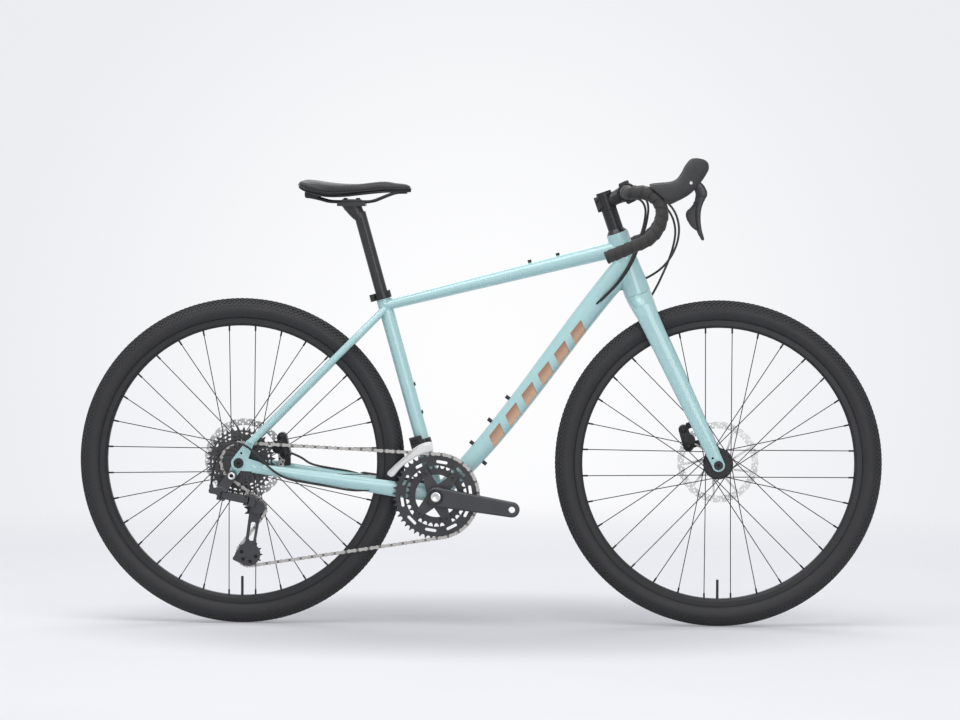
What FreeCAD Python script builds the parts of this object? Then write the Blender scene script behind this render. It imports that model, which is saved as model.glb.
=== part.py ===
import FreeCAD, Part
import math
import os
import re
from types import SimpleNamespace
from typing import NamedTuple

import Sketcher
from FreeCAD import Placement, Rotation, Vector

# A gravel bicycle at its real size, in millimetres: +X forward, +Y to the rider's left, +Z up.
# The origin is on the ground under the middle of the wheelbase.

doc = FreeCAD.newDocument("gravel_bicycle")
sheet = doc.addObject("Spreadsheet::Sheet", "Sizes")

# Driving dimensions
SIZES = [
    ("toe_room", 264.373, "crank axis to the front tyre"),
    ("chainstay_length", 440, "crank axis to rear axle"),
    ("bb_drop", 73, "crank axis below the axles"),
    ("head_angle", 71, "degrees from the ground"),
    ("seat_angle", 74.4, "degrees from the ground"),
    ("fork_rake", 48, "axle ahead of the steering axis"),
    ("fork_length", 411, "axle foot to crown along the steering axis"),
    ("head_tube_length", 142, "along the steering axis"),
    ("seat_tube_length", 466, "crank axis to the top of the tube"),
    ("tyre_radius", 361, "outer radius of the tyre"),
    ("tyre_width", 50, "inflated width"),
    ("tyre_wall", 3, "casing and tread thickness"),
    ("rim_flange_radius", 317, "outer edge of the rim"),
    ("bead_seat_radius", 311, "where the bead sits"),
    ("rim_inner_radius", 300, "spoke bed of the rim"),
    ("rim_width", 27, "outside the flanges"),
    ("rim_flange_wall", 1.8, "flange thickness"),
    ("rim_bed_width", 14, "flat bed that carries the nipples"),
    ("spoke_count", 32, "spokes in each wheel"),
    ("spoke_radius", 1, "spoke wire"),
    ("nipple_radius", 2, "spoke nipple"),
    ("nipple_length", 11, "spoke nipple"),
    ("flange_hole_radius", 29, "spoke hole circle of the hubs"),
    ("hub_flange_radius", 33, "edge of the hub flanges"),
    ("hub_flange_wall", 3.2, "flange thickness"),
    ("hub_barrel_radius", 13, "hub body between the flanges"),
    ("axle_radius", 6, "through axle"),
    ("axle_clearance", 0.08, "running fit on the axles"),
    ("end_cap_radius", 9.5, "hub end caps"),
    ("end_cap_length", 5, "hub end caps"),
    ("front_hub_width", 100, "between the fork ends"),
    ("front_left_flange", 22, "distance of the flange from the middle"),
    ("front_right_flange", 34, "distance of the flange from the middle"),
    ("front_rotor_offset", 39.6, "brake disc from the middle"),
    ("rear_hub_width", 142, "between the rear ends"),
    ("rear_left_flange", 34, "distance of the flange from the middle"),
    ("rear_right_flange", 20, "distance of the flange from the middle"),
    ("rear_rotor_offset", 55, "brake disc from the middle"),
    ("rotor_radius", 90, "brake disc"),
    ("rotor_track", 15, "width of the braking band"),
    ("rotor_thickness", 1.8, "brake disc"),
    ("rotor_bore_radius", 17.5, "disc seat on the hub"),
    ("lockring_radius", 21, "disc lock ring"),
    ("chain_pitch", 12.7, "pin to pin"),
    ("roller_radius", 3.85, "chain rollers"),
    ("pin_radius", 1.75, "chain pins"),
    ("link_plate_radius", 4.1, "half the height of a link plate"),
    ("link_plate_wall", 0.75, "thickness of a link plate"),
    ("link_inner_width", 2.4, "between the inner plates"),
    ("link_clearance", 0.1, "between plates and round the pins"),
    ("chain_line", 44.85, "chain plane from the middle"),
    ("big_ring_teeth", 46, "outer chainring"),
    ("small_ring_teeth", 32, "inner chainring"),
    ("ring_spacing", 7, "between the chainrings"),
    ("ring_wall", 2, "chainring thickness"),
    ("sprocket_pitch", 3.95, "between cassette sprockets"),
    ("sprocket_wall", 1.7, "sprocket thickness"),
    ("sprocket_bore_radius", 17, "inside the sprockets"),
    ("guide_pulley_teeth", 11, "upper pulley"),
    ("tension_pulley_teeth", 13, "lower pulley"),
    ("tooth_height", 3.6, "tooth tip above the pitch circle"),
    ("crank_length", 170, "crank axis to pedal axis"),
    ("crank_drop_angle", 9.2, "right arm below the horizontal"),
    ("crank_boss_radius", 21.5, "arm at the spindle"),
    ("crank_end_radius", 17, "arm at the pedal"),
    ("crank_wall", 13, "arm thickness"),
    ("crank_outer_face", 75.5, "outer face from the middle"),
    ("pedal_hole_radius", 7.14, "pedal thread"),
    ("spindle_radius", 12, "crank spindle"),
    ("spindle_bore_radius", 8.5, "hollow spindle"),
    ("spindle_clearance", 0.08, "running fit in the bearings"),
    ("ring_bolt_circle", 55, "radius of the chainring bolts"),
    ("ring_bolt_radius", 4.5, "chainring bolts"),
    ("bb_shell_radius", 20.5, "bottom bracket shell"),
    ("bb_shell_width", 68, "bottom bracket shell"),
    ("bb_bore_radius", 17, "inside the shell"),
    ("bb_cup_radius", 21.5, "outboard bearing cup"),
    ("bb_cup_width", 9.5, "outboard bearing cup"),
    ("seat_tube_radius", 15.9, "outside the seat tube"),
    ("seatpost_radius", 13.6, "outside the seatpost"),
    ("seatpost_clearance", 0.06, "sliding fit in the seat tube"),
    ("seatpost_length", 350, "tube below the head"),
    ("seatpost_rise", 182, "clamp head above the seat tube"),
    ("seatpost_bore_radius", 11.3, "inside the seatpost"),
    ("seat_collar_height", 16, "seat clamp"),
    ("seat_collar_wall", 3.6, "seat clamp"),
    ("head_top_radius", 24.5, "upper end of the head tube"),
    ("head_bottom_radius", 29, "lower end of the head tube"),
    ("upper_bearing_radius", 20.9, "upper headset bearing"),
    ("lower_bearing_radius", 26, "lower headset bearing"),
    ("bearing_height", 7, "headset bearings"),
    ("steerer_top_radius", 14.3, "steerer in the stem"),
    ("steerer_bottom_radius", 19, "steerer at the crown"),
    ("headset_clearance", 0.08, "running fit on the steerer"),
    ("headset_gap", 0.6, "crown and cover from the head tube"),
    ("spacer_radius", 17, "headset spacers"),
    ("spacer_stack", 54, "head tube to stem"),
    ("cover_height", 9, "conical headset cover"),
    ("stem_height", 38, "clamp on the steerer"),
    ("stem_length", 50, "steerer to handlebar"),
    ("stem_rise_angle", 6, "above the square to the steerer"),
    ("stem_clamp_radius", 17.5, "round the steerer"),
    ("bar_clamp_radius", 15.9, "handlebar in the stem"),
    ("bar_grip_radius", 11.9, "handlebar at the grips"),
    ("bar_half_width", 210, "middle to the hoods"),
    ("bar_corner_radius", 32, "tops to ramps"),
    ("bar_hook_radius", 45, "upper curve of the drop"),
    ("bar_drop_radius", 70, "lower curve of the drop"),
    ("bar_drop_turn", 67, "degrees of the lower curve"),
    ("bar_end_run", 80, "straight end of the drop"),
    ("bar_flare", 12, "degrees that the drops lean out"),
    ("bar_clamp_half_width", 40, "thick middle of the bar"),
    ("bar_taper_end", 75, "end of the taper"),
    ("tape_wall", 2.8, "handlebar tape"),
    ("tape_clearance", 0.05, "tape on the bar"),
    ("top_tube_rear_height", 24, "depth at the seat tube"),
    ("top_tube_front_height", 37, "depth at the head tube"),
    ("top_tube_width", 38, "width"),
    ("top_tube_seat_drop", 31, "axis below the top of the seat tube"),
    ("top_tube_head_drop", 33, "axis below the top of the head tube"),
    ("down_tube_rear_height", 40, "depth at the crank"),
    ("down_tube_front_height", 54, "depth at the head tube"),
    ("down_tube_rear_width", 38, "width at the crank"),
    ("down_tube_front_width", 46, "width at the head tube"),
    ("down_tube_offset", 14, "axis ahead of the crank axis"),
    ("down_tube_head_rise", 71, "axis above the bottom of the head tube"),
    ("stay_radius", 8, "seatstay tube"),
    ("stay_tyre_gap", 5, "stays from the tyre"),
    ("chainstay_height", 34, "depth behind the crank"),
    ("dropout_wall", 7, "rear end plates"),
    ("dropout_radius", 16.5, "rear end round the axle"),
    ("hanger_wall", 6, "derailleur hanger"),
    ("hanger_back", 15, "hanger bolt behind the axle"),
    ("hanger_drop", 28, "hanger bolt below the axle"),
    ("fork_leg_clearance", 7, "fork from the tyre"),
    ("fork_leg_wall", 13, "leg thickness at the axle"),
    ("fork_leg_depth", 40, "leg depth at half height"),
    ("fork_tip_radius", 14, "round end at the axle"),
    ("saddle_length", 248, "nose to tail"),
    ("saddle_width", 145, "widest, at the tail"),
    ("saddle_nose_width", 42, "at the nose"),
    ("rail_radius", 3.5, "saddle rails"),
    ("housing_radius", 2.5, "cable housings and hoses"),
    ("front_mech_height", 114, "band above the crank axis"),
]
for row, (alias, value, meaning) in enumerate(SIZES, start=1):
    sheet.set(f"A{row}", alias)
    sheet.set(f"B{row}", str(value))
    sheet.setAlias(f"B{row}", alias)
    sheet.set(f"C{row}", meaning)
doc.recompute()
size = SimpleNamespace(**{alias: float(sheet.get(alias)) for alias, _, _ in SIZES})

# Sprockets of the cassette, from the wheel outward, and the one that carries the chain
SPROCKET_TEETH = [36, 32, 28, 24, 21, 19, 17, 15, 13, 11]
DRIVEN_SPROCKET = 4

FUNCTIONS = {"sqrt", "sin", "cos", "tan"}
# Share of the shorter run that a bend of a free route takes
ROUTE_SHARE = 0.45
X_AXIS = Vector(1, 0, 0)
Y_AXIS = Vector(0, 1, 0)
Z_AXIS = Vector(0, 0, 1)
pieces = {}


# Helpers that bind objects to the sheet
def on_sheet(formula):
    """A formula in size names, as an expression over the sheet."""
    text = str(formula)
    return re.sub(r"[a-z][a-z_]+", lambda m: m[0] if m[0] in FUNCTIONS else "Sizes." + m[0], text)


def sized(formula):
    """The value that a formula in size names has now."""
    return float(sheet.evalExpression(on_sheet(formula)))


def bind(thing, **formulas):
    """Tie properties of an object to formulas in size names."""
    for name, formula in formulas.items():
        thing.setExpression(name, on_sheet(formula))
    return thing


def piece(name, thing):
    """Record an object as a sub-part of that name."""
    thing.Label = name
    pieces[name] = thing
    return thing


def aim(base, axis, frame=Placement()):
    """A placement at a point of a frame with its Z along an axis of that frame."""
    return frame.multiply(Placement(Vector(base), Rotation(Z_AXIS, Vector(axis))))


def cylinder(name, radius, height, base, axis, frame=Placement()):
    """A bound cylinder that starts at a point and runs along an axis."""
    thing = doc.addObject("Part::Cylinder", name)
    bind(thing, Radius=radius, Height=height)
    thing.Placement = aim(base, axis, frame)
    return thing


def cone(name, first_radius, last_radius, height, base, axis, frame=Placement()):
    """A bound cone that starts at a point and runs along an axis."""
    thing = doc.addObject("Part::Cone", name)
    bind(thing, Radius1=first_radius, Radius2=last_radius, Height=height)
    thing.Placement = aim(base, axis, frame)
    return thing


def box(name, length, width, height, corner, frame=Placement()):
    """A bound box along the axes of a frame, from its lowest corner."""
    thing = doc.addObject("Part::Box", name)
    bind(thing, Length=length, Width=width, Height=height)
    thing.Placement = frame.multiply(Placement(Vector(corner), Rotation()))
    return thing


def fuse(name, things):
    """Several objects made one solid."""
    thing = doc.addObject("Part::MultiFuse", name)
    thing.Shapes = things
    thing.Refine = True
    return thing


def cut(name, base, *tools):
    """An object with others cut away from it."""
    for number, tool in enumerate(tools):
        thing = doc.addObject("Part::Cut", f"{name}_{number}")
        thing.Base = base
        thing.Tool = tool
        base = thing
    return base


def group(name, things):
    """Several separate solids as one sub-part."""
    thing = doc.addObject("Part::Compound", name)
    thing.Links = things
    return piece(name, thing)


def rounded(name, base, radius, keep):
    """An object with the edges that pass a test rounded."""
    doc.recompute()
    edges = [n for n, edge in enumerate(base.Shape.Edges, start=1) if keep(edge)]
    thing = doc.addObject("Part::Fillet", name)
    thing.Base = base
    thing.Edges = [(n, sized(radius), sized(radius)) for n in edges]
    return thing


def shaped(name, shape, placement=Placement()):
    """An object whose shape the code works out."""
    thing = doc.addObject("Part::Feature", name)
    thing.Shape = shape
    thing.Placement = placement
    return thing


def loft(name, stations, ruled=False):
    """A solid through ellipses: each station is a placement, a half height and a half width."""
    sections = []
    for number, (placement, half_height, half_width) in enumerate(stations):
        tall = sized(half_height) >= sized(half_width)
        section = doc.addObject("Part::Ellipse", f"{name}_section_{number}")
        long, short = (half_height, half_width) if tall else (half_width, half_height)
        bind(section, MajorRadius=long, MinorRadius=short)
        section.Placement = placement.multiply(Placement(Vector(), Rotation(Z_AXIS, 0 if tall else 90)))
        sections.append(section)
    thing = doc.addObject("Part::Loft", name)
    thing.Sections = sections
    thing.Solid = True
    thing.Ruled = ruled
    return thing


def origin_plane(body, role):
    """One of a body's own origin planes."""
    return next(f for f in body.Origin.OriginFeatures if f.Role == role)


class Arc(NamedTuple):
    """An outline's curved side: its radius formula, its sense of turn and whether it goes the long way."""

    radius: str
    anticlockwise: bool = True
    long_way: bool = False


def outline_sketch(body, role, outline):
    """A closed sketch: each vertex is two formulas and, where the side to the next is curved, an Arc."""
    sketch = body.newObject("Sketcher::SketchObject", body.Name + "_outline")
    sketch.AttachmentSupport = [(origin_plane(body, role), "")]
    sketch.MapMode = "FlatFace"
    points = [Vector(sized(v[0]), sized(v[1]), 0) for v in outline]
    count = len(points)
    begins = []
    for n, vertex in enumerate(outline):
        ends = [points[n], points[(n + 1) % count]]
        turned = len(vertex) > 2 and not vertex[2].anticlockwise
        begins.append(2 if turned else 1)
        if turned:
            ends.reverse()
        if len(vertex) == 2:
            sketch.addGeometry(Part.LineSegment(*ends), False)
        else:
            sketch.addGeometry(bulged(*ends, sized(vertex[2].radius), vertex[2].long_way), False)
    for n in range(count):
        after = (n + 1) % count
        sketch.addConstraint(Sketcher.Constraint("Coincident", n, 3 - begins[n], after, begins[after]))
    for n, vertex in enumerate(outline):
        for kind, formula, value in (
            ("DistanceX", vertex[0], points[n].x),
            ("DistanceY", vertex[1], points[n].y),
        ):
            number = sketch.addConstraint(Sketcher.Constraint(kind, -1, 1, n, begins[n], value))
            sketch.setExpression(f"Constraints[{number}]", on_sheet(formula))
        if len(vertex) > 2:
            number = sketch.addConstraint(Sketcher.Constraint("Radius", n, sized(vertex[2].radius)))
            sketch.setExpression(f"Constraints[{number}]", on_sheet(vertex[2].radius))
    return sketch


def bulged(start, end, radius, long_way):
    """The anticlockwise arc of a radius between two points, the short or the long way round."""
    middle = (start + end) * 0.5
    chord = end - start
    away = Vector(chord.y, -chord.x, 0).normalize()
    depth = math.sqrt(max(radius**2 - (chord.Length / 2) ** 2, 0))
    side = radius + depth if long_way else radius - depth
    edge = Part.Arc(start, middle + away * side, end).toShape()
    return Part.ArcOfCircle(edge.Curve, *edge.ParameterRange)


def revolved(name, outline, centre=Vector(), turn=Rotation()):
    """A body turned about its Y axis from an outline of radius and lateral position."""
    body = doc.addObject("PartDesign::Body", name)
    sketch = outline_sketch(body, "XY_Plane", outline)
    feature = body.newObject("PartDesign::Revolution", name + "_turned")
    feature.Profile = sketch
    feature.ReferenceAxis = (sketch, ["V_Axis"])
    feature.Angle = 360
    body.Placement = Placement(centre, turn)
    return body


def strap(name, ends, radii, wall, placement):
    """A plate round two circles with tangent sides, in its own XY plane, of a thickness along Z."""
    body = doc.addObject("PartDesign::Body", name)
    sketch = body.newObject("Sketcher::SketchObject", name + "_outline")
    sketch.AttachmentSupport = [(origin_plane(body, "XY_Plane"), "")]
    sketch.MapMode = "FlatFace"
    reach = (ends[1] - ends[0]).Length
    first, last = sized(radii[0]), sized(radii[1])
    lean = math.acos((first - last) / reach)
    heading = math.atan2((ends[1] - ends[0]).y, (ends[1] - ends[0]).x)
    up, down = heading + lean, heading - lean + 2 * math.pi
    arcs = [(ends[0], first, up, down), (ends[1], last, down, up + 2 * math.pi)]
    for centre, radius, begin, stop in arcs:
        circle = Part.Circle(Vector(centre.x, centre.y, 0), Z_AXIS, radius)
        sketch.addGeometry(Part.ArcOfCircle(circle, begin, stop), False)
    for way, pair in ((up, ends), (down, ends)):
        side = Vector(math.cos(way), math.sin(way), 0)
        line = Part.LineSegment(pair[0] + side * first, pair[1] + side * last)
        sketch.addGeometry(line, False)
    for arc, arc_end, line, line_end in ((0, 1, 2, 1), (1, 2, 2, 2), (0, 2, 3, 1), (1, 1, 3, 2)):
        sketch.addConstraint(Sketcher.Constraint("Tangent", arc, arc_end, line, line_end))
    for number, formula in enumerate(radii):
        place = sketch.addConstraint(Sketcher.Constraint("Radius", number, sized(formula)))
        sketch.setExpression(f"Constraints[{place}]", on_sheet(formula))
        sketch.addConstraint(Sketcher.Constraint("DistanceX", -1, 1, number, 3, ends[number].x))
        sketch.addConstraint(Sketcher.Constraint("DistanceY", -1, 1, number, 3, ends[number].y))
    pad = body.newObject("PartDesign::Pad", name + "_pad")
    pad.Profile = sketch
    bind(pad, Length=wall)
    body.Placement = placement
    return body


def plate(name, outline, wall, placement):
    """A plate of an outline in its own XY plane, of a thickness along Z."""
    body = doc.addObject("PartDesign::Body", name)
    sketch = outline_sketch(body, "XY_Plane", outline)
    pad = body.newObject("PartDesign::Pad", name + "_pad")
    pad.Profile = sketch
    bind(pad, Length=wall)
    body.Placement = placement
    return body


def side_strap(name, first, last, radii, wall, left_y):
    """A strap square to Y between two points given as X and Z, from its left face rightward by its wall."""
    placement = Placement(Vector(0, left_y, 0), Rotation(X_AXIS, 90))
    return strap(name, [Vector(*first, 0), Vector(*last, 0)], radii, wall, placement)


def mirrored(name, thing):
    """The same object on the other side of the bicycle."""
    twin = doc.addObject("Part::Mirroring", name)
    twin.Source = thing
    twin.Normal = Y_AXIS
    return twin


def route(points, radius=None):
    """A wire of straight runs joined by tangent arcs, each as large as its runs allow."""
    edges = []
    start = points[0]
    for before, corner, after in zip(points, points[1:], points[2:]):
        come, go = (before - corner), (after - corner)
        half = come.getAngle(go) / 2
        if radius:
            reach = radius / math.tan(half)
        else:
            reach = ROUTE_SHARE * min(come.Length, go.Length)
        first = corner + Vector(come).normalize() * reach
        last = corner + Vector(go).normalize() * reach
        bisector = (Vector(come).normalize() + Vector(go).normalize()).normalize()
        bend = reach * math.tan(half)
        middle = corner + bisector * (bend / math.sin(half) - bend)
        edges.append(Part.LineSegment(start, first).toShape())
        edges.append(Part.Arc(first, middle, last).toShape())
        start = last
    edges.append(Part.LineSegment(start, points[-1]).toShape())
    return Part.Wire(edges)


def swept(name, wire, radius, bore=None):
    """A round tube along a wire."""
    heading = wire.Edges[0].tangentAt(wire.Edges[0].FirstParameter)
    start = wire.Edges[0].valueAt(wire.Edges[0].FirstParameter)
    spine = shaped(name + "_path", wire)
    tubes = []
    for kind, formula in (("outside", radius), ("bore", bore)):
        if formula is not None:
            section = doc.addObject("Part::Circle", f"{name}_{kind}_section")
            bind(section, Radius=formula)
            section.Placement = aim(start, heading)
            tube = doc.addObject("Part::Sweep", f"{name}_{kind}")
            tube.Sections = [section]
            tube.Spine = (spine, [f"Edge{n}" for n in range(1, len(wire.Edges) + 1)])
            tube.Solid = True
            tube.Frenet = False
            tubes.append(tube)
    return tubes[0] if bore is None else cut(name, *tubes)


# Frames of reference
rear_reach = math.sqrt(size.chainstay_length**2 - size.bb_drop**2)
front_reach = math.sqrt((size.tyre_radius + size.toe_room) ** 2 - size.bb_drop**2)
wheelbase = rear_reach + front_reach
rear_axle = Vector(-wheelbase / 2, 0, size.tyre_radius)
front_axle = Vector(wheelbase / 2, 0, size.tyre_radius)
crank_axis = Vector(rear_axle.x + rear_reach, 0, size.tyre_radius - size.bb_drop)
steer_turn = Rotation(Y_AXIS, size.head_angle - 90)
steer_foot = front_axle - steer_turn.multVec(X_AXIS) * size.fork_rake
STEER = Placement(steer_foot, steer_turn)
SEAT = Placement(crank_axis, Rotation(Y_AXIS, size.seat_angle - 90))
head_bottom = size.fork_length + size.headset_gap
head_top = head_bottom + size.head_tube_length
stem_bottom = head_top + size.spacer_stack
stem_middle = stem_bottom + size.stem_height / 2


# Wheels
def make_tyre(name, axle):
    """A hollow tyre whose beads sit between the rim flanges."""
    bead = "rim_width / 2 - rim_flange_wall - 0.05"
    bead_in = "rim_width / 2 - rim_flange_wall - 0.05 - tyre_wall"
    middle = "tyre_radius - tyre_width / 2"
    low = "rim_flange_radius + 3"
    low_in = "rim_flange_radius + 3 + tyre_wall * 0.7"
    outer = "tyre_width / 2"
    inner = "tyre_width / 2 - tyre_wall"
    wide = f"sqrt(({outer}) ^ 2 - ({middle} - ({low})) ^ 2)"
    wide_in = f"sqrt(({inner}) ^ 2 - ({middle} - ({low_in})) ^ 2)"
    seat = "bead_seat_radius + 0.1"
    over = "rim_flange_radius + 0.8"
    outline = [
        (seat, f"-({bead_in})"),
        (seat, f"-({bead})"),
        (over, f"-({bead})"),
        (low, f"-({wide})", Arc(outer, True, True)),
        (low, wide),
        (over, bead),
        (seat, bead),
        (seat, bead_in),
        (low, bead_in),
        (low_in, wide_in, Arc(inner, False, True)),
        (low_in, f"-({wide_in})"),
        (low, f"-({bead_in})"),
    ]
    return piece(name, revolved(name, outline, axle))


def make_rim(name, axle):
    """A box-section rim with hooked flanges, and the valve that stands in it at the lowest point."""
    half = "rim_width / 2"
    well = "rim_width / 2 - rim_flange_wall"
    bed = "rim_bed_width / 2"
    right = [
        ("rim_inner_radius", f"-{bed}"),
        ("rim_inner_radius + 6", f"-{half}"),
        ("rim_flange_radius", f"-{half}"),
        ("rim_flange_radius", f"-({well})"),
        ("bead_seat_radius", f"-({well})"),
        ("bead_seat_radius - 3", f"-({well} - 5)"),
    ]
    left = [
        ("bead_seat_radius - 3", f"{well} - 5"),
        ("bead_seat_radius", well),
        ("rim_flange_radius", well),
        ("rim_flange_radius", half),
        ("rim_inner_radius + 6", half),
        ("rim_inner_radius", bed),
    ]
    ring = revolved(name + "_ring", right + left, axle)
    foot = axle - Z_AXIS * (size.rim_inner_radius + VALVE_SEAT)
    hole = cylinder(name + "_valve_hole", VALVE_RADIUS, VALVE_LENGTH, foot, -Z_AXIS)
    stem = cylinder(name + "_valve_stem", VALVE_RADIUS - 0.05, VALVE_LENGTH, foot, -Z_AXIS)
    return group(name, [cut(name + "_drilled", ring, hole), stem])


def make_spokes(name, axle, left_flange, right_flange):
    """Three-cross spokes, each with its head, elbow and nipple, and the flange holes that they pass."""
    count = int(size.spoke_count)
    crossing = math.radians(CROSSING_HOLES * 720 / count)
    solids, holes = [], []
    for number in range(count):
        angle = math.radians(-90 + (number + 0.5) * 360 / count)
        on_left = number % 2 == 0
        turn = 1 if number // 2 % 2 == 0 else -1
        flange = left_flange if on_left else -right_flange
        outside = turn * (1 if on_left else -1)
        beside = outside * (size.hub_flange_wall / 2 + size.spoke_radius + 0.1)
        at_hub = angle + turn * crossing
        elbow = polar(size.flange_hole_radius, at_hub, flange + beside)
        bed = polar(size.rim_inner_radius - 0.1, angle, NIPPLE_OFFSET * (1 if on_left else -1))
        along = Vector(bed - elbow).normalize()
        through = Vector(0, -outside, 0)
        reach = 2 * abs(beside) + size.spoke_radius
        wire = Part.makeCylinder(size.spoke_radius, (bed - elbow).Length - 2, elbow, along)
        bend = Part.makeCylinder(size.spoke_radius, reach, elbow - through * size.spoke_radius, through)
        head = Part.makeCylinder(
            2 * size.spoke_radius, size.spoke_radius, elbow + through * 2 * (abs(beside) - 0.45), through
        )
        nipple = Part.makeCylinder(
            size.nipple_radius, size.nipple_length, bed - along * size.nipple_length, along
        )
        solids.append(wire.multiFuse([bend, head, nipple]))
        hole_start = elbow + through * (abs(beside) - size.hub_flange_wall)
        holes.append(
            Part.makeCylinder(size.spoke_radius + 0.15, 2 * size.hub_flange_wall, hole_start, through)
        )
    here = Placement(axle, Rotation())
    piece(name, shaped(name, Part.makeCompound(solids), here))
    return shaped(name + "_holes", Part.makeCompound(holes), here)


def polar(radius, angle, y=0.0):
    """A point at a radius and angle about a wheel's Y axis."""
    return Vector(radius * math.cos(angle), y, radius * math.sin(angle))


def make_hub(name, axle, ends, flanges, rotor, holes):
    """A hub shell with two spoke flanges and the seat of the brake disc on its left."""
    wall = "hub_flange_wall / 2"
    bore = "axle_radius + axle_clearance"
    (right_end, left_end), (right, left) = ends, flanges
    shoulder = f"{rotor} - rotor_thickness / 2"
    outline = [
        (bore, right_end),
        ("hub_barrel_radius - 1", right_end),
        ("hub_barrel_radius + 1", f"{right} - {wall}"),
        ("hub_flange_radius", f"{right} - {wall}"),
        ("hub_flange_radius", f"{right} + {wall}"),
        ("hub_barrel_radius + 4", f"{right} + {wall}"),
        ("hub_barrel_radius", f"{right} + {wall} + 7"),
        ("hub_barrel_radius", f"{left} - {wall} - 7"),
        ("hub_barrel_radius + 4", f"{left} - {wall}"),
        ("hub_flange_radius", f"{left} - {wall}"),
        ("hub_flange_radius", f"{left} + {wall}"),
        ("lockring_radius", f"{left} + {wall}"),
        ("lockring_radius", shoulder),
        ("rotor_bore_radius", shoulder),
        ("rotor_bore_radius", f"{shoulder} + 4.6"),
        ("end_cap_radius + 1", f"{shoulder} + 4.6"),
        ("end_cap_radius + 1", left_end),
        (bore, left_end),
    ]
    shell = revolved(name + "_shell", outline, axle)
    return piece(name, cut(name, shell, holes))


def make_rotor(name, axle, offset):
    """A brake disc with a drilled band on swept arms, and its lock ring."""
    wall = size.rotor_thickness
    outer, inner = size.rotor_radius, size.rotor_radius - size.rotor_track
    bore = size.rotor_bore_radius + 0.05
    carrier = ring_solid(bore + 7, bore, wall)
    band = ring_solid(outer, inner, wall)
    arms, drills = [], []
    for number in range(ROTOR_ARMS):
        begin = math.radians(number * 360 / ROTOR_ARMS)
        foot = polar(bore + 4, begin)
        tip = polar(inner + 2, begin + math.radians(ROTOR_SWEEP))
        arms.append(bar_solid(foot, tip, 5, wall))
    for number in range(ROTOR_HOLES):
        angle = math.radians(number * 360 / ROTOR_HOLES)
        radius = inner + size.rotor_track * (0.2 + 0.25 * (number % 3))
        drills.append(Part.makeCylinder(ROTOR_HOLE, 3 * wall, polar(radius, angle, -wall), Y_AXIS))
    for number in range(ROTOR_WAVES):
        angle = math.radians((number + 0.5) * 360 / ROTOR_WAVES)
        spot = polar(outer + ROTOR_WAVE - ROTOR_WAVE_DEPTH, angle, -wall)
        drills.append(Part.makeCylinder(ROTOR_WAVE, 3 * wall, spot, Y_AXIS))
    disc = band.multiFuse([carrier] + arms).cut(Part.makeCompound(drills)).removeSplitter()
    ring = ring_solid(size.lockring_radius, bore, 2.6)
    ring.translate(Vector(0, wall, 0))
    here = Placement(axle + Y_AXIS * (offset - wall / 2), Rotation())
    return piece(name, shaped(name, Part.makeCompound([disc, ring]), here))


def ring_solid(outer, inner, wall):
    """A flat ring about Y from the origin."""
    disc = Part.makeCylinder(outer, wall, Vector(), Y_AXIS)
    return disc.cut(Part.makeCylinder(inner, wall, Vector(), Y_AXIS))


def bar_solid(first, last, width, wall):
    """A flat bar between two points of the XZ plane, from Y zero."""
    along = Vector(last - first).normalize()
    aside = Vector(-along.z, 0, along.x) * (width / 2)
    corners = [first + aside, first - aside, last - aside, last + aside]
    return Part.Face(Part.makePolygon(corners + corners[:1])).extrude(Y_AXIS * wall)


def make_axle(name, axle, half_width, overhang, head_radius):
    """A through axle with its head on the right, and the hub's two end caps."""
    reach = f"{half_width} + {overhang}"
    start = axle - Y_AXIS * sized(reach)
    rod = cylinder(name + "_rod", "axle_radius", f"2 * ({reach})", start, Y_AXIS)
    head = cylinder(name + "_head", head_radius, AXLE_HEAD_WALL, start - Y_AXIS * AXLE_HEAD_WALL, Y_AXIS)
    socket = cylinder(name + "_socket", AXLE_SOCKET, 8, start - Y_AXIS * AXLE_HEAD_WALL, Y_AXIS)
    parts = [cut(name + "_bolt", fuse(name + "_solid", [rod, head]), socket)]
    for side in (-1, 1):
        face = axle + Y_AXIS * side * sized(half_width)
        cap = cylinder(f"{name}_cap_{side}", "end_cap_radius", "end_cap_length", face, Y_AXIS * -side)
        bore = cylinder(
            f"{name}_cap_bore_{side}", "axle_radius + 0.02", "end_cap_length", face, Y_AXIS * -side
        )
        parts.append(cut(f"{name}_cap_ring_{side}", cap, bore))
    return group(name, parts)


VALVE_SEAT = -42
VALVE_LENGTH = 52
VALVE_RADIUS = 3
CROSSING_HOLES = 3
NIPPLE_OFFSET = 2
ROTOR_ARMS = 9
ROTOR_SWEEP = 24
ROTOR_HOLES = 81
ROTOR_HOLE = 2.2
ROTOR_WAVES = 27
ROTOR_WAVE = 10
ROTOR_WAVE_DEPTH = 1.8
AXLE_HEAD_WALL = 3
AXLE_SOCKET = 3
END_GAP = 0.4

make_tyre("front_tyre", front_axle)
make_tyre("rear_tyre", rear_axle)
make_rim("front_rim", front_axle)
make_rim("rear_rim", rear_axle)
front_holes = make_spokes("front_spokes", front_axle, size.front_left_flange, size.front_right_flange)
rear_holes = make_spokes("rear_spokes", rear_axle, size.rear_left_flange, size.rear_right_flange)
front_end = f"front_hub_width / 2 - end_cap_length - {END_GAP}"
make_hub(
    "front_hub",
    front_axle,
    (f"-({front_end})", front_end),
    ("-front_right_flange", "front_left_flange"),
    "front_rotor_offset",
    front_holes,
)
make_hub(
    "rear_hub",
    rear_axle,
    ("-rear_right_flange - hub_flange_wall - 1.5", f"rear_hub_width / 2 - end_cap_length - {END_GAP}"),
    ("-rear_right_flange", "rear_left_flange"),
    "rear_rotor_offset",
    rear_holes,
)
make_rotor("front_rotor", front_axle, size.front_rotor_offset)
make_rotor("rear_rotor", rear_axle, size.rear_rotor_offset)
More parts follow.
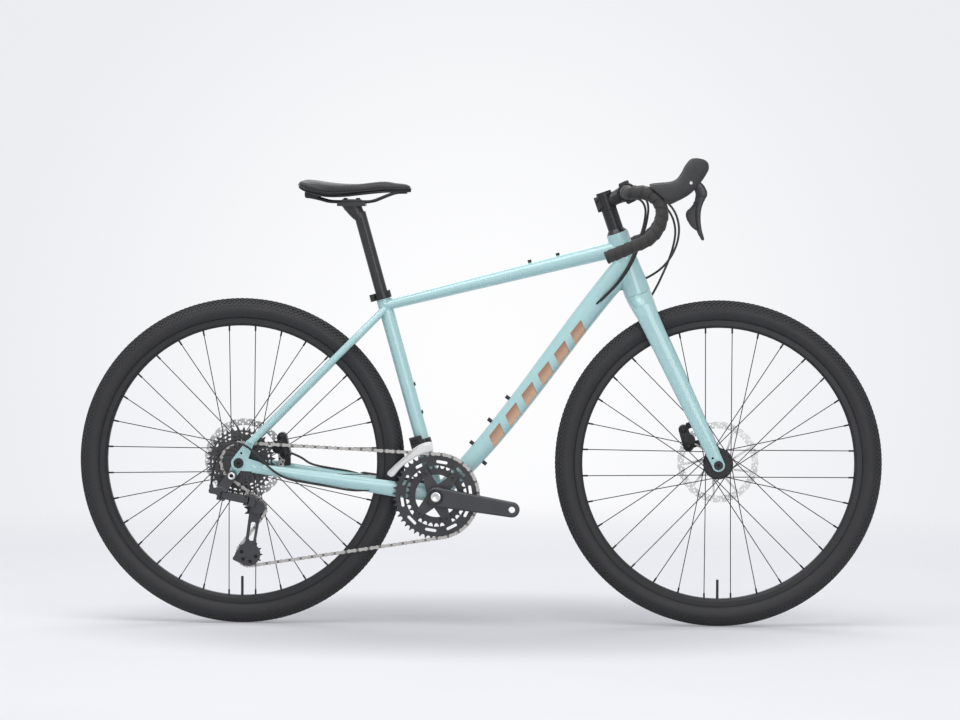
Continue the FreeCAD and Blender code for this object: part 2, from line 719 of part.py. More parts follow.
make_axle("front_axle", front_axle, "front_hub_width / 2", "fork_leg_wall", 10)
make_axle("rear_axle", rear_axle, "rear_hub_width / 2", "hanger_wall + dropout_wall", 11)


# Drivetrain layout
def pitch_radius(teeth):
    """Radius of the circle through the chain's pins on a toothed wheel."""
    return size.chain_pitch / (2 * math.sin(math.pi / teeth))


def flat(point):
    """A point of the XZ plane as a complex number, seen from the right-hand side."""
    return complex(point.x, point.z)


class Loop(NamedTuple):
    """A wheel that the chain runs round: its centre, teeth and the sense of the wrap."""

    centre: complex
    teeth: int
    clockwise: bool


def tangent_angle(first, last):
    """Angles on two wheels where the straight run between them leaves and arrives."""
    gap = last.centre - first.centre
    reach, heading = abs(gap), math.atan2(gap.imag, gap.real)
    start, end = pitch_radius(first.teeth), pitch_radius(last.teeth)
    sign = 1 if first.clockwise else -1
    if first.clockwise == last.clockwise:
        swing = math.acos((start - end) / reach)
        return heading + sign * swing, heading + sign * swing
    swing = math.acos((start + end) / reach)
    return heading + sign * swing, heading + sign * swing + math.pi


def chain_runs(loops):
    """The closed path as arcs and straight runs, with each one's length in pitches."""
    runs = []
    count = len(loops)
    angles = [tangent_angle(loops[n], loops[(n + 1) % count]) for n in range(count)]
    for n, wheel in enumerate(loops):
        arrive, leave = angles[n - 1][1], angles[n][0]
        sense = -1 if wheel.clockwise else 1
        sweep = sense * ((sense * (leave - arrive)) % (2 * math.pi))
        runs.append((wheel, arrive, sweep, abs(sweep) * wheel.teeth / (2 * math.pi)))
        after = loops[(n + 1) % count]
        begin = wheel.centre + pitch_radius(wheel.teeth) * unit(leave)
        finish = after.centre + pitch_radius(after.teeth) * unit(angles[n][1])
        runs.append((begin, finish, None, abs(finish - begin) / size.chain_pitch))
    return runs


def unit(angle):
    """The complex number of length one at an angle."""
    return complex(math.cos(angle), math.sin(angle))


def chain_point(runs, place):
    """Where a pin lies at a number of pitches along the path."""
    for first, second, sweep, pitches in runs:
        if place <= pitches:
            if sweep is None:
                return first + (second - first) * (place / pitches)
            return first.centre + pitch_radius(first.teeth) * unit(second + sweep * place / pitches)
        place -= pitches
    return chain_point(runs, place)


def chain_loops(cage_turn):
    """The four wheels that the chain runs round, with the pulley cage turned about its pivot."""
    turn = unit(cage_turn)
    guide = cage_pivot + GUIDE_OFFSET * turn
    tension = cage_pivot + TENSION_OFFSET * turn
    return [
        Loop(flat(rear_axle), SPROCKET_TEETH[DRIVEN_SPROCKET], True),
        Loop(flat(crank_axis), int(size.big_ring_teeth), True),
        Loop(tension, int(size.tension_pulley_teeth), True),
        Loop(guide, int(size.guide_pulley_teeth), False),
    ]


def settle_cage():
    """Turn the cage until the chain is a whole, even number of links."""
    total = sum(run[3] for run in chain_runs(chain_loops(0)))
    links = 2 * round(total / 2)
    low, high = -0.6, 0.6
    for _ in range(60):
        middle = (low + high) / 2
        length = sum(run[3] for run in chain_runs(chain_loops(middle)))
        low, high = (middle, high) if length > links else (low, middle)
    return (low + high) / 2, links


# Rear derailleur's cage pivot from the axle, and its pulleys from that pivot, seen from the right
cage_pivot = flat(rear_axle) + complex(42, -98)
GUIDE_OFFSET = complex(-8, -7)
TENSION_OFFSET = complex(-23.5, -106)
cage_turn, link_count = settle_cage()
loops = chain_loops(cage_turn)
runs = chain_runs(loops)
pins = [chain_point(runs, n) for n in range(link_count)]
chain_y = -size.chain_line
guide_centre = loops[3].centre
tension_centre = loops[2].centre


def meshing_phase(wheel):
    """The angle of a tooth space that a chain pin fills."""
    radius = pitch_radius(wheel.teeth)
    seated = [p for p in pins if abs(abs(p - wheel.centre) - radius) < 1e-6]
    offset = seated[len(seated) // 2] - wheel.centre
    return math.atan2(offset.imag, offset.real)


def toothed_face(teeth, phase=0.0):
    """A toothed outline about the origin of the XZ plane: a roller seat, two flanks and a tip per tooth."""
    radius = pitch_radius(teeth)
    seat = size.roller_radius + SEAT_CLEARANCE
    tip = radius + size.tooth_height
    edges = []
    step = 2 * math.pi / teeth
    for number in range(teeth):
        angle = phase + number * step
        centre = radius * unit(angle)
        entry = centre + seat * unit(angle + math.pi + SEAT_HALF_ANGLE)
        floor = centre - seat * unit(angle)
        leave = centre + seat * unit(angle + math.pi - SEAT_HALF_ANGLE)
        crest = angle + step / 2
        rise = tip * unit(crest) - TIP_HALF_WIDTH * 1j * unit(crest)
        fall = tip * unit(crest) + TIP_HALF_WIDTH * 1j * unit(crest)
        follow = radius * unit(angle + step)
        follow = follow + seat * unit(angle + step + math.pi + SEAT_HALF_ANGLE)
        edges.append(Part.Arc(solid_point(entry), solid_point(floor), solid_point(leave)).toShape())
        for begin, finish in ((leave, rise), (rise, fall), (fall, follow)):
            edges.append(Part.LineSegment(solid_point(begin), solid_point(finish)).toShape())
    return Part.Face(Part.Wire(edges))


def solid_point(number, y=0.0):
    """A complex number of the XZ plane as a point at some Y."""
    return Vector(number.real, y, number.imag)


def toothed_disc(teeth, wall, bore, phase=0.0):
    """A toothed wheel centred on Y zero, with a round bore."""
    disc = toothed_face(teeth, phase).extrude(Y_AXIS * wall)
    disc.translate(Vector(0, -wall / 2, 0))
    return disc.cut(Part.makeCylinder(bore, 2 * wall, Vector(0, -wall, 0), Y_AXIS))


SEAT_CLEARANCE = 0.08
SEAT_HALF_ANGLE = math.radians(68)
TIP_HALF_WIDTH = 0.8


# Chain
def link_plate(y):
    """One waisted side plate between two pins on the X axis, from a Y outward by its wall."""
    radius, waist = size.link_plate_radius, size.link_plate_radius * 0.72
    reach = size.chain_pitch
    lean = math.radians(50)
    side = Vector(radius * math.cos(lean), 0, radius * math.sin(lean))
    far = Vector(reach, 0, 0)
    up = Vector(reach / 2, 0, waist)
    flip = Vector(side.x, 0, -side.z)
    back = Vector(-side.x, 0, side.z)
    edges = [
        Part.Arc(side, Vector(-radius, 0, 0), flip).toShape(),
        Part.Arc(flip, Vector(reach / 2, 0, -waist), far + Vector(back.x, 0, -back.z)).toShape(),
        Part.Arc(far + Vector(back.x, 0, -back.z), far + Vector(radius, 0, 0), far + back).toShape(),
        Part.Arc(far + back, up, side).toShape(),
    ]
    plate = Part.Face(Part.Wire(edges)).extrude(Vector(0, math.copysign(size.link_plate_wall, y), 0))
    plate.translate(Vector(0, y, 0))
    return plate


def make_chain():
    """Alternate roller links and pin links laid along the path."""
    inner_face = size.link_inner_width / 2
    outer_face = inner_face + size.link_plate_wall + size.link_clearance
    span = 2 * (outer_face + size.link_plate_wall)
    rollers, shafts, bores = [], [], []
    for x in (0, size.chain_pitch):
        low = Vector(x, -inner_face, 0)
        rollers.append(Part.makeCylinder(size.roller_radius, 2 * inner_face, low, Y_AXIS))
        foot = Vector(x, -span / 2, 0)
        shafts.append(Part.makeCylinder(size.pin_radius, span, foot, Y_AXIS))
        bores.append(Part.makeCylinder(size.pin_radius + size.link_clearance, span, foot, Y_AXIS))
    roller_link = link_plate(inner_face).multiFuse([link_plate(-inner_face)] + rollers)
    roller_link = roller_link.cut(Part.makeCompound(bores)).removeSplitter()
    pin_link = link_plate(outer_face).multiFuse([link_plate(-outer_face)] + shafts).removeSplitter()
    links = []
    for number in range(link_count):
        here, there = pins[number], pins[(number + 1) % link_count]
        link = (roller_link if number % 2 else pin_link).copy()
        heading = math.degrees(math.atan2((there - here).imag, (there - here).real))
        link.Placement = Placement(solid_point(here, chain_y), Rotation(Y_AXIS, -heading))
        links.append(link)
    return piece("chain", shaped("chain", Part.makeCompound(links)))


make_chain()


# Cassette on its freewheel body
def make_cassette():
    """Ten sprockets with spacers between them, the body that they slide on and the lock ring."""
    wall, bore = size.sprocket_wall, size.sprocket_bore_radius
    solids = []
    inmost = chain_y + DRIVEN_SPROCKET * size.sprocket_pitch
    for number, teeth in enumerate(SPROCKET_TEETH):
        y = inmost - number * size.sprocket_pitch
        phase = meshing_phase(loops[0]) if number == DRIVEN_SPROCKET else 0.0
        web = min(bore, pitch_radius(teeth) - size.roller_radius - 3)
        sprocket = toothed_disc(teeth, wall, web, phase)
        rim = pitch_radius(teeth) - size.roller_radius - SPROCKET_RIM
        if rim - bore > WINDOW_LEAST:
            tools = windows(bore + SPROCKET_HUB, rim, 2 * wall, number * WINDOW_STEP)
            sprocket = sprocket.cut(Part.makeCompound(tools))
        sprocket.translate(Vector(0, y, 0))
        solids.append(sprocket)
        if number:
            spacer = ring_solid(web + SPROCKET_HUB - 1, web, size.sprocket_pitch - wall)
            spacer.translate(Vector(0, y + wall / 2, 0))
            solids.append(spacer)
    outmost = inmost - (len(SPROCKET_TEETH) - 1) * size.sprocket_pitch - wall / 2
    inner_end = -size.rear_right_flange - size.hub_flange_wall - FREEHUB_GAP
    axle_bore = size.axle_radius + size.axle_clearance
    small = min(bore, pitch_radius(SPROCKET_TEETH[-1]) - size.roller_radius - 3)
    body = ring_solid(small - 0.05, axle_bore, inner_end - outmost)
    body.translate(Vector(0, outmost, 0))
    step_y = inmost - (len(SPROCKET_TEETH) - 2) * size.sprocket_pitch - wall / 2
    sleeve = ring_solid(bore - 0.05, small - 0.05, inner_end - step_y)
    sleeve.translate(Vector(0, step_y, 0))
    shoulder = ring_solid(bore + SPROCKET_HUB, bore - 0.05, inner_end - inmost - wall / 2)
    shoulder.translate(Vector(0, inmost + wall / 2, 0))
    solids.append(body.multiFuse([sleeve, shoulder]).removeSplitter())
    lock = ring_solid(small + 2.5, size.end_cap_radius + LOCK_CLEARANCE, LOCK_WALL)
    lock.translate(Vector(0, outmost - LOCK_WALL, 0))
    solids.append(lock)
    return piece("cassette", shaped("cassette", Part.makeCompound(solids), Placement(rear_axle, Rotation())))


def windows(inner, outer, wall, start):
    """Tools for the openings between a large sprocket's arms, from a starting angle."""
    tools = []
    for number in range(SPROCKET_ARMS):
        sector = Part.makeCylinder(outer, wall, Vector(0, -wall / 2, 0), Y_AXIS, SECTOR_DEGREES)
        sector.rotate(Vector(), Y_AXIS, start + number * 360 / SPROCKET_ARMS)
        tools.append(sector.cut(Part.makeCylinder(inner, wall, Vector(0, -wall / 2, 0), Y_AXIS)))
    return tools


SPROCKET_RIM = 4
SPROCKET_HUB = 4
SPROCKET_ARMS = 6
SECTOR_DEGREES = 40
WINDOW_STEP = 22
WINDOW_LEAST = 14
FREEHUB_GAP = 2.5
LOCK_WALL = 2
LOCK_CLEARANCE = 0.6
make_cassette()


# Crankset
def make_chainrings():
    """Two chainrings and the bolts that hold them to the spider."""
    bolts = [crank_point(size.ring_bolt_circle, angle) for angle in SPIDER_ANGLES]
    wall = size.ring_wall
    big = toothed_disc(int(size.big_ring_teeth), wall, BIG_RING_INNER, meshing_phase(loops[1]))
    tabs = []
    for angle in SPIDER_ANGLES:
        foot = crank_point(size.ring_bolt_circle, angle)
        tab = bar_solid(foot * 0.99, crank_point(BIG_RING_INNER + 3, angle), 2 * RING_BOSS, wall)
        boss = Part.makeCylinder(RING_BOSS, wall, foot, Y_AXIS)
        tabs.append(tab.fuse(boss))
    for tab in tabs:
        tab.translate(Vector(0, -wall / 2, 0))
    bores, nuts = [], []
    for bolt in bolts:
        foot = bolt + Vector(0, -2 * size.ring_spacing, 0)
        bores.append(Part.makeCylinder(size.ring_bolt_radius + 0.05, 5 * size.ring_spacing, foot, Y_AXIS))
    drill = Part.makeCompound(bores)
    slots = []
    for number in range(RING_SLOTS):
        angle = (number + 0.5) * 360 / RING_SLOTS
        ends = [crank_point(RING_SLOT_RADIUS, angle + side * RING_SLOT_HALF_ANGLE) for side in (-1, 1)]
        slot = bar_solid(*ends, RING_SLOT_WIDTH, 3 * wall)
        rounds = [Part.makeCylinder(RING_SLOT_WIDTH / 2, 3 * wall, end, Y_AXIS) for end in ends]
        slot = slot.multiFuse(rounds)
        slot.translate(Vector(0, -1.5 * wall, 0))
        slots.append(slot)
    big = big.multiFuse(tabs).cut(drill).cut(Part.makeCompound(slots)).removeSplitter()
    small = toothed_disc(int(size.small_ring_teeth), wall, size.ring_bolt_circle - 8).cut(drill)
    small.translate(Vector(0, size.ring_spacing, 0))
    inner_end = size.ring_spacing + wall / 2
    outer_end = -wall / 2 - SPIDER_WALL
    for bolt in bolts:
        shank = Part.makeCylinder(
            size.ring_bolt_radius, inner_end - outer_end, bolt + Vector(0, outer_end, 0), Y_AXIS
        )
        head_start = bolt + Vector(0, outer_end - RING_HEAD_WALL, 0)
        head = Part.makeCylinder(RING_HEAD, RING_HEAD_WALL, head_start, Y_AXIS)
        nut = Part.makeCylinder(RING_HEAD, RING_NUT_WALL, bolt + Vector(0, inner_end, 0), Y_AXIS)
        spacer_start = bolt + Vector(0, wall / 2, 0)
        spacer = Part.makeCylinder(RING_HEAD, size.ring_spacing - wall, spacer_start, Y_AXIS)
        socket = Part.makeCylinder(RING_SOCKET, RING_SOCKET_DEPTH, head_start, Y_AXIS)
        nuts.append(shank.multiFuse([head, nut, spacer]).cut(socket).removeSplitter())
    here = Placement(crank_axis + Y_AXIS * chain_y, Rotation())
    piece("chainrings", shaped("chainrings", Part.makeCompound([big, small] + nuts), here))


def crank_point(radius, angle):
    """A point at an angle from the right crank arm, about the crank axis in the XZ plane."""
    return polar(radius, math.radians(angle - size.crank_drop_angle))


def make_cranks():
    """The right arm with spider and hollow spindle, and the left arm that clamps on the spindle."""
    outer = size.crank_outer_face
    down = math.radians(size.crank_drop_angle)
    centre = (crank_axis.x, crank_axis.z)
    reach = size.crank_length
    end = (centre[0] + reach * math.cos(down), centre[1] - reach * math.sin(down))
    far_end = (centre[0] - reach * math.cos(down), centre[1] + reach * math.sin(down))
    radii = ("crank_boss_radius", "crank_end_radius")
    inner = outer - size.crank_wall
    spider_face = chain_y - size.ring_wall / 2 - SPIDER_WALL
    right = side_strap("crank_right_arm", centre, end, radii, "crank_wall", -inner)
    soft = rounded("crank_right_soft", right, CRANK_EDGE, lambda edge: edge.BoundBox.YMax < -inner - 1)
    hub_end = crank_axis + Y_AXIS * -(sized("bb_shell_width / 2 + bb_cup_width") + CRANK_GAP)
    hub_length = f"crank_outer_face - crank_wall / 2 - bb_shell_width / 2 - bb_cup_width - {CRANK_GAP}"
    hub = cylinder("crank_hub", "crank_boss_radius - 1.5", hub_length, hub_end, -Y_AXIS)
    arms = []
    for number, angle in enumerate(SPIDER_ANGLES):
        tip = crank_axis + crank_point(size.ring_bolt_circle, angle)
        arm = side_strap(
            f"spider_arm_{number}", centre, (tip.x, tip.z), ("crank_boss_radius - 3", RING_BOSS), SPIDER_WALL,
            chain_y - size.ring_wall / 2,
        )
        arms.append(arm)
    socket_end = crank_axis - Y_AXIS * (outer - size.crank_wall / 2)
    spindle_rod = cylinder(
        "spindle_rod", "spindle_radius", "crank_outer_face * 2 - crank_wall / 2 - 1", socket_end, Y_AXIS
    )
    right_seat = cylinder("crank_right_seat", "spindle_radius + 0.02", "crank_outer_face", socket_end, Y_AXIS)
    bore = cylinder(
        "spindle_bore", "spindle_bore_radius", "crank_outer_face * 2 + 20",
        crank_axis - Y_AXIS * (outer + 10), Y_AXIS,
    )
    pedal = pedal_hole("right_pedal_hole", end)
    bolt_holes = []
    for number, angle in enumerate(SPIDER_ANGLES):
        foot = crank_axis + crank_point(size.ring_bolt_circle, angle) + Y_AXIS * (spider_face - 5)
        hole = cylinder(f"spider_hole_{number}", "ring_bolt_radius + 0.05", SPIDER_WALL + 10, foot, Y_AXIS)
        bolt_holes.append(hole)
    solid = fuse("crank_right_solid", [soft, hub] + arms)
    right_arm = cut("crank_right_arm_bored", solid, right_seat, bore, pedal, *bolt_holes)
    spindle = cut("spindle", spindle_rod, bore)
    group("crank_right", [right_arm, spindle])
    left = side_strap("crank_left_arm", centre, far_end, radii, "crank_wall", outer)
    left_soft = rounded("crank_left_soft", left, CRANK_EDGE, lambda edge: edge.BoundBox.YMin > inner + 1)
    left_hub = cylinder(
        "crank_left_hub", "crank_boss_radius - 1.5", hub_length, crank_axis - Y_AXIS * hub_end.y, Y_AXIS
    )
    seat = cylinder("crank_left_seat", "spindle_radius + 0.03", "crank_outer_face", crank_axis, Y_AXIS)
    left_pedal = pedal_hole("left_pedal_hole", far_end)
    piece("crank_left", cut("crank_left", fuse("crank_left_solid", [left_soft, left_hub]), seat, left_pedal))


def pedal_hole(name, end):
    """A through hole for the pedal thread at the end of an arm."""
    start = Vector(end[0], -size.crank_outer_face - 10, end[1])
    return cylinder(name, "pedal_hole_radius", "2 * crank_outer_face + 20", start, Y_AXIS)


SPIDER_ANGLES = (56, 125, -125, -56)
SPIDER_WALL = 4.5
BIG_RING_INNER = 67.5
RING_SLOTS = 10
RING_SLOT_RADIUS = 76.5
RING_SLOT_WIDTH = 6.5
RING_SLOT_HALF_ANGLE = 7
RING_BOSS = 8.5
RING_HEAD = 7
RING_HEAD_WALL = 1.5
RING_NUT_WALL = 1.2
RING_SOCKET = 2.6
RING_SOCKET_DEPTH = 4
CRANK_EDGE = 4
CRANK_GAP = 0.5
make_chainrings()
make_cranks()


# Frame
def tube_section(point, along):
    """A section plane square to a tube, with X across its depth and Y across its width."""
    heading = Vector(along).normalize()
    return Placement(point, Rotation(Y_AXIS.cross(heading), Y_AXIS, heading, "ZYX"))


def make_head_tube():
    """A tapered head tube with its two bearings, and the plain outside that the tubes are coped to."""
    flare, taper = HEAD_FLARE, HEAD_TAPER
    base = Vector(0, 0, head_bottom)
    low = cylinder("head_low", "head_bottom_radius", flare, base, Z_AXIS, STEER)
    mid = cone(
        "head_mid", "head_bottom_radius", "head_top_radius", taper, base + Z_AXIS * flare, Z_AXIS, STEER
    )
    rest = f"head_tube_length - {flare + taper}"
    top = cylinder("head_upper", "head_top_radius", rest, base + Z_AXIS * (flare + taper), Z_AXIS, STEER)
    outside = fuse("head_outside", [low, mid, top])
    bore = cone(
        "head_bore", "steerer_bottom_radius + 3", "steerer_top_radius + 3", "head_tube_length", base, Z_AXIS,
        STEER,
    )
    seat_depth = "bearing_height + 1"
    low_seat = cylinder("lower_seat", "lower_bearing_radius + 0.02", seat_depth, base, Z_AXIS, STEER)
    top_base = Vector(0, 0, head_top - size.bearing_height - 1)
    top_seat = cylinder("upper_seat", "upper_bearing_radius + 0.02", seat_depth, top_base, Z_AXIS, STEER)
    piece("head_tube", cut("head_tube", outside, bore, low_seat, top_seat))
    rings = []
    for name, radius, hole, start in (
        ("lower_bearing", "lower_bearing_radius", "steerer_bottom_radius + headset_clearance", base + Z_AXIS),
        ("upper_bearing", "upper_bearing_radius", "steerer_top_radius + headset_clearance", top_base),
    ):
        disc = cylinder(name + "_disc", radius, "bearing_height", start, Z_AXIS, STEER)
        hub = cylinder(name + "_hole", hole, "bearing_height", start, Z_AXIS, STEER)
        rings.append(cut(name, disc, hub))
    return outside, rings


def make_main_tubes(head_outside):
    """The seat tube with its crank shell, the top tube and the down tube, coped to one another."""
    half = size.bb_shell_width / 2
    shell_start = crank_axis - Y_AXIS * half
    shell = cylinder("shell_outside", "bb_shell_radius", "bb_shell_width", shell_start, Y_AXIS)
    shell_bore = cylinder("shell_bore", "bb_bore_radius", "bb_shell_width", shell_start, Y_AXIS)
    seat_outside = cylinder("seat_outside", "seat_tube_radius", "seat_tube_length", Vector(), Z_AXIS, SEAT)
    seat_bore = cylinder(
        "seat_bore", "seatpost_radius + seatpost_clearance", "seat_tube_length",
        Vector(0, 0, SEAT_BORE_START), Z_AXIS, SEAT,
    )
    seat_whole = fuse("seat_tube_whole", [seat_outside, shell])
    piece("seat_tube", cut("seat_tube", seat_whole, shell_bore, seat_bore))
    rear = SEAT.multVec(Vector(0, 0, size.seat_tube_length - size.top_tube_seat_drop))
    front = STEER.multVec(Vector(0, 0, head_top - size.top_tube_head_drop))
    depths = ("top_tube_rear_height / 2", "(top_tube_rear_height + top_tube_front_height) / 4",
              "top_tube_front_height / 2")
    stations = []
    for share, depth in zip((0, 0.5, 1), depths):
        place = tube_section(rear + (front - rear) * share, front - rear)
        stations.append((place, depth, "top_tube_width / 2"))
    top_loft = loft("top_tube_whole", stations)
    piece("top_tube", cut("top_tube", top_loft, seat_outside, head_outside))
    high = STEER.multVec(Vector(0, 0, head_bottom + size.down_tube_head_rise))
    climb = high - crank_axis
    lean = math.asin(size.down_tube_offset / climb.Length)
    along = Rotation(Y_AXIS, -math.degrees(lean)).multVec(climb).normalize()
    reach = climb.Length * math.cos(lean)
    spots = [(crank_axis, "down_tube_rear_height / 2 - 2", "down_tube_rear_width / 2")]
    for share in (0.2, 0.6, 1.0):
        depth = f"(down_tube_rear_height * {1 - share} + down_tube_front_height * {share}) / 2"
        width = f"(down_tube_rear_width * {1 - share} + down_tube_front_width * {share}) / 2"
        spots.append((high - along * reach * (1 - share), depth, width))
    down_loft = loft("down_tube_whole", [(tube_section(p, along), d, w) for p, d, w in spots])
    piece("down_tube", cut("down_tube", down_loft, shell, seat_outside, head_outside))
    return shell, seat_outside, (rear, front - rear), (high - along * reach, along)


def make_bearings(headset):
    """Outboard crank cups whose sleeves fill the shell, together with the headset bearings."""
    cups = []
    half = size.bb_shell_width / 2
    for side in (-1, 1):
        out = Y_AXIS * side
        face = crank_axis + out * half
        cup = cylinder(f"cup_{side}", "bb_cup_radius", "bb_cup_width", face, out)
        sleeve = cylinder(f"sleeve_{side}", "bb_bore_radius - 0.05", SLEEVE_DEPTH, face, -out)
        bore = cylinder(
            f"cup_bore_{side}", "spindle_radius + spindle_clearance", f"bb_cup_width + {SLEEVE_DEPTH}",
            face - out * SLEEVE_DEPTH, out,
        )
        cups.append(cut(f"cup_ring_{side}", fuse(f"cup_solid_{side}", [cup, sleeve]), bore))
    return group("frame_bearings", headset + cups)


def chainstay_stations():
    """Section planes of the right chainstay from the shell to the rear end, clear of tyre and rings."""
    beside_tyre = size.tyre_width / 2 + size.stay_tyre_gap
    end_y = rear_end_y - size.dropout_wall / 2
    foot = rear_axle + Vector(0, end_y, -CHAINSTAY_FOOT_DROP)
    start = crank_axis
    path = foot - start
    plan = [
        (0.01, -18, 1, 10),
        (0.10, -22.5, 0, 9),
        (0.165, -28, 0, 5.5),
        (0.215, -beside_tyre - 5, 0, 5.2),
        (0.34, -beside_tyre - 9, 1, 8),
        (0.55, end_y * 0.64, 3.5, 8.5),
        (0.78, end_y * 0.86, 5.5, 7.5),
        (0.93, end_y, 6.5, 5),
    ]
    stations = []
    for number in range(CHAINSTAY_STATIONS):
        share = plan[0][0] + (plan[-1][0] - plan[0][0]) * number / (CHAINSTAY_STATIONS - 1)
        y, slimmer, width = between(plan, share)
        point = start + path * share
        place = tube_section(Vector(point.x, y, point.z), Vector(path.x, 0, path.z))
        stations.append((place, f"chainstay_height / 2 - {slimmer}", width))
    return stations


def between(plan, share):
    """Values at a share of a length, in line between the two nearest rows of a plan."""
    for low, high in zip(plan, plan[1:]):
        if share <= high[0] + 1e-9:
            part = (share - low[0]) / (high[0] - low[0])
            return [a + (b - a) * part for a, b in zip(low[1:], high[1:])]
    return list(plan[-1][1:])


def make_rear_triangle(shell, seat_outside):
    """Chainstays with their end plates, seatstays with a bridge, and the derailleur hanger."""
    stay = cut("right_chainstay_coped", loft("right_chainstay", chainstay_stations()), shell, seat_outside)
    axle_spot = (rear_axle.x, rear_axle.z)
    tab = (
        rear_axle.x + DROPOUT_REACH * math.cos(DROPOUT_LEAN),
        rear_axle.z + DROPOUT_REACH * math.sin(DROPOUT_LEAN),
    )
    tail = (rear_axle.x + DROPOUT_TAIL, rear_axle.z - CHAINSTAY_FOOT_DROP - 2)
    widths = ("dropout_radius", "stay_radius + 1")
    up = side_strap("end_up", axle_spot, tab, widths, "dropout_wall", rear_end_y)
    fore = side_strap("end_fore", axle_spot, tail, ("dropout_radius", 11), "dropout_wall", rear_end_y)
    hole = cylinder(
        "rear_end_hole", "axle_radius + 0.05", "rear_hub_width + 60",
        rear_axle - Y_AXIS * (size.rear_hub_width / 2 + 30), Y_AXIS,
    )
    eyelet = cylinder(
        "rear_eyelet", EYELET_RADIUS, "dropout_wall + 2",
        Vector(rear_axle.x + EYELET_AT[0], rear_end_y + 1, rear_axle.z + EYELET_AT[1]), -Y_AXIS,
    )
    whole = fuse("right_chainstay_solid", [stay, up, fore])
    right = cut("right_chainstay_drilled", whole, hole, eyelet)
    boss = cylinder(
        "left_end_boss", "dropout_radius - 3", "hanger_wall", rear_axle + Y_AXIS * -rear_end_y, -Y_AXIS
    )
    left_whole = fuse("left_chainstay_solid", [mirrored("left_chainstay_plain", right), boss])
    left = cut("left_chainstay_drilled", left_whole, hole)
    joint = SEAT.multVec(Vector(0, 0, size.seat_tube_length - SEATSTAY_DROP))
    foot = Vector(tab[0], rear_end_y - size.dropout_wall / 2, tab[1])
    path = Vector(joint.x - foot.x, 0, joint.z - foot.z)
    bend_reach = size.tyre_radius + BRIDGE_GAP - DROPOUT_REACH
    bend = foot + Vector(path).normalize() * bend_reach
    bend.y = -(size.tyre_width / 2 + size.stay_tyre_gap + size.stay_radius)
    top = Vector(joint.x, -SEATSTAY_SPLAY, joint.z)
    tube = swept("right_seatstay", route([foot, bend, top], SEATSTAY_BEND), "stay_radius")
    right_stay = cut("right_seatstay_coped", tube, seat_outside, right, pieces["top_tube"])
    left_stay = mirrored("left_seatstay", right_stay)
    bridge_rod = cylinder(
        "stay_bridge_rod", BRIDGE_RADIUS, "2 * (tyre_width / 2 + stay_tyre_gap + stay_radius)",
        bend, Y_AXIS,
    )
    bridge = cut("stay_bridge", bridge_rod, right_stay, left_stay)
    low = crank_axis + (rear_axle - crank_axis) * LOW_BRIDGE_SHARE
    low_rod = cylinder("low_bridge_rod", BRIDGE_RADIUS, 50, low - Y_AXIS * 25, Y_AXIS)
    low_bridge = cut("low_bridge", low_rod, right, left)
    group("seatstays", [right_stay, left_stay, bridge])
    hanger_plate = side_strap(
        "hanger_plate", axle_spot, (hanger_bolt.x, hanger_bolt.z), ("dropout_radius - 3", 9), "hanger_wall",
        -size.rear_hub_width / 2,
    )
    bolt_hole = cylinder(
        "hanger_bolt_hole", HANGER_BOLT + 0.05, "hanger_wall + 4", hanger_bolt + Y_AXIS * 2, -Y_AXIS
    )
    hanger = cut("derailleur_hanger", hanger_plate, hole, bolt_hole)
    group("chainstays", [right, left, low_bridge, hanger])
    return right, left


def make_seat_clamp():
    """A split collar with its pinch bolt behind the seat tube."""
    start = Vector(0, 0, size.seat_tube_length - size.seat_collar_height)
    outside = "seat_tube_radius + seat_collar_wall"
    ring = cylinder("collar_ring", outside, "seat_collar_height", start, Z_AXIS, SEAT)
    reach = sized(outside)
    lug = box("collar_lug", 14, 18, "seat_collar_height", (-reach - 8, -9, start.z), SEAT)
    hole = cylinder("collar_hole", "seat_tube_radius + 0.02", "seat_collar_height", start, Z_AXIS, SEAT)
    slit = box("collar_slit", 16, 1.6, "seat_collar_height", (-reach - 9, -0.8, start.z), SEAT)
    across = Vector(-reach - 2.5, 10, start.z + size.seat_collar_height / 2)
    bore = cylinder("collar_bore", 2.6, 24, across + Y_AXIS * 2, -Y_AXIS, SEAT)
    collar = cut("collar", fuse("collar_solid", [ring, lug]), hole, slit, bore)
    shank = cylinder("collar_shank", 2.5, 20, across, -Y_AXIS, SEAT)
    head = cylinder("collar_head", 4.4, 4, across - Y_AXIS * 19, -Y_AXIS, SEAT)
    return group("seat_clamp", [collar, fuse("collar_bolt", [shank, head])])


def make_frame_bolts(top_line, down_line, top, down, seat_outside):
    """Low round bolts in the threaded bosses on the main tubes."""
    bolts = []
    start, along = down_line
    aside = Vector(-along.z, 0, along.x)
    plan = [(start + along * reach, aside, down, 30) for reach in DOWN_TUBE_BOSSES]
    plan.append((start + along * UNDER_BOSS, -aside, down, 30))
    rear, path = top_line
    upright = Vector(-path.z, 0, path.x).normalize()
    plan += [(rear + Vector(path).normalize() * reach, upright, top, 22) for reach in TOP_TUBE_BOSSES]
    forward = SEAT.Rotation.multVec(X_AXIS)
    for reach in SEAT_TUBE_BOSSES:
        plan.append((SEAT.multVec(Vector(0, 0, reach)), forward, seat_outside, 18.5))
    for number, (point, out, tube, height) in enumerate(plan):
        stud = cylinder(f"boss_bolt_{number}", BOSS_BOLT, height, point, out)
        bolts.append(cut(f"boss_bolt_{number}_seated", stud, tube))
    return group("frame_bolts", bolts)


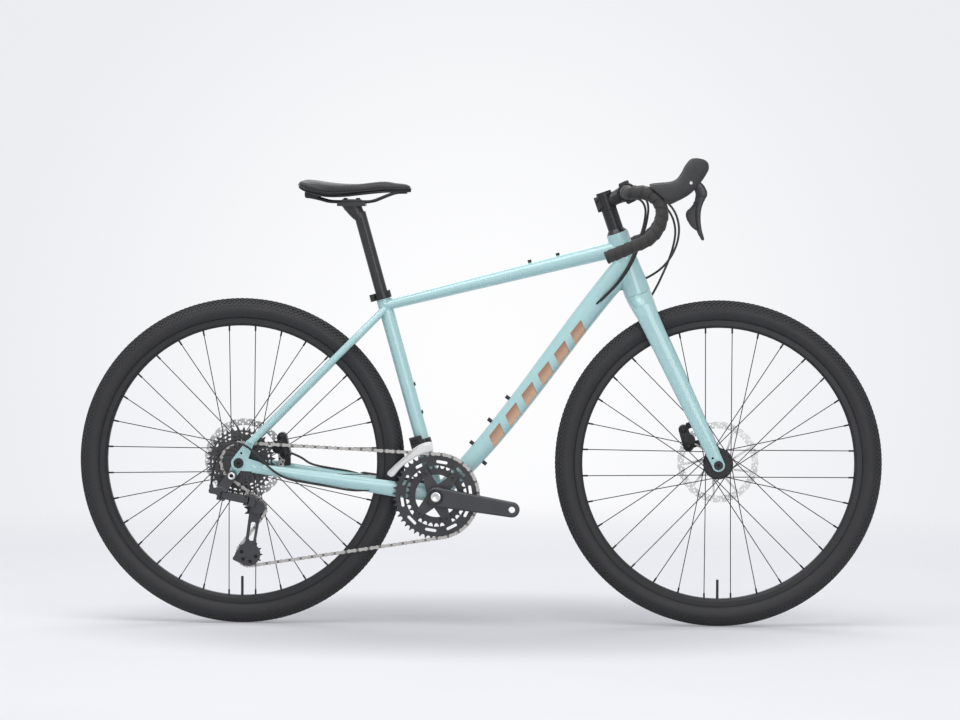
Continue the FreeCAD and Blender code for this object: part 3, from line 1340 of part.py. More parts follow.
HEAD_FLARE = 24
HEAD_TAPER = 58
SEAT_BORE_START = 60
SLEEVE_DEPTH = 20
CHAINSTAY_FOOT_DROP = 6
CHAINSTAY_STATIONS = 15
DROPOUT_REACH = 50
DROPOUT_LEAN = math.radians(61)
DROPOUT_TAIL = 42
EYELET_RADIUS = 2.6
EYELET_AT = (6, 22)
SEATSTAY_DROP = 37
SEATSTAY_SPLAY = 10
SEATSTAY_BEND = 70
BRIDGE_GAP = 20
BRIDGE_RADIUS = 5.5
LOW_BRIDGE_SHARE = 0.12
HANGER_BOLT = 5
BOSS_BOLT = 4.2
DOWN_TUBE_BOSSES = (138, 202, 266)
UNDER_BOSS = 120
TOP_TUBE_BOSSES = (334, 398)
SEAT_TUBE_BOSSES = (186, 250)
rear_end_y = -(size.rear_hub_width / 2 + size.hanger_wall)
hanger_bolt = rear_axle + Vector(-size.hanger_back, -size.rear_hub_width / 2, -size.hanger_drop)
head_outside, headset = make_head_tube()
shell_outside, seat_outside, top_line, down_line = make_main_tubes(head_outside)
make_bearings(headset)
right_rear_end, left_rear_end = make_rear_triangle(shell_outside, seat_outside)
make_seat_clamp()
make_frame_bolts(top_line, down_line, pieces["top_tube"], pieces["down_tube"], seat_outside)


# Fork and cockpit
def make_fork():
    """Tapered steerer, crown and two straight blades with flat inner ends at the axle."""
    length, rake = size.fork_length, size.fork_rake
    inner = size.front_hub_width / 2
    tip_y = inner + size.fork_leg_wall / 2
    gap = size.tyre_width / 2 + size.fork_leg_clearance
    plan = [
        (0, tip_y, "fork_tip_radius", "fork_leg_wall / 2"),
        (0.06, tip_y, "fork_tip_radius + 1", "fork_leg_wall / 2"),
        (0.25, tip_y - 2, "fork_leg_depth / 2 - 2.5", 8),
        (0.5, gap + 18, "fork_leg_depth / 2", 9.5),
        (0.75, gap + 13, "fork_leg_depth / 2 + 2", 11.5),
        (0.94, gap + 5, "fork_leg_depth / 2 + 5", 14),
    ]
    stations = []
    for share, y, depth, wall in plan:
        spot = STEER.multiply(Placement(Vector(rake * (1 - share), -y, length * share), Rotation()))
        stations.append((spot, depth, wall))
    blade = loft("fork_blade", stations)
    tip = cylinder(
        "fork_tip", "fork_tip_radius", "fork_leg_wall", Vector(rake, -inner, 0), -Y_AXIS, STEER
    )
    legs = [blade, tip, mirrored("fork_blade_left", blade), mirrored("fork_tip_left", tip)]
    crown_plan = [
        (1.0, "head_bottom_radius - 0.5", "head_bottom_radius - 0.5"),
        (0.955, 28, 43),
        (0.89, 25, 52),
    ]
    crown = loft(
        "fork_crown",
        [
            (STEER.multiply(Placement(Vector(rake * (1 - share) * 0.9, 0, length * share), Rotation())), d, w)
            for share, d, w in crown_plan
        ],
    )
    top = sized("spacer_stack + stem_height - 3") + head_top
    straight = head_bottom + STEERER_SEAT - length
    low = cylinder(
        "steerer_low", "steerer_bottom_radius", straight + 20, Vector(0, 0, length - 20), Z_AXIS, STEER
    )
    start = Vector(0, 0, head_bottom + STEERER_SEAT)
    taper = cone(
        "steerer_taper", "steerer_bottom_radius", "steerer_top_radius", STEERER_TAPER, start, Z_AXIS, STEER
    )
    start = start + Z_AXIS * STEERER_TAPER
    upper = cylinder("steerer_upper", "steerer_top_radius", top - start.z, start, Z_AXIS, STEER)
    whole = fuse("fork_whole", [crown, low, taper, upper] + legs)
    wheel_gap = cylinder(
        "fork_wheel_gap", "tyre_radius + fork_leg_clearance", "tyre_width + 2 * fork_leg_clearance",
        Vector(rake, -gap, 0), Y_AXIS, STEER,
    )
    hub_gap = cylinder(
        "fork_hub_gap", "hub_flange_radius", "front_hub_width", Vector(rake, -inner, 0), Y_AXIS, STEER
    )
    hole = cylinder(
        "fork_axle_hole", "axle_radius + 0.05", "front_hub_width + 60", Vector(rake, -inner - 30, 0), Y_AXIS,
        STEER,
    )
    eyelet = cylinder(
        "fork_eyelet", EYELET_RADIUS, "front_hub_width + 60",
        Vector(rake + FORK_EYELET[0], -inner - 30, FORK_EYELET[1]), Y_AXIS, STEER,
    )
    bore = cylinder(
        "steerer_bore", "steerer_top_radius - 2.5", "fork_length", Vector(0, 0, length - 60), Z_AXIS, STEER
    )
    return piece("fork", cut("fork", whole, wheel_gap, hub_gap, hole, eyelet, bore))


def make_headset_stack():
    """Conical cover, spacers and top cap round the steerer."""
    parts = []
    inside = "steerer_top_radius + 0.03"
    start = head_top + size.headset_gap
    foot = Vector(0, 0, start)
    cover = cone("cover", "head_top_radius - 1", "spacer_radius", "cover_height", foot, Z_AXIS, STEER)
    hole = cylinder("cover_hole", inside, "cover_height", foot, Z_AXIS, STEER)
    parts.append(cut("cover_ring", cover, hole))
    rest = f"(spacer_stack - headset_gap - cover_height) / {SPACERS}"
    for number in range(SPACERS):
        base = Vector(0, 0, start + size.cover_height + number * sized(rest))
        disc = cylinder(f"spacer_{number}", "spacer_radius", rest, base, Z_AXIS, STEER)
        ring = cylinder(f"spacer_hole_{number}", inside, rest, base, Z_AXIS, STEER)
        parts.append(cut(f"spacer_ring_{number}", disc, ring))
    cap_base = Vector(0, 0, stem_bottom + size.stem_height)
    cap = cylinder("top_cap_disc", "stem_clamp_radius - 0.5", 2 * CAP_RECESS, cap_base, Z_AXIS, STEER)
    seat = cap_base + Z_AXIS * CAP_RECESS
    recess = cylinder("top_cap_recess", BOLT_HEAD + 0.3, CAP_RECESS, seat, Z_AXIS, STEER)
    parts.append(cut("top_cap", cap, recess))
    bolt = cylinder("top_cap_bolt", BOLT_HEAD, CAP_RECESS - 0.2, seat, Z_AXIS, STEER)
    parts.append(bolt)
    return group("headset_spacers", parts)


def make_stem():
    """A short stem that pinches the steerer and holds the bar under a four-bolt faceplate."""
    lift = Placement(Vector(0, 0, stem_middle), Rotation(Y_AXIS, -size.stem_rise_angle))
    frame = STEER.multiply(lift)
    reach = size.stem_length
    foot = Vector(0, 0, stem_bottom)
    clamp = cylinder("stem_clamp", "stem_clamp_radius", "stem_height", foot, Z_AXIS, STEER)
    back = -size.stem_clamp_radius
    lug = box(
        "stem_lug", 16, 2 * PINCH_HALF, "stem_height - 4", (back - 7, -PINCH_HALF, stem_bottom + 2), STEER
    )
    neck = loft(
        "stem_neck",
        [
            (frame.multiply(Placement(Vector(x, 0, 0), Rotation(Y_AXIS, 90))), deep, wide)
            for x, deep, wide in ((2, 17, 16), (reach * 0.5, 16, 17), (reach - 8, 19, 20))
        ],
    )
    side_face = Vector(reach, -STEM_FACE / 2, 0)
    eye = cylinder("stem_eye", "bar_clamp_radius + 5", STEM_FACE, side_face, Y_AXIS, frame)
    ear_low = (reach - EAR_DEPTH, -STEM_FACE / 2, -EAR_HALF)
    ears = box("stem_ears", 2 * EAR_DEPTH, STEM_FACE, 2 * EAR_HALF, ear_low, frame)
    bore = cylinder("stem_bore", "steerer_top_radius + 0.03", "stem_height", foot, Z_AXIS, STEER)
    seat = cylinder("stem_seat", "bar_clamp_radius + 0.03", STEM_FACE, side_face, Y_AXIS, frame)
    slit = box(
        "stem_slit", 24, STEM_SLIT, "stem_height", (back - 8, -STEM_SLIT / 2, stem_bottom), STEER
    )
    room = 80
    ahead = box("stem_ahead", room, room, room, (reach - FACE_GAP / 2, -room / 2, -room / 2), frame)
    behind = box("stem_behind", room, room, room, (reach - room + FACE_GAP / 2, -room / 2, -room / 2), frame)
    face_whole = fuse("stem_face_whole", [eye, ears])
    holes, bolts = [], []
    for number, (side, level) in enumerate(((-1, -1), (-1, 1), (1, -1), (1, 1))):
        front = Vector(reach + EAR_DEPTH, side * FACE_BOLT_Y, level * FACE_BOLT_Z)
        shank = cylinder(f"face_shank_{number}", BOLT_SHANK, BOLT_LENGTH, front, -X_AXIS, frame)
        head = cylinder(f"face_head_{number}", BOLT_HEAD, BOLT_HEAD_HEIGHT, front, X_AXIS, frame)
        holes.append(
            cylinder(f"face_hole_{number}", BOLT_HOLE, BOLT_LENGTH + 1, front + X_AXIS, -X_AXIS, frame)
        )
        bolts.append(fuse(f"face_bolt_{number}", [shank, head]))
    for number, level in enumerate((-PINCH_LEVEL, PINCH_LEVEL)):
        side = Vector(back - 3, -PINCH_HALF, stem_middle + level)
        shank = cylinder(f"pinch_shank_{number}", BOLT_SHANK, BOLT_LENGTH, side, Y_AXIS, STEER)
        head = cylinder(f"pinch_head_{number}", BOLT_HEAD, BOLT_HEAD_HEIGHT, side, -Y_AXIS, STEER)
        holes.append(
            cylinder(f"pinch_hole_{number}", BOLT_HOLE, BOLT_LENGTH + 1, side - Y_AXIS, Y_AXIS, STEER)
        )
        bolts.append(fuse(f"pinch_bolt_{number}", [shank, head]))
    body = cut(
        "stem_body", fuse("stem_solid", [clamp, lug, neck, face_whole]), bore, seat, slit, ahead, *holes
    )
    face = cut("stem_face", face_whole, seat, behind, *holes[:4])
    group("stem", [body, face] + bolts)
    return frame.multVec(Vector(reach, 0, 0))


def bar_side(side):
    """Edges of one side of the bar from its taper to its end, and the frame of the hood on it."""
    out = Y_AXIS * side
    ahead = X_AXIS
    flare = math.radians(size.bar_flare)
    down = out * math.sin(flare) - Z_AXIS * math.cos(flare)
    corner, hook, drop = size.bar_corner_radius, size.bar_hook_radius, size.bar_drop_radius
    turn = math.radians(size.bar_drop_turn)
    start = bar_centre + out * size.bar_taper_end
    top = bar_centre + out * (size.bar_half_width - corner)
    ramp = bar_centre + out * size.bar_half_width + ahead * corner
    bow = math.sqrt(0.5)
    corner_middle = top + out * corner * bow + ahead * corner * (1 - bow)
    front = ramp + ahead * hook + down * hook
    hook_middle = ramp + ahead * hook * bow + down * hook * (1 - bow)
    hub = front - ahead * drop
    low_middle = hub + ahead * drop * math.cos(turn / 2) + down * drop * math.sin(turn / 2)
    low = hub + ahead * drop * math.cos(turn) + down * drop * math.sin(turn)
    end = low + (down * math.cos(turn) - ahead * math.sin(turn)) * size.bar_end_run
    edges = [
        Part.LineSegment(start, top).toShape(),
        Part.Arc(top, corner_middle, ramp).toShape(),
        Part.Arc(ramp, hook_middle, front).toShape(),
        Part.Arc(front, low_middle, low).toShape(),
        Part.LineSegment(low, end).toShape(),
    ]
    return edges, end, Vector(end - low).normalize()


def make_bar():
    """The handlebar, its tape with end plugs, and the solid that the hoods are hollowed with."""
    middle = cylinder(
        "bar_middle", "bar_clamp_radius", "2 * bar_clamp_half_width",
        bar_centre - Y_AXIS * size.bar_clamp_half_width, Y_AXIS,
    )
    parts, soft, sleeves = [middle], [], []
    for side in (-1, 1):
        edges, end, heading = bar_side(side)
        out = Y_AXIS * side
        parts.append(
            cone(
                f"bar_taper_{side}", "bar_clamp_radius", "bar_grip_radius",
                "bar_taper_end - bar_clamp_half_width", bar_centre + out * size.bar_clamp_half_width, out,
            )
        )
        wire = Part.Wire(edges)
        parts.append(swept(f"bar_grip_{side}", wire, "bar_grip_radius"))
        outside = swept(f"tape_outside_{side}", wire, "bar_grip_radius + tape_wall")
        inside = swept(f"tape_inside_{side}", wire, "bar_grip_radius + tape_clearance")
        soft.append(cut(f"tape_{side}", outside, inside))
        sleeves.append(outside)
        plug = cylinder(f"plug_disc_{side}", "bar_grip_radius + tape_wall - 0.3", 5, end, heading)
        soft.append(rounded(f"plug_{side}", plug, 2, lambda edge: edge_beyond(edge, end, heading)))
    piece("handlebar", fuse("handlebar", parts))
    group("bar_tape", soft)
    return sleeves


def edge_beyond(edge, point, heading):
    """Whether an edge's middle lies clear of a plane along a heading."""
    return (edge.CenterOfMass - point).dot(heading) > 1


def on_bar(x, z, y=0.0):
    """A point beside the right hand hood, in the side plane of the bar's ramp."""
    return bar_centre + Vector(x, -size.bar_half_width + y, z)


def hood_section(x, z, degrees):
    """A section plane square to a line that climbs forward at an angle."""
    angle = math.radians(degrees)
    return tube_section(on_bar(x, z), Vector(math.cos(angle), 0, math.sin(angle)))


def make_hoods(sleeves):
    """Rubber-covered lever brackets with a tall knob, slotted where the lever swings."""
    body = loft("hood_body", [(hood_section(x, z, a), h, w) for x, z, a, h, w in HOOD_PLAN])
    slots = []
    for number, degrees in enumerate(LEVER_SLOT_ANGLES):
        angle = math.radians(degrees)
        far = Vector(math.cos(angle), math.sin(angle), 0) * LEVER_SLOT_REACH
        base = on_bar(*LEVER_PIVOT)
        place = Placement(Vector(base.x, base.y + CARRIER_WALL / 2 + 0.6, base.z), Rotation(X_AXIS, 90))
        widths = (LEVER_BOSS + 0.8, LEVER_BOSS + 3)
        slots.append(strap(f"hood_slot_{number}", [Vector(), far], widths, CARRIER_WALL + 1.2, place))
    hollow = cut("hood_hollow", body, sleeves[0], *slots)
    pivot_start = on_bar(*LEVER_PIVOT, CARRIER_WALL / 2 + 3)
    pin = cylinder("hood_pin", LEVER_PIN, CARRIER_WALL + 6, pivot_start, -Y_AXIS)
    right = fuse("hood_right", [hollow, pin])
    return group("lever_hoods", [right, mirrored("hood_left", right)])


def make_levers():
    """On each side the carrier that the brake pull turns, its blade and the shift paddle behind that."""
    pivot = on_bar(*LEVER_PIVOT)
    knuckle = on_bar(*LEVER_KNUCKLE)
    strap_solid = side_strap(
        "carrier_strap", (pivot.x, pivot.z), (knuckle.x, knuckle.z), (LEVER_BOSS, LEVER_BOSS - 0.5),
        CARRIER_WALL, pivot.y + CARRIER_WALL / 2,
    )
    side_face = pivot + Y_AXIS * (CARRIER_WALL / 2 + 2)
    hole = cylinder("carrier_hole", LEVER_PIN + PIN_CLEARANCE, CARRIER_WALL + 4, side_face, -Y_AXIS)
    stud = cylinder("carrier_stud", SWING_PIN, SWING_END + 4, swing_point(-4), swing_axis)
    carrier = fuse("carrier_solid", [cut("carrier_drilled", strap_solid, hole), stud])
    blade_body = loft("blade_loft", [(hood_section(x, z, a), h, w) for x, z, a, h, w in BLADE_PLAN])
    collar = cylinder("blade_collar", SWING_BOSS, BLADE_COLLAR, swing_point(BLADE_START), swing_axis)
    pin_hole = SWING_PIN + PIN_CLEARANCE
    bore = cylinder("blade_bore", pin_hole, SWING_END + 0.3, swing_point(0), swing_axis)
    room = cylinder("blade_room", SWING_BOSS + 0.7, BLADE_START, swing_point(0), swing_axis)
    blade = cut("blade_solid", fuse("blade_whole", [blade_body, collar]), bore, room)
    ring = cylinder("paddle_collar", SWING_BOSS, PADDLE_COLLAR, swing_point(PADDLE_START), swing_axis)
    corner = on_bar(0, 0, PADDLE_INSET)
    wing = plate("paddle_wing", PADDLE_OUTLINE, PADDLE_WALL, Placement(corner, Rotation(X_AXIS, 90)))
    paddle_bore = cylinder("paddle_bore", pin_hole, SWING_END, swing_point(0), swing_axis)
    behind = cylinder("paddle_behind", SWING_BOSS + 9, PADDLE_START, swing_point(0), swing_axis)
    front = swing_point(PADDLE_START + PADDLE_COLLAR)
    ahead = cylinder("paddle_ahead", SWING_BOSS + 9, 20, front, swing_axis)
    wing_cut = cut("paddle_wing_trimmed", wing, behind, ahead)
    paddle = cut("paddle_solid", fuse("paddle_whole", [ring, wing_cut]), paddle_bore)
    for name, solid in (("lever_carrier", carrier), ("brake_lever", blade), ("shift_paddle", paddle)):
        piece(name + "_right", solid)
        piece(name + "_left", mirrored(name + "_left", solid))


def swing_point(reach):
    """A point on the pin that the right blade and paddle swing sideways on."""
    return on_bar(*SWING_FOOT) + swing_axis * reach


STEERER_SEAT = 9
STEERER_TAPER = 60
FORK_EYELET = (-7, 19)
SPACERS = 3
CAP_RECESS = 2
STEM_FACE = 44
STEM_SLIT = 1.6
EAR_DEPTH = 9
EAR_HALF = 25
FACE_BOLT_Y = 14
FACE_BOLT_Z = 20.5
PINCH_HALF = 12
PINCH_LEVEL = 10
BOLT_SHANK = 2.5
BOLT_HOLE = 2.6
BOLT_LENGTH = 20
BOLT_HEAD = 4.2
BOLT_HEAD_HEIGHT = 4
FACE_GAP = 1.6
HOOD_PLAN = (
    (44, 2, 0, 17.5, 17.5),
    (72, -2, 6, 22, 17),
    (98, 3, 22, 22, 16),
    (123, 13, 42, 20, 16),
    (141, 34, 61, 22, 15),
    (155, 54, 73, 25, 14),
    (157, 68, 78, 20, 11.5),
    (157.5, 75.5, 80, 11, 6.5),
)
LEVER_PIVOT = (138, 21)
LEVER_KNUCKLE = (147, 10)
LEVER_SLOT_ANGLES = (-44, -62, -82)
LEVER_SLOT_REACH = 32
LEVER_BOSS = 8
LEVER_PIN = 2.5
PIN_CLEARANCE = 0.08
CARRIER_WALL = 12
SWING_FOOT = (150, 5)
SWING_ANGLE = -13
SWING_PIN = 2.5
SWING_BOSS = 6.5
SWING_END = 16.5
PADDLE_START = 4.6
PADDLE_COLLAR = 4.2
BLADE_START = 9.2
BLADE_COLLAR = 8
BLADE_PLAN = (
    (163.5, 1, -110, 4.5, 6.5),
    (158, -13, -115, 5, 7.5),
    (151, -26, -106, 5.6, 8),
    (146.5, -50, -92, 5.6, 7.5),
    (148, -78, -80, 5, 6.5),
    (153, -92, -66, 4.2, 5.5),
    (157.5, -99, -58, 2.2, 3),
)
PADDLE_WALL = 4
PADDLE_INSET = 4
PADDLE_OUTLINE = (
    (157, 3), (155.5, -3), (151, -11), (143.2, -23), (139.4, -40), (139.2, -55), (141, -78), (139.5, -82),
    (136, -79), (125, -57), (124, -49), (128, -43), (139, -26), (146, -12), (151, -2), (152.5, 3.5),
)
make_fork()
make_headset_stack()
bar_centre = make_stem()
swing_axis = Vector(math.cos(math.radians(SWING_ANGLE)), 0, math.sin(math.radians(SWING_ANGLE)))
sleeves = make_bar()
make_hoods(sleeves)
make_levers()


# Rear derailleur
def by_axle(x, y, z):
    """A point given from the rear axle."""
    return rear_axle + Vector(x, y, z)


def lug(name, first, last, frame):
    """Two plates above and below the links, between two distances along them."""
    deep = LINK_HALF_HEIGHT + LUG_GAP
    wide = LUG_OUT - LUG_IN
    return [
        box(f"{name}_{side}", last - first, wide, LUG_WALL, (first, -LUG_OUT, low), frame)
        for side, low in (("upper", deep), ("lower", -deep - LUG_WALL))
    ]


def link_pins(name, reach, frame):
    """The two pivot pins of one end of the links."""
    return [
        cylinder(f"{name}_pin_{n}", LINK_PIN, 2 * LUG_HALF, Vector(reach, y, -LUG_HALF), Z_AXIS, frame)
        for n, y in enumerate((OUTER_LINK_Y, INNER_LINK_Y))
    ]


def make_knuckles():
    """The knuckle bolted to the hanger and the one that carries the cage, each with lugs for the links."""
    bolt = (hanger_bolt.x, hanger_bolt.z)
    low = by_axle(*KNUCKLE_FOOT)
    arm = side_strap("b_arm", bolt, (low.x, low.z), B_ARM_WIDTHS, B_ARM_WALL, KNUCKLE_FACE)
    deep = LINK_HALF_HEIGHT + LUG_GAP
    swing = box("b_swing", 70, 60, 2 * deep, (-5.5, -110, -deep), MECH)
    arm = cut("b_arm_cleared", arm, swing)
    wide = LUG_OUT - LUG_IN
    web = box("b_web", 6, wide, 2 * LUG_HALF, (B_LUG[0], -LUG_OUT, -LUG_HALF), MECH)
    shank = cylinder("b_bolt", HANGER_BOLT - 0.02, 20, hanger_bolt + Y_AXIS, -Y_AXIS)
    outer_face = Vector(hanger_bolt.x, KNUCKLE_FACE - B_ARM_WALL, hanger_bolt.z)
    head = cylinder("b_head", B_HEAD, B_HEAD_HEIGHT, outer_face, -Y_AXIS)
    socket = cylinder("b_socket", B_SOCKET, B_HEAD_HEIGHT, outer_face - Y_AXIS, -Y_AXIS)
    barrel_top = by_axle(*BARREL_TOP)
    barrel = cylinder("b_barrel", BARREL_RADIUS, BARREL_LENGTH, barrel_top, -Z_AXIS)
    ear_end = (barrel_top.x, barrel_top.z - BARREL_LENGTH + 6)
    ear_face = BARREL_TOP[1] + BARREL_RADIUS
    ear = side_strap("b_ear", (low.x, low.z), ear_end, B_EAR_WIDTHS, 2 * BARREL_RADIUS, ear_face)
    ear = cut("b_ear_cleared", ear, swing)
    plates = lug("b_lug", *B_LUG, MECH)
    body = fuse("b_body", [arm, web, shank, head, barrel, ear] + plates + link_pins("b", 0, MECH))
    piece("mech_knuckle_upper", cut("mech_knuckle_upper", body, socket))
    hub_y = chain_y - CAGE_HALF - CAGE_WALL - KNUCKLE_GAP
    centre = solid_point(cage_pivot, hub_y)
    barrel = cylinder("p_barrel", P_BARREL_RADIUS, P_BARREL, centre, -Y_AXIS)
    neck = box("p_web", 14, wide, 2 * LUG_HALF, (LINK_LENGTH + 5.5, -LUG_OUT, -LUG_HALF), MECH)
    bore = cylinder("p_bore", CAGE_SHAFT + 0.1, CAGE_SHAFT_LENGTH + 1, centre + Y_AXIS, -Y_AXIS)
    plates = lug("p_lug", *P_LUG, MECH)
    knuckle = fuse("p_body", [barrel, neck] + plates + link_pins("p", LINK_LENGTH, MECH))
    piece("mech_knuckle_lower", cut("mech_knuckle_lower", knuckle, bore))


def make_links():
    """The outer and inner links of the parallelogram."""
    high = 2 * LINK_HALF_HEIGHT
    for name, y, wall in (("mech_outer_link", OUTER_LINK_Y, 6), ("mech_inner_link", INNER_LINK_Y, 5)):
        bar = box(name + "_bar", LINK_LENGTH, wall, high, (0, y - wall / 2, -LINK_HALF_HEIGHT), MECH)
        parts = [bar]
        holes = []
        for n, reach in enumerate((0, LINK_LENGTH)):
            foot = Vector(reach, y, -LINK_HALF_HEIGHT)
            parts.append(cylinder(f"{name}_boss_{n}", LINK_BOSS, high, foot, Z_AXIS, MECH))
            holes.append(cylinder(f"{name}_hole_{n}", LINK_PIN + 0.05, high, foot, Z_AXIS, MECH))
        piece(name, cut(name, fuse(name + "_whole", parts), *holes))


def make_cage():
    """Two cage plates joined by the pulley bolts, turning on a shaft in the lower knuckle."""
    guide = (guide_centre.real, guide_centre.imag)
    tension = (tension_centre.real, tension_centre.imag)
    outer_y = chain_y - CAGE_HALF
    inner_y = chain_y + CAGE_HALF + CAGE_WALL
    outer = side_strap("cage_outer", guide, tension, CAGE_OUTER_WIDTHS, CAGE_WALL, outer_y)
    inner = side_strap("cage_inner", guide, tension, CAGE_INNER_WIDTHS, CAGE_WALL, inner_y)
    hinge = solid_point(cage_pivot, outer_y)
    ear = cylinder("cage_ear", CAGE_EAR, CAGE_WALL, hinge, -Y_AXIS)
    shaft_length = CAGE_SHAFT_LENGTH + KNUCKLE_GAP + CAGE_WALL
    shaft = cylinder("cage_shaft", CAGE_SHAFT, shaft_length, hinge, -Y_AXIS)
    along = unit_complex(tension_centre - guide_centre)
    tail = tension_centre + along * turned(CAGE_TAIL_REACH, CAGE_TAIL_TURN)
    lobe_widths = (CAGE_LOBE, CAGE_TAIL)
    lobe = side_strap("cage_lobe", tension, (tail.real, tail.imag), lobe_widths, CAGE_WALL, outer_y)
    parts = [outer, inner, ear, shaft, lobe]
    middle = (guide_centre + tension_centre) / 2
    for name, spot in (("guide", guide_centre), ("tension", tension_centre)):
        start = solid_point(spot, inner_y + 1)
        bolt_length = 2 * (CAGE_HALF + CAGE_WALL) + 1
        parts.append(cylinder(f"cage_{name}_bolt", PULLEY_BOLT, bolt_length, start, -Y_AXIS))
    slot_from = middle - along * CAGE_SLOT_HALF
    slot_to = middle + along * CAGE_SLOT_HALF
    slot = side_strap(
        "cage_slot", (slot_from.real, slot_from.imag), (slot_to.real, slot_to.imag), CAGE_SLOT_WIDTHS,
        8 * CAGE_HALF, inner_y + 10,
    )
    windows = []
    for number, degrees in enumerate(CAGE_WINDOWS):
        spot = tension_centre + along * turned(CAGE_WINDOW_REACH, degrees)
        start = solid_point(spot, outer_y + 1)
        windows.append(cylinder(f"cage_window_{number}", CAGE_WINDOW, CAGE_WALL + 2, start, -Y_AXIS))
    piece("mech_cage", cut("mech_cage", fuse("cage_whole", parts), slot, *windows))
    for name, teeth, wheel in (
        ("guide_pulley", size.guide_pulley_teeth, loops[3]),
        ("tension_pulley", size.tension_pulley_teeth, loops[2]),
    ):
        disc = toothed_disc(int(teeth), PULLEY_WALL, PULLEY_BOLT + 0.08, meshing_phase(wheel))
        wheel_disc = shaped(name + "_teeth", disc, Placement(solid_point(wheel.centre, chain_y), Rotation()))
        inner_face = solid_point(wheel.centre, chain_y + CAGE_HALF)
        hub_start = inner_face - Y_AXIS * PULLEY_PLAY
        hub = cylinder(name + "_hub", PULLEY_HUB, 2 * (CAGE_HALF - PULLEY_PLAY), hub_start, -Y_AXIS)
        bore = cylinder(name + "_bore", PULLEY_BOLT + 0.08, 2 * CAGE_HALF, inner_face, -Y_AXIS)
        piece(name, cut(name, fuse(name + "_whole", [wheel_disc, hub]), bore))


def unit_complex(number):
    """A flat direction of length one."""
    return number / abs(number)


def turned(reach, degrees):
    """A flat step of one length, turned anticlockwise by an angle."""
    angle = math.radians(degrees)
    return reach * complex(math.cos(angle), math.sin(angle))


# Front derailleur
def make_front_mech():
    """A band and body on the seat tube, and the chain cage that shifts sideways."""
    base = Vector(0, 0, size.front_mech_height)
    band = cylinder("band_ring", "seat_tube_radius + 3.5", BAND_HEIGHT, base, Z_AXIS, SEAT)
    face = -size.seat_tube_radius - FRONT_BLOCK_REACH
    block = box("band_block", 28, 22, BAND_HEIGHT + 14, (-26, face, base.z - 4), SEAT)
    way_low = (SPUR_AT[0] - SPUR_PLAY, face, base.z + SPUR_AT[1] - SPUR_PLAY)
    way = box(
        "band_way", SPUR_SIZE[0] + 2 * SPUR_PLAY, FRONT_SPUR_WAY, SPUR_SIZE[1] + 2 * SPUR_PLAY, way_low, SEAT
    )
    hole = cylinder(
        "band_hole", "seat_tube_radius + 0.02", BAND_HEIGHT + 40, base - Z_AXIS * 20, Z_AXIS, SEAT
    )
    piece("front_mech_body", cut("front_mech_body", fuse("band_whole", [band, block]), hole, way))
    plates = []
    for name, y, radii in (
        ("outer", chain_y - FRONT_CAGE_HALF, FRONT_OUTER_RADII),
        ("inner", chain_y + FRONT_CAGE_HALF + FRONT_CAGE_WALL, FRONT_INNER_RADII),
    ):
        outline = ring_sector(*radii, *FRONT_CAGE_ANGLES)
        side = Placement(Vector(crank_axis.x, y, crank_axis.z), Rotation(X_AXIS, 90))
        plates.append(plate(f"front_cage_{name}", outline, FRONT_CAGE_WALL, side))
    wide = 2 * (FRONT_CAGE_HALF + FRONT_CAGE_WALL)
    for n, (radius, degrees, long) in enumerate(FRONT_BRIDGES):
        angle = math.radians(degrees)
        middle = crank_axis + Vector(radius * math.cos(angle), chain_y, radius * math.sin(angle))
        spot = Placement(middle, Rotation(Y_AXIS, -degrees))
        plates.append(box(f"front_cage_bridge_{n}", 2, wide, long, (-1, -wide / 2, -long / 2), spot))
    outer_face = chain_y - FRONT_CAGE_HALF
    spur_low = (SPUR_AT[0], outer_face, base.z + SPUR_AT[1])
    spur = box("front_cage_spur", SPUR_SIZE[0], face + 1 - outer_face, SPUR_SIZE[1], spur_low, SEAT)
    piece("front_mech_cage", fuse("front_mech_cage", plates + [spur]))


def ring_sector(low, high, first, last):
    """Outline of a piece of a ring between two radii and two angles in degrees."""
    def spot(radius, degrees):
        angle = math.radians(degrees)
        return (radius * math.cos(angle), radius * math.sin(angle))
    return [
        (*spot(high, first), Arc(high)),
        spot(high, last),
        (*spot(low, last), Arc(low, anticlockwise=False)),
        spot(low, first),
    ]


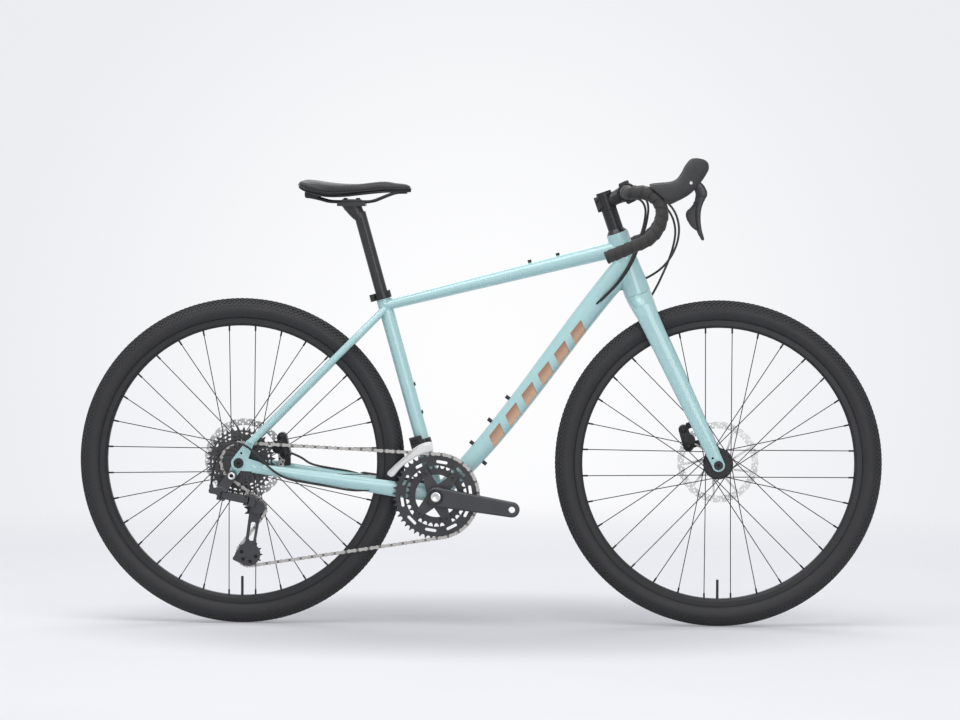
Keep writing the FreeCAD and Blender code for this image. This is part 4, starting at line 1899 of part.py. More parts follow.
# Brakes
def make_caliper(name, frame, lobes, piston, disc_y, feet, seat):
    """A caliper of two lobes and a piston barrel, slotted for the disc, its pads, and its bolted feet."""
    right_face = disc_y - CALIPER_HALF
    side = frame.multiply(Placement(Vector(0, disc_y + CALIPER_HALF, 0), Rotation(X_AXIS, 90)))
    spots = [Vector(x, z, 0) for x, z, radius in lobes]
    radii = [radius for x, z, radius in lobes]
    body = strap(name + "_strap", spots, radii, 2 * CALIPER_HALF, side)
    reach, degrees = piston
    spot = turned(reach, degrees)
    start = Vector(spot.real, right_face - PISTON_CAP, spot.imag)
    barrel = cylinder(
        name + "_barrel", PISTON_BARREL, 2 * (CALIPER_HALF + PISTON_CAP), start, Y_AXIS, frame
    )
    solids = [body, barrel]
    for n, (x, z, radius) in enumerate(lobes):
        start = Vector(x, right_face - CALIPER_BOLT_OUT, z)
        bolt_length = 2 * CALIPER_HALF + CALIPER_BOLT_OUT
        solids.append(cylinder(f"{name}_bolt_{n}", CALIPER_BOLT, bolt_length, start, Y_AXIS, frame))
    for n, (low, wide) in enumerate(feet):
        solids.append(box(f"{name}_foot_{n}", *wide, low, frame))
    centre = Vector(0, disc_y, 0)
    slot_start = centre - Y_AXIS * CALIPER_SLOT
    slot = cylinder(name + "_slot", "rotor_radius + 2", 2 * CALIPER_SLOT, slot_start, Y_AXIS, frame)
    hollow = cut(name + "_hollow", fuse(name + "_solid", solids), slot, *seat)
    turn = frame.multiply(Placement(centre, Rotation(Y_AXIS, -degrees)))
    pistons = []
    inner = size.rotor_thickness / 2 + PAD_GAP
    back = inner + PAD_WALL
    for sign, word in ((-1, "right"), (1, "left")):
        low = inner if sign > 0 else -back
        pad_low = (PAD_START, low, -PAD_LENGTH / 2)
        pad = box(f"{name}_pad_{word}", PAD_DEPTH, PAD_WALL, PAD_LENGTH, pad_low, turn)
        pad_name = f"{name.replace('caliper', 'pad')}_{word}"
        piece(pad_name, rounded(f"{name}_pad_{word}_soft", pad, 1, edge_across))
        start = Vector(PISTON_REACH, sign * back, 0)
        pistons.append(
            cylinder(f"{name}_piston_{word}", PISTON, CALIPER_SLOT - back + 1, start, Y_AXIS * sign, turn)
        )
    return piece(name, fuse(name, [hollow] + pistons))


def edge_across(edge):
    """Whether a straight edge runs across the bicycle."""
    heading = edge.tangentAt(edge.FirstParameter)
    return abs(heading.y) > 0.9


# Cords
def cord(name, points, *seats):
    """A housing along its route, cut where it enters what it is led into, with its sizes reported."""
    wire = route([Vector(*p) for p in points])
    bends = [edge.Curve.Radius for edge in wire.Edges if edge.Curve.TypeId == "Part::GeomCircle"]
    whole = swept(name, wire, "housing_radius")
    doc.recompute()
    section = math.pi * size.housing_radius**2
    print(f"{name} length {wire.Length:.0f} least bend {min(bends):.1f} volume ratio "
          f"{whole.Shape.Volume / (section * wire.Length):.3f}")
    return cut(name + "_seated", whole, *seats) if seats else whole


def by_steerer(points):
    """Points given along the steering axis from its foot."""
    return [STEER.multVec(Vector(*point)) for point in points]


def make_cords():
    """Shift housings and brake hoses along their open runs."""
    from_axle = [by_axle(*p) for p in REAR_LOOP]
    hose = [by_axle(*p) for p in REAR_HOSE]
    group(
        "frame_housings",
        [
            cord("rear_shift_loop", from_axle, right_rear_end, pieces["mech_knuckle_upper"]),
            cord("rear_hose", hose, left_rear_end, pieces["rear_caliper"]),
        ],
    )
    down = pieces["down_tube"]
    group(
        "bar_housings",
        [
            cord("right_housing", by_steerer(RIGHT_HOUSING), sleeves[0], down),
            cord("right_hose", by_steerer(RIGHT_HOSE), sleeves[0], down),
            cord("left_housing", by_steerer(LEFT_HOUSING), sleeves[1], down),
        ],
    )
    piece("front_brake_hose", cord("front_hose", by_steerer(FRONT_HOSE), sleeves[1], pieces["fork"]))


LINK_LENGTH = 54
LINK_HALF_HEIGHT = 8
LINK_PIN = 1.95
LINK_BOSS = 4.5
LUG_GAP = 0.3
LUG_WALL = 3.7
LUG_HALF = LINK_HALF_HEIGHT + LUG_GAP + LUG_WALL
LUG_OUT = 90
LUG_IN = 62
OUTER_LINK_Y = -84
INNER_LINK_Y = -68
KNUCKLE_FOOT = (-40, 0, -62)
KNUCKLE_FACE = rear_end_y - 0.3
B_ARM_WIDTHS = (11, 12)
B_ARM_WALL = 11.5
B_HEAD = 8
B_HEAD_HEIGHT = 3.5
B_SOCKET = 3
B_LUG = (-12, 6)
B_EAR_WIDTHS = (9, 6)
P_LUG = (48, 62)
BARREL_TOP = (-60, -86, -47)
BARREL_RADIUS = 4.5
BARREL_LENGTH = 20
CAGE_HALF = 5
CAGE_WALL = 1.5
CAGE_OUTER_WIDTHS = (13, 11)
CAGE_INNER_WIDTHS = (11, 10)
CAGE_EAR = 10
CAGE_SLOT_HALF = 16
CAGE_SLOT_WIDTHS = (6.1, 5.5)
CAGE_LOBE = 26
CAGE_TAIL = 4
CAGE_TAIL_REACH = 33
CAGE_TAIL_TURN = -64
CAGE_WINDOWS = (-100, -40, 20, 80)
CAGE_WINDOW = 4
CAGE_WINDOW_REACH = 16.5
KNUCKLE_GAP = 0.5
CAGE_SHAFT = 6
CAGE_SHAFT_LENGTH = 9
P_BARREL = 24
P_BARREL_RADIUS = 16
PULLEY_BOLT = 2.5
PULLEY_WALL = 2.3
PULLEY_HUB = 5.5
PULLEY_PLAY = 0.3
MECH = Placement(by_axle(-35, 0, -71), Rotation(Y_AXIS, 11.7))
BAND_HEIGHT = 14
FRONT_CAGE_HALF = 4.6
FRONT_CAGE_WALL = 1.5
FRONT_CAGE_ANGLES = (94, 148)
FRONT_OUTER_RADII = (98.5, 120)
FRONT_INNER_RADII = (92, 122)
FRONT_BRIDGES = ((119, 98, 12), (117.5, 145.5, 8))
SPUR_AT = (-21.7, 7.8)
SPUR_SIZE = (13.4, 8.4)
SPUR_PLAY = 0.3
FRONT_BLOCK_REACH = 14.6
FRONT_SPUR_WAY = 9
CALIPER_SLOT = 6.2
CALIPER_HALF = 14
CALIPER_BOLT = 5
CALIPER_BOLT_OUT = 3
PISTON = 8
PISTON_REACH = 82
PAD_START = 74
PAD_DEPTH = 16.5
PAD_LENGTH = 26
PISTON_BARREL = 14
PISTON_CAP = 1.5
PAD_GAP = 0.35
PAD_WALL = 3.6
REAR_LOOP = (
    (296, -42, -58), (262, -44.5, -65), (195, -51.5, -52.3), (140, -62.5, -42.3), (110, -76, -36),
    (84, -89, -22), (62, -92, -3), (40, -92.2, 19), (18, -92.2, 40), (-12, -92, 48), (-40, -91, 28),
    (-57, -88.5, -8), (-60, -86, -48),
)
REAR_HOSE = (
    (98, 63, 14), (124, 64.5, 5), (146, 61, -12.5), (195, 52, -20.5), (240, 46, -26.3),
    (276, 43.5, -38),
)
RIGHT_HOUSING = (
    (60.9, -84, 622.7), (80.2, -62, 620.3), (87.8, -40, 593.4), (71, -30, 556.8), (46.7, -30, 522.9),
    (14.4, -38, 484.3), (-18.2, -37, 457.5), (-52.5, -32, 437.6), (-87.5, -18, 422.1),
)
RIGHT_HOSE = (
    (59.3, -84, 614.8), (72.8, -64, 611.2), (79.2, -46, 586.8), (63.7, -37, 554.1), (40, -37, 522),
    (8, -45, 484.4), (-24.8, -44, 456.6), (-59.5, -36, 435.7), (-97, -18, 419),
)
LEFT_HOUSING = (
    (60.9, 84, 622.7), (86.5, 66, 620.2), (117.3, 50, 599.1), (136.6, 38, 562.8), (135.9, 28, 523.9),
    (120, 22, 490.3), (95.1, 14, 463.9), (64.6, 16, 445.9), (27.8, 34, 437.4), (-11.4, 41, 434),
    (-48.1, 36, 431.8), (-87.5, 18, 422.1),
)
FRONT_HOSE = (
    (59.3, 84, 614.8), (83.3, 72, 610.8), (112.2, 58, 590.3), (127.6, 46, 555.3), (125.7, 37, 519),
    (109.6, 31, 487.5), (88.1, 31, 458.9), (64.4, 30, 433.2), (43, 28, 411), (11.5, 26, 383.8),
)
make_knuckles()
make_links()
make_cage()
make_front_mech()
FRONT_BRAKE = Placement(front_axle, STEER.Rotation)
REAR_BRAKE = Placement(rear_axle, Rotation())
make_caliper(
    "front_caliper", FRONT_BRAKE, ((-50, 55, 12), (-49, 93, 11)), (80, 124.2), size.front_rotor_offset,
    [((-40, 49.5, 46), (20, 9, 14)), ((-40, 49.5, 90), (20, 9, 14))],
    [pieces["fork"]],
)
make_caliper(
    "rear_caliper", REAR_BRAKE, ((92, 11, 12), (84, 49, 11)), (80, 19), size.rear_rotor_offset,
    [((74, size.rear_rotor_offset + 6.5, -16), (28, 9, 24))],
    [left_rear_end],
)
make_cords()


# Seat
def make_seatpost():
    """A tube with a set-back head, the cradle and the upper jaw that grip the rails, and two bolts."""
    top = size.seat_tube_length + size.seatpost_rise
    start = Vector(0, 0, top - size.seatpost_length)
    tube = cylinder("post_tube", "seatpost_radius", "seatpost_length", start, Z_AXIS, SEAT)
    bore_length = f"seatpost_length - {POST_CROWN}"
    bore = cylinder("post_bore", "seatpost_bore_radius", bore_length, start, Z_AXIS, SEAT)
    shoulder = SEAT.multVec(Vector(0, 0, top))
    neck = SEAT.multVec(Vector(0, 0, top - POST_NECK))
    upward = SEAT.Rotation.multVec(Z_AXIS)
    bend = (shoulder + rail_clamp) * 0.5 - Z_AXIS * 8
    head = loft(
        "post_head",
        [
            (tube_section(neck, upward), "seatpost_radius", "seatpost_radius"),
            (tube_section(bend, rail_clamp - shoulder), 17, 15),
            (Placement(rail_clamp - Z_AXIS * (JAW_GAP + 3), Rotation()), 27, 17),
        ],
    )
    jaw_y = RAIL_SPREAD + 5.5
    cradle_low = (rail_clamp.x - CRADLE_LENGTH / 2, -jaw_y, rail_clamp.z - JAW_GAP - CRADLE_WALL)
    cradle = box("post_cradle", CRADLE_LENGTH, 2 * jaw_y, CRADLE_WALL, cradle_low)
    jaw_low = (rail_clamp.x - JAW_LENGTH / 2, -jaw_y, rail_clamp.z + JAW_GAP)
    jaw = box("post_jaw", JAW_LENGTH, 2 * jaw_y, JAW_WALL, jaw_low)
    grooves = []
    for side in (-1, 1):
        start = rail_clamp + Vector(-CRADLE_LENGTH, side * RAIL_SPREAD, 0)
        grooves.append(
            cylinder(f"post_groove_{side}", "rail_radius + 0.03", 2 * CRADLE_LENGTH, start, X_AXIS)
        )
    bolts, holes = [], []
    bolt_length = POST_BOLT_BELOW + 2 * JAW_GAP + JAW_WALL
    for number, ahead in enumerate((-1, 1)):
        foot = rail_clamp + Vector(ahead * POST_BOLT_APART, 0, -JAW_GAP - POST_BOLT_BELOW)
        shank = cylinder(f"post_shank_{number}", POST_BOLT, bolt_length, foot, Z_AXIS)
        cap_start = foot + Z_AXIS * bolt_length
        cap = cylinder(f"post_cap_{number}", POST_BOLT_HEAD, 3, cap_start, Z_AXIS)
        holes.append(cylinder(f"post_hole_{number}", POST_BOLT + 0.1, bolt_length + 14, foot, Z_AXIS))
        bolts.append(fuse(f"post_bolt_{number}", [shank, cap]))
    post = cut("post_body", fuse("post_solid", [tube, head, cradle]), bore, *grooves, *holes)
    upper = cut("post_upper", jaw, *grooves, *holes)
    return group("seatpost", [post, upper] + bolts)


def saddle_section(x, half_width, top, edge, tuck, crown):
    """A closed saddle outline across the bicycle: a crowned top and sides that draw in below."""
    high = top - edge
    right = [
        Vector(x, -half_width * tuck, edge),
        Vector(x, -half_width * 0.985, edge + high * 0.34),
        Vector(x, -half_width * 0.86, edge + high * 0.78),
        Vector(x, -half_width * 0.45, top - crown * 0.25),
        Vector(x, 0, top - crown),
    ]
    left = [Vector(p.x, -p.y, p.z) for p in reversed(right[:-1])]
    curve = Part.BSplineCurve()
    curve.interpolate(right + left)
    under = Part.LineSegment(left[-1], right[0])
    return Part.Wire([curve.toShape(), under.toShape()])


def make_saddle():
    """The padded cover, the shell under it and the rails that hang from the shell."""
    middle = rail_clamp.x + SADDLE_AHEAD
    half = size.saddle_width / 2
    nose = size.saddle_nose_width / 2
    plan = [
        (-0.50, half * 0.52, 42, 26, 0.9, 1.0),
        (-0.47, half * 0.80, 47.5, 19, 0.9, 2.0),
        (-0.38, half * 0.985, 48.5, 15, 0.9, 3.0),
        (-0.25, half * 0.93, 45, 15, 0.88, 4.0),
        (-0.10, half * 0.63, 40, 17, 0.84, 4.0),
        (0.05, nose * 1.32, 40, 20, 0.8, 3.0),
        (0.25, nose * 1.05, 45, 24, 0.78, 1.5),
        (0.42, nose * 0.92, 43, 25.5, 0.78, 0.6),
        (0.48, nose * 0.72, 39.5, 25.5, 0.8, 0.3),
        (0.50, nose * 0.45, 35.5, 27, 0.84, 0.2),
    ]
    sections, shells = [], []
    level = rail_clamp.z
    for share, width, top, edge, tuck, crown in plan:
        x = middle + size.saddle_length * share
        sections.append(saddle_section(x, width, top + level, edge + level, tuck, crown))
        if abs(share) < 0.485:
            inside = width * tuck * 0.97
            shells.append(shell_section(x, inside, edge + level))
    cover = shaped("saddle_cover", Part.makeLoft(sections, True))
    piece("saddle_pad", cover)
    tray = shaped("saddle_tray", Part.makeLoft(shells, True))
    rails = []
    for side in (-1, 1):
        points = [rail_clamp + Vector(x, side * y, z) for x, y, z in RAIL_PLAN]
        rails.append(swept(f"rail_{side}", route(points), "rail_radius"))
    shell = piece("saddle_shell", cut("saddle_shell", tray, cover, *rails))
    group("saddle_rails", rails)
    return shell


def shell_section(x, half_width, edge):
    """A shallow tray outline that hangs below the cover's edge."""
    points = [
        Vector(x, -half_width, edge + 1),
        Vector(x, half_width, edge + 1),
        Vector(x, half_width * 0.86, edge - SHELL_DEPTH * 0.6),
        Vector(x, half_width * 0.5, edge - SHELL_DEPTH),
        Vector(x, -half_width * 0.5, edge - SHELL_DEPTH),
        Vector(x, -half_width * 0.86, edge - SHELL_DEPTH * 0.6),
    ]
    return Part.makePolygon(points + points[:1])


POST_CROWN = 22
JAW_GAP = 0.5
JAW_WALL = 5
JAW_LENGTH = 40
POST_NECK = 14
POST_BOLT = 2.9
POST_BOLT_HEAD = 4.6
POST_BOLT_APART = 14
POST_BOLT_BELOW = 18
CRADLE_WALL = 9
CRADLE_LENGTH = 62
RAIL_SPREAD = 22
SADDLE_AHEAD = 8
RAIL_SETBACK = Vector(-17.1, 0, 23.9)
SHELL_DEPTH = 7
RAIL_PLAN = (
    (122, 8, 21.5), (98, 12, 21), (74, 17, 12), (46, 22, 0), (-48, 22, 0), (-72, 26, 7), (-92, 30, 11),
)
rail_clamp = SEAT.multVec(Vector(0, 0, size.seat_tube_length + size.seatpost_rise)) + RAIL_SETBACK
make_seatpost()
make_saddle()


# Checks and files
doc.recompute()
failed = [o.Name for o in doc.Objects if "Invalid" in o.State or "Error" in o.State]
if failed:
    raise SystemExit(f"objects that failed: {failed}")
for name, thing in pieces.items():
    if thing.Shape.isNull() or not thing.Shape.isValid() or not thing.Shape.Solids:
        raise SystemExit(f"{name} has no valid solid")
os.makedirs("parts", exist_ok=True)
for name, thing in pieces.items():
    thing.Shape.exportStep(os.path.join("parts", name + ".step"))
    print(name, len(thing.Shape.Solids), "solids", round(thing.Shape.Volume), "mm3")
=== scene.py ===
"""The looks of a gravel bicycle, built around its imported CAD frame.

Metres, +X forward, +Z up, drive side -Y.
"""
import logging
import math
from dataclasses import dataclass
from enum import Enum
from typing import Sequence

import bmesh
import bpy
import numpy as np
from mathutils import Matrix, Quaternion, Vector
from numpy import ndarray as Array


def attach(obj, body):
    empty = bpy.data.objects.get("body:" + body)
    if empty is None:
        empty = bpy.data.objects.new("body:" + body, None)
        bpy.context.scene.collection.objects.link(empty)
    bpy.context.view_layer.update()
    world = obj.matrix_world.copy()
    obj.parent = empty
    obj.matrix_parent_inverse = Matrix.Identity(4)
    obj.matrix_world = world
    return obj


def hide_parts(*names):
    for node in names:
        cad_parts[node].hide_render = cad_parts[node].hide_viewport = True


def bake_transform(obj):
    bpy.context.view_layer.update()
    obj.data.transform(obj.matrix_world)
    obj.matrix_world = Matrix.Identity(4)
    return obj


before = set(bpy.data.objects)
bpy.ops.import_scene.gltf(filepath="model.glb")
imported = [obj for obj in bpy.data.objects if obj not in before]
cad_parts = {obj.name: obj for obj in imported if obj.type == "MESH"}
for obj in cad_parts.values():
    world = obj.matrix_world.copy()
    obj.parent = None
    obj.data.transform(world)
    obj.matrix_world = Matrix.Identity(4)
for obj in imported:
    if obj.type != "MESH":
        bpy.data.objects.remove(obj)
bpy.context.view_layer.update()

Colour = tuple[float, float, float]
Point = tuple[float, float, float]
Rows = Sequence[Sequence[float]]
Material = bpy.types.Material
Piece = bpy.types.Object
Socket = bpy.types.NodeSocket
MM = 0.001
FINE = 0.00001
COARSE = 0.00004
REAR_AXLE: Point = (-0.5275, 0.0, 0.361)
FRONT_AXLE: Point = (0.5275, 0.0, 0.361)
CRANK_AXIS: Point = (-0.0936, 0.0, 0.288)
BAR_CENTRE: Point = (0.32343, 0.0, 0.95897)
log = logging.getLogger("gravel_bicycle")


class Side(Enum):
    """A side of the bicycle, as the sign of its Y."""

    RIGHT = -1
    LEFT = 1

    @property
    def word(self) -> str:
        """The side's name in a piece's name."""
        return self.name.lower()


class Closing(Enum):
    """How the rows of a grid surface end: capped with a face, or joined to each other."""

    CAPPED = "capped"
    RING = "ring"


def srgb(red: int, green: int, blue: int) -> Colour:
    """A linear colour from the three levels, 0 to 255, that a screen shows.

    Args:
        red: The red level.
        green: The green level.
        blue: The blue level.

    Returns:
        The colour.
    """
    level = np.array([red, green, blue]) / 255
    linear = np.where(level <= 0.04045, level / 12.92, ((level + 0.055) / 1.055) ** 2.4)
    return tuple(float(value) for value in linear)


def grey(level: int) -> Colour:
    """A grey with a touch of blue."""
    return srgb(level, level, level + 2)


def unit(vectors: Array) -> Array:
    """Vectors of length one along the last axis."""
    return vectors / np.linalg.norm(vectors, axis=-1, keepdims=True)


def smooth_table(rows: Rows, steps: int) -> Array:
    """Carries a table of sizes smoothly through its rows.

    Each value follows a Catmull-Rom cubic: it passes every row, with a slope of half the
    difference of the rows on either side.

    Args:
        rows: The sizes at each station.
        steps: How many even steps to take over the whole table.

    Returns:
        An array of steps by columns.
    """
    table = np.asarray(rows, float)
    padded = np.vstack([2 * table[0] - table[1], table, 2 * table[-1] - table[-2]])
    place = np.linspace(0, len(table) - 1, steps)
    cell = np.minimum(place.astype(int), len(table) - 2)
    t = (place - cell)[:, None]
    a, b, c, d = (padded[cell + k] for k in range(4))
    return 0.5 * (2 * b + (c - a) * t + (2 * a - 5 * b + 4 * c - d) * t**2 + (3 * b - a - 3 * c + d) * t**3)


def grid_faces(rows: int, columns: int, closing: Closing) -> tuple[Array, Array]:
    """Quads of a grid whose columns close into a ring.

    Args:
        rows: Rings of points.
        columns: Points of each ring.
        closing: Whether the last ring joins the first.

    Returns:
        The quads' point numbers, and for each corner its row and column counted on past the seam.
    """
    count = rows if closing is Closing.RING else rows - 1
    row, column = np.meshgrid(np.arange(count), np.arange(columns), indexing="ij")
    corner_row = np.stack([row, row, row + 1, row + 1], -1).reshape(-1, 4)
    corner_column = np.stack([column, column + 1, column + 1, column], -1).reshape(-1, 4)
    quads = (corner_row % rows) * columns + corner_column % columns
    return quads, np.stack([corner_row, corner_column], -1)


def volume_sign(points: Array, quads: Array) -> float:
    """The sign of the volume that quads enclose, positive where they face outwards."""
    a, b, c, d = (points[quads[:, k]] for k in range(4))
    return float(np.sign(np.einsum("ij,ij->", np.cross(a, b), c) + np.einsum("ij,ij->", np.cross(a, c), d)))


def placed(name: str, data: bpy.types.ID) -> Piece:
    """A new object in the scene, at the origin.

    Args:
        name: Its name.
        data: Its mesh, lamp or camera.

    Returns:
        The object.
    """
    thing = bpy.data.objects.new(name, data)
    bpy.context.scene.collection.objects.link(thing)
    return thing


def coordinates(mesh: bpy.types.Mesh) -> Array:
    """The places of a mesh's points.

    Args:
        mesh: The mesh.

    Returns:
        One row of X, Y and Z for each point.
    """
    flat = np.zeros(len(mesh.vertices) * 3)
    mesh.vertices.foreach_get("co", flat)
    return flat.reshape(-1, 3)


def modify(piece: Piece, kind: str, **settings: object) -> bpy.types.Modifier:
    """Gives a piece a modifier with its settings.

    Args:
        piece: The piece.
        kind: The modifier's kind.
        settings: What is set on it.

    Returns:
        The modifier.
    """
    modifier = piece.modifiers.new(kind.lower(), kind)
    for key, value in settings.items():
        setattr(modifier, key, value)
    return modifier


def apply_modifiers(piece: Piece) -> None:
    """Swaps a piece's mesh for the one that its modifiers make.

    Args:
        piece: The piece.
    """
    view = bpy.context.evaluated_depsgraph_get()
    made = bpy.data.meshes.new_from_object(piece.evaluated_get(view))
    made.name = piece.data.name
    piece.modifiers.clear()
    piece.data = made
    made.polygons.foreach_set("use_smooth", np.ones(len(made.polygons), bool))


def mesh_object(name: str, points: Array, faces: list, corners: Array | None = None) -> Piece:
    """Puts points and faces into a smooth mesh object at the origin.

    Args:
        name: The piece's name.
        points: Its points in the row frame.
        faces: Point numbers of each face.
        corners: Pattern coordinates of every face corner in turn, if it has a pattern.

    Returns:
        The object, linked to the scene.
    """
    mesh = bpy.data.meshes.new(name)
    mesh.from_pydata(points.tolist(), [], faces)
    if corners is not None:
        layer = mesh.uv_layers.new(name="lay")
        layer.uv.foreach_set("vector", corners.astype(np.float32).ravel())
    mesh.polygons.foreach_set("use_smooth", np.ones(len(faces), bool))
    mesh.update()
    return placed(name, mesh)


def grid_surface(name: str, grid: Array, pitch: tuple[float, float] = (1, 1)) -> Piece:
    """A surface over a grid of points, capped at both ends.

    Args:
        name: The piece's name.
        grid: Points as rows by columns by three; each row is a closed ring.
        pitch: How far the pattern runs over all rows and round one ring.

    Returns:
        The surface, facing outwards.
    """
    rows, columns, _ = grid.shape
    points = grid.reshape(-1, 3)
    quads, places = grid_faces(rows, columns, Closing.CAPPED)
    first, last = np.arange(columns)[::-1], np.arange(columns) + (rows - 1) * columns
    if volume_sign(points, quads) < 0:
        quads, places, first, last = quads[:, ::-1], places[:, ::-1], first[::-1], last[::-1]
    lay = places / np.array([rows - 1, columns]) * np.array(pitch)
    corners = np.vstack([lay.reshape(-1, 2), np.zeros((2 * columns, 2))])
    return mesh_object(name, points, quads.tolist() + [first.tolist(), last.tolist()], corners)


def squared(columns: int, power: float) -> tuple[Array, Array]:
    """A cosine and a sine over one turn, each raised to a power with its sign kept: a rounded square."""
    turn = np.linspace(0, 2 * np.pi, columns, endpoint=False)
    return tuple(np.sign(wave) * np.abs(wave) ** power for wave in (np.cos(turn), np.sin(turn)))


def path_frames(path: Array) -> tuple[Array, Array]:
    """Two directions square to a path and to each other at each of its points.

    The first is the cross product of the path's direction with one fixed direction, picked
    among the axes and diagonals as the one that the path keeps furthest away from.

    Args:
        path: Points along the path.

    Returns:
        The two directions as arrays of unit vectors.
    """
    along = unit(np.gradient(path, axis=0))
    trial = np.stack(np.meshgrid(*[[-1.0, 0.0, 1.0]] * 3, indexing="ij"), -1).reshape(-1, 3)
    trial = unit(trial[np.abs(trial).sum(1) > 0])
    fixed = trial[np.argmin(np.abs(along @ trial.T).max(0))]
    beside = unit(np.cross(along, fixed))
    return beside, np.cross(along, beside)


def tube_grid(path: Array, radius: Array) -> Array:
    """Carries a circle along a path.

    Args:
        path: Points along the path.
        radius: The radius at each point of the path and each step round it.

    Returns:
        A grid of points, one ring for each point of the path.
    """
    beside, above = path_frames(path)
    turn = np.linspace(0, 2 * np.pi, radius.shape[1], endpoint=False)
    ring = beside[:, None] * np.cos(turn)[None, :, None] + above[:, None] * np.sin(turn)[None, :, None]
    return path[:, None] + ring * radius[:, :, None]


def turned_grid(profile: Array, start: Array, axis: Array, columns: int) -> Array:
    """Turns a profile of (distance along, radius) about an axis.

    Args:
        profile: Rows of distance and radius.
        start: The point that distances are taken from.
        axis: The axis that they run along.
        columns: Points round each ring.

    Returns:
        A grid of points, one ring for each row of the profile.
    """
    along = unit(axis)
    beside = unit(np.cross(along, np.eye(3)[np.argmin(np.abs(along))]))
    turn = np.linspace(0, 2 * np.pi, columns, endpoint=False)[:, None]
    ring = beside * np.cos(turn) + np.cross(along, beside) * np.sin(turn)
    return start + profile[:, :1, None] * along + profile[:, 1:2, None] * ring


class Nodes:
    """The nodes of one tree, with short calls for those that the finishes and the studio share."""

    def __init__(self, tree: bpy.types.NodeTree) -> None:
        """Starts with the coordinates that the patterns read.

        Args:
            tree: The tree of a material or a world.
        """
        self.tree = tree
        self.place = self.put("ShaderNodeTexCoord")
        self.spot = self.place.outputs["Object"]

    def put(self, kind: str, inputs: dict | None = None, **settings: object) -> bpy.types.Node:
        """A new node with its settings, its inputs fed by name or number.

        Args:
            kind: The node's kind.
            inputs: Values or outputs for its inputs.
            settings: What is set on it.

        Returns:
            The node.
        """
        node = self.tree.nodes.new(kind)
        for key, value in settings.items():
            setattr(node, key, value)
        for key, value in (inputs or {}).items():
            self.feed(node.inputs[key], value)
        return node

    def feed(self, socket: Socket, value: object) -> None:
        """Sets a socket to a plain value, or links it to another node's output.

        Args:
            socket: The socket.
            value: The value or the output.
        """
        if isinstance(value, Socket):
            self.tree.links.new(value, socket)
        else:
            socket.default_value = value

    def mapped(self, place: Point, turn: Point = (0, 0, 0)) -> Socket:
        """Object coordinates seen from a place in the row frame, and turned."""
        shift = self.put("ShaderNodeVectorMath", {0: self.spot, 1: place}, operation="SUBTRACT")
        return self.put("ShaderNodeMapping", {"Vector": shift.outputs[0], "Rotation": turn}).outputs[0]

    def noise(self, vector: Socket, scale: float, detail: float = 3) -> Socket:
        """Soft noise at so many lumps to a metre."""
        return self.put("ShaderNodeTexNoise", {"Vector": vector, "Scale": scale, "Detail": detail}).outputs[0]

    def maths(self, operation: str, a: object, b: object = 0.0) -> Socket:
        """One sum on two values."""
        return self.put("ShaderNodeMath", {0: a, 1: b}, operation=operation).outputs[0]

    def squares(self, a: Socket, b: Socket) -> Socket:
        """The sum of two values' squares."""
        return self.maths("ADD", self.maths("MULTIPLY", a, a), self.maths("MULTIPLY", b, b))

    def part(self, vector: Socket) -> tuple[Socket, ...]:
        """The three coordinates of a vector."""
        return tuple(self.put("ShaderNodeSeparateXYZ", {0: vector}).outputs)

    def ranged(self, value: Socket, low: float, high: float, to_low: float, to_high: float) -> Socket:
        """A value carried smoothly from one range to another and held at its ends."""
        inputs = dict(enumerate((value, low, high, to_low, to_high)))
        return self.put("ShaderNodeMapRange", inputs, interpolation_type="SMOOTHSTEP").outputs[0]

    def within(self, value: Socket, low: float, high: float, blur: float) -> Socket:
        """One between two values, led to nought over a blur."""
        rise = self.ranged(value, low, low + blur, 0.0, 1.0)
        return self.maths("MULTIPLY", rise, self.ranged(value, high, high + blur, 1.0, 0.0))

    def blend(self, share: object, first: object, second: object) -> Socket:
        """Two colours mixed by a share.

        Args:
            share: The second colour's share.
            first: The first colour.
            second: The second colour.

        Returns:
            The mixed colour.
        """
        pair = [(*colour, 1.0) if isinstance(colour, tuple) else colour for colour in (first, second)]
        inputs = {"Factor": share, 6: pair[0], 7: pair[1]}
        return self.put("ShaderNodeMix", inputs, data_type="RGBA").outputs[2]

    def mixed(self, share: Socket, first: Socket, second: Socket) -> Socket:
        """Two shaders mixed by a share."""
        return self.put("ShaderNodeMixShader", {0: share, 1: first, 2: second}).outputs[0]

    def seen(self) -> Socket:
        """One for a ray from the camera, a mirror or glass, nought for a ray of light.

        Returns:
            That value.
        """
        path = self.put("ShaderNodeLightPath")
        seen = self.maths("MAXIMUM", path.outputs["Is Camera Ray"], path.outputs["Is Glossy Ray"])
        return self.maths("MAXIMUM", seen, path.outputs["Is Transmission Ray"])


class Graph(Nodes):
    """The nodes of one material."""

    def __init__(self, name: str) -> None:
        """Starts a material with its shader and output.

        Args:
            name: The material's name.
        """
        self.material = bpy.data.materials.new(name)
        self.material.use_nodes = True
        super().__init__(self.material.node_tree)
        self.shader = self.tree.nodes["Principled BSDF"]

    def shade(self, socket: str, value: object) -> None:
        """Sets one of the shader's inputs."""
        self.feed(self.shader.inputs[socket], value)

    def cover(self, share: Socket, colour: object) -> None:
        """Lays a colour over the one that is there, by a share."""
        under = self.shader.inputs["Base Color"].links[0].from_socket
        self.shade("Base Color", self.blend(share, under, colour))

    def raise_by(self, height: Socket, depth: float) -> None:
        """Presses a height into the surface, after any that is there.

        Args:
            height: The height, as a share.
            depth: What a whole height is worth.
        """
        node = self.put("ShaderNodeBump", {"Height": height, "Distance": depth, "Strength": 1.0})
        normal = self.shader.inputs["Normal"]
        if normal.is_linked:
            self.feed(node.inputs["Normal"], normal.links[0].from_socket)
        self.feed(normal, node.outputs[0])


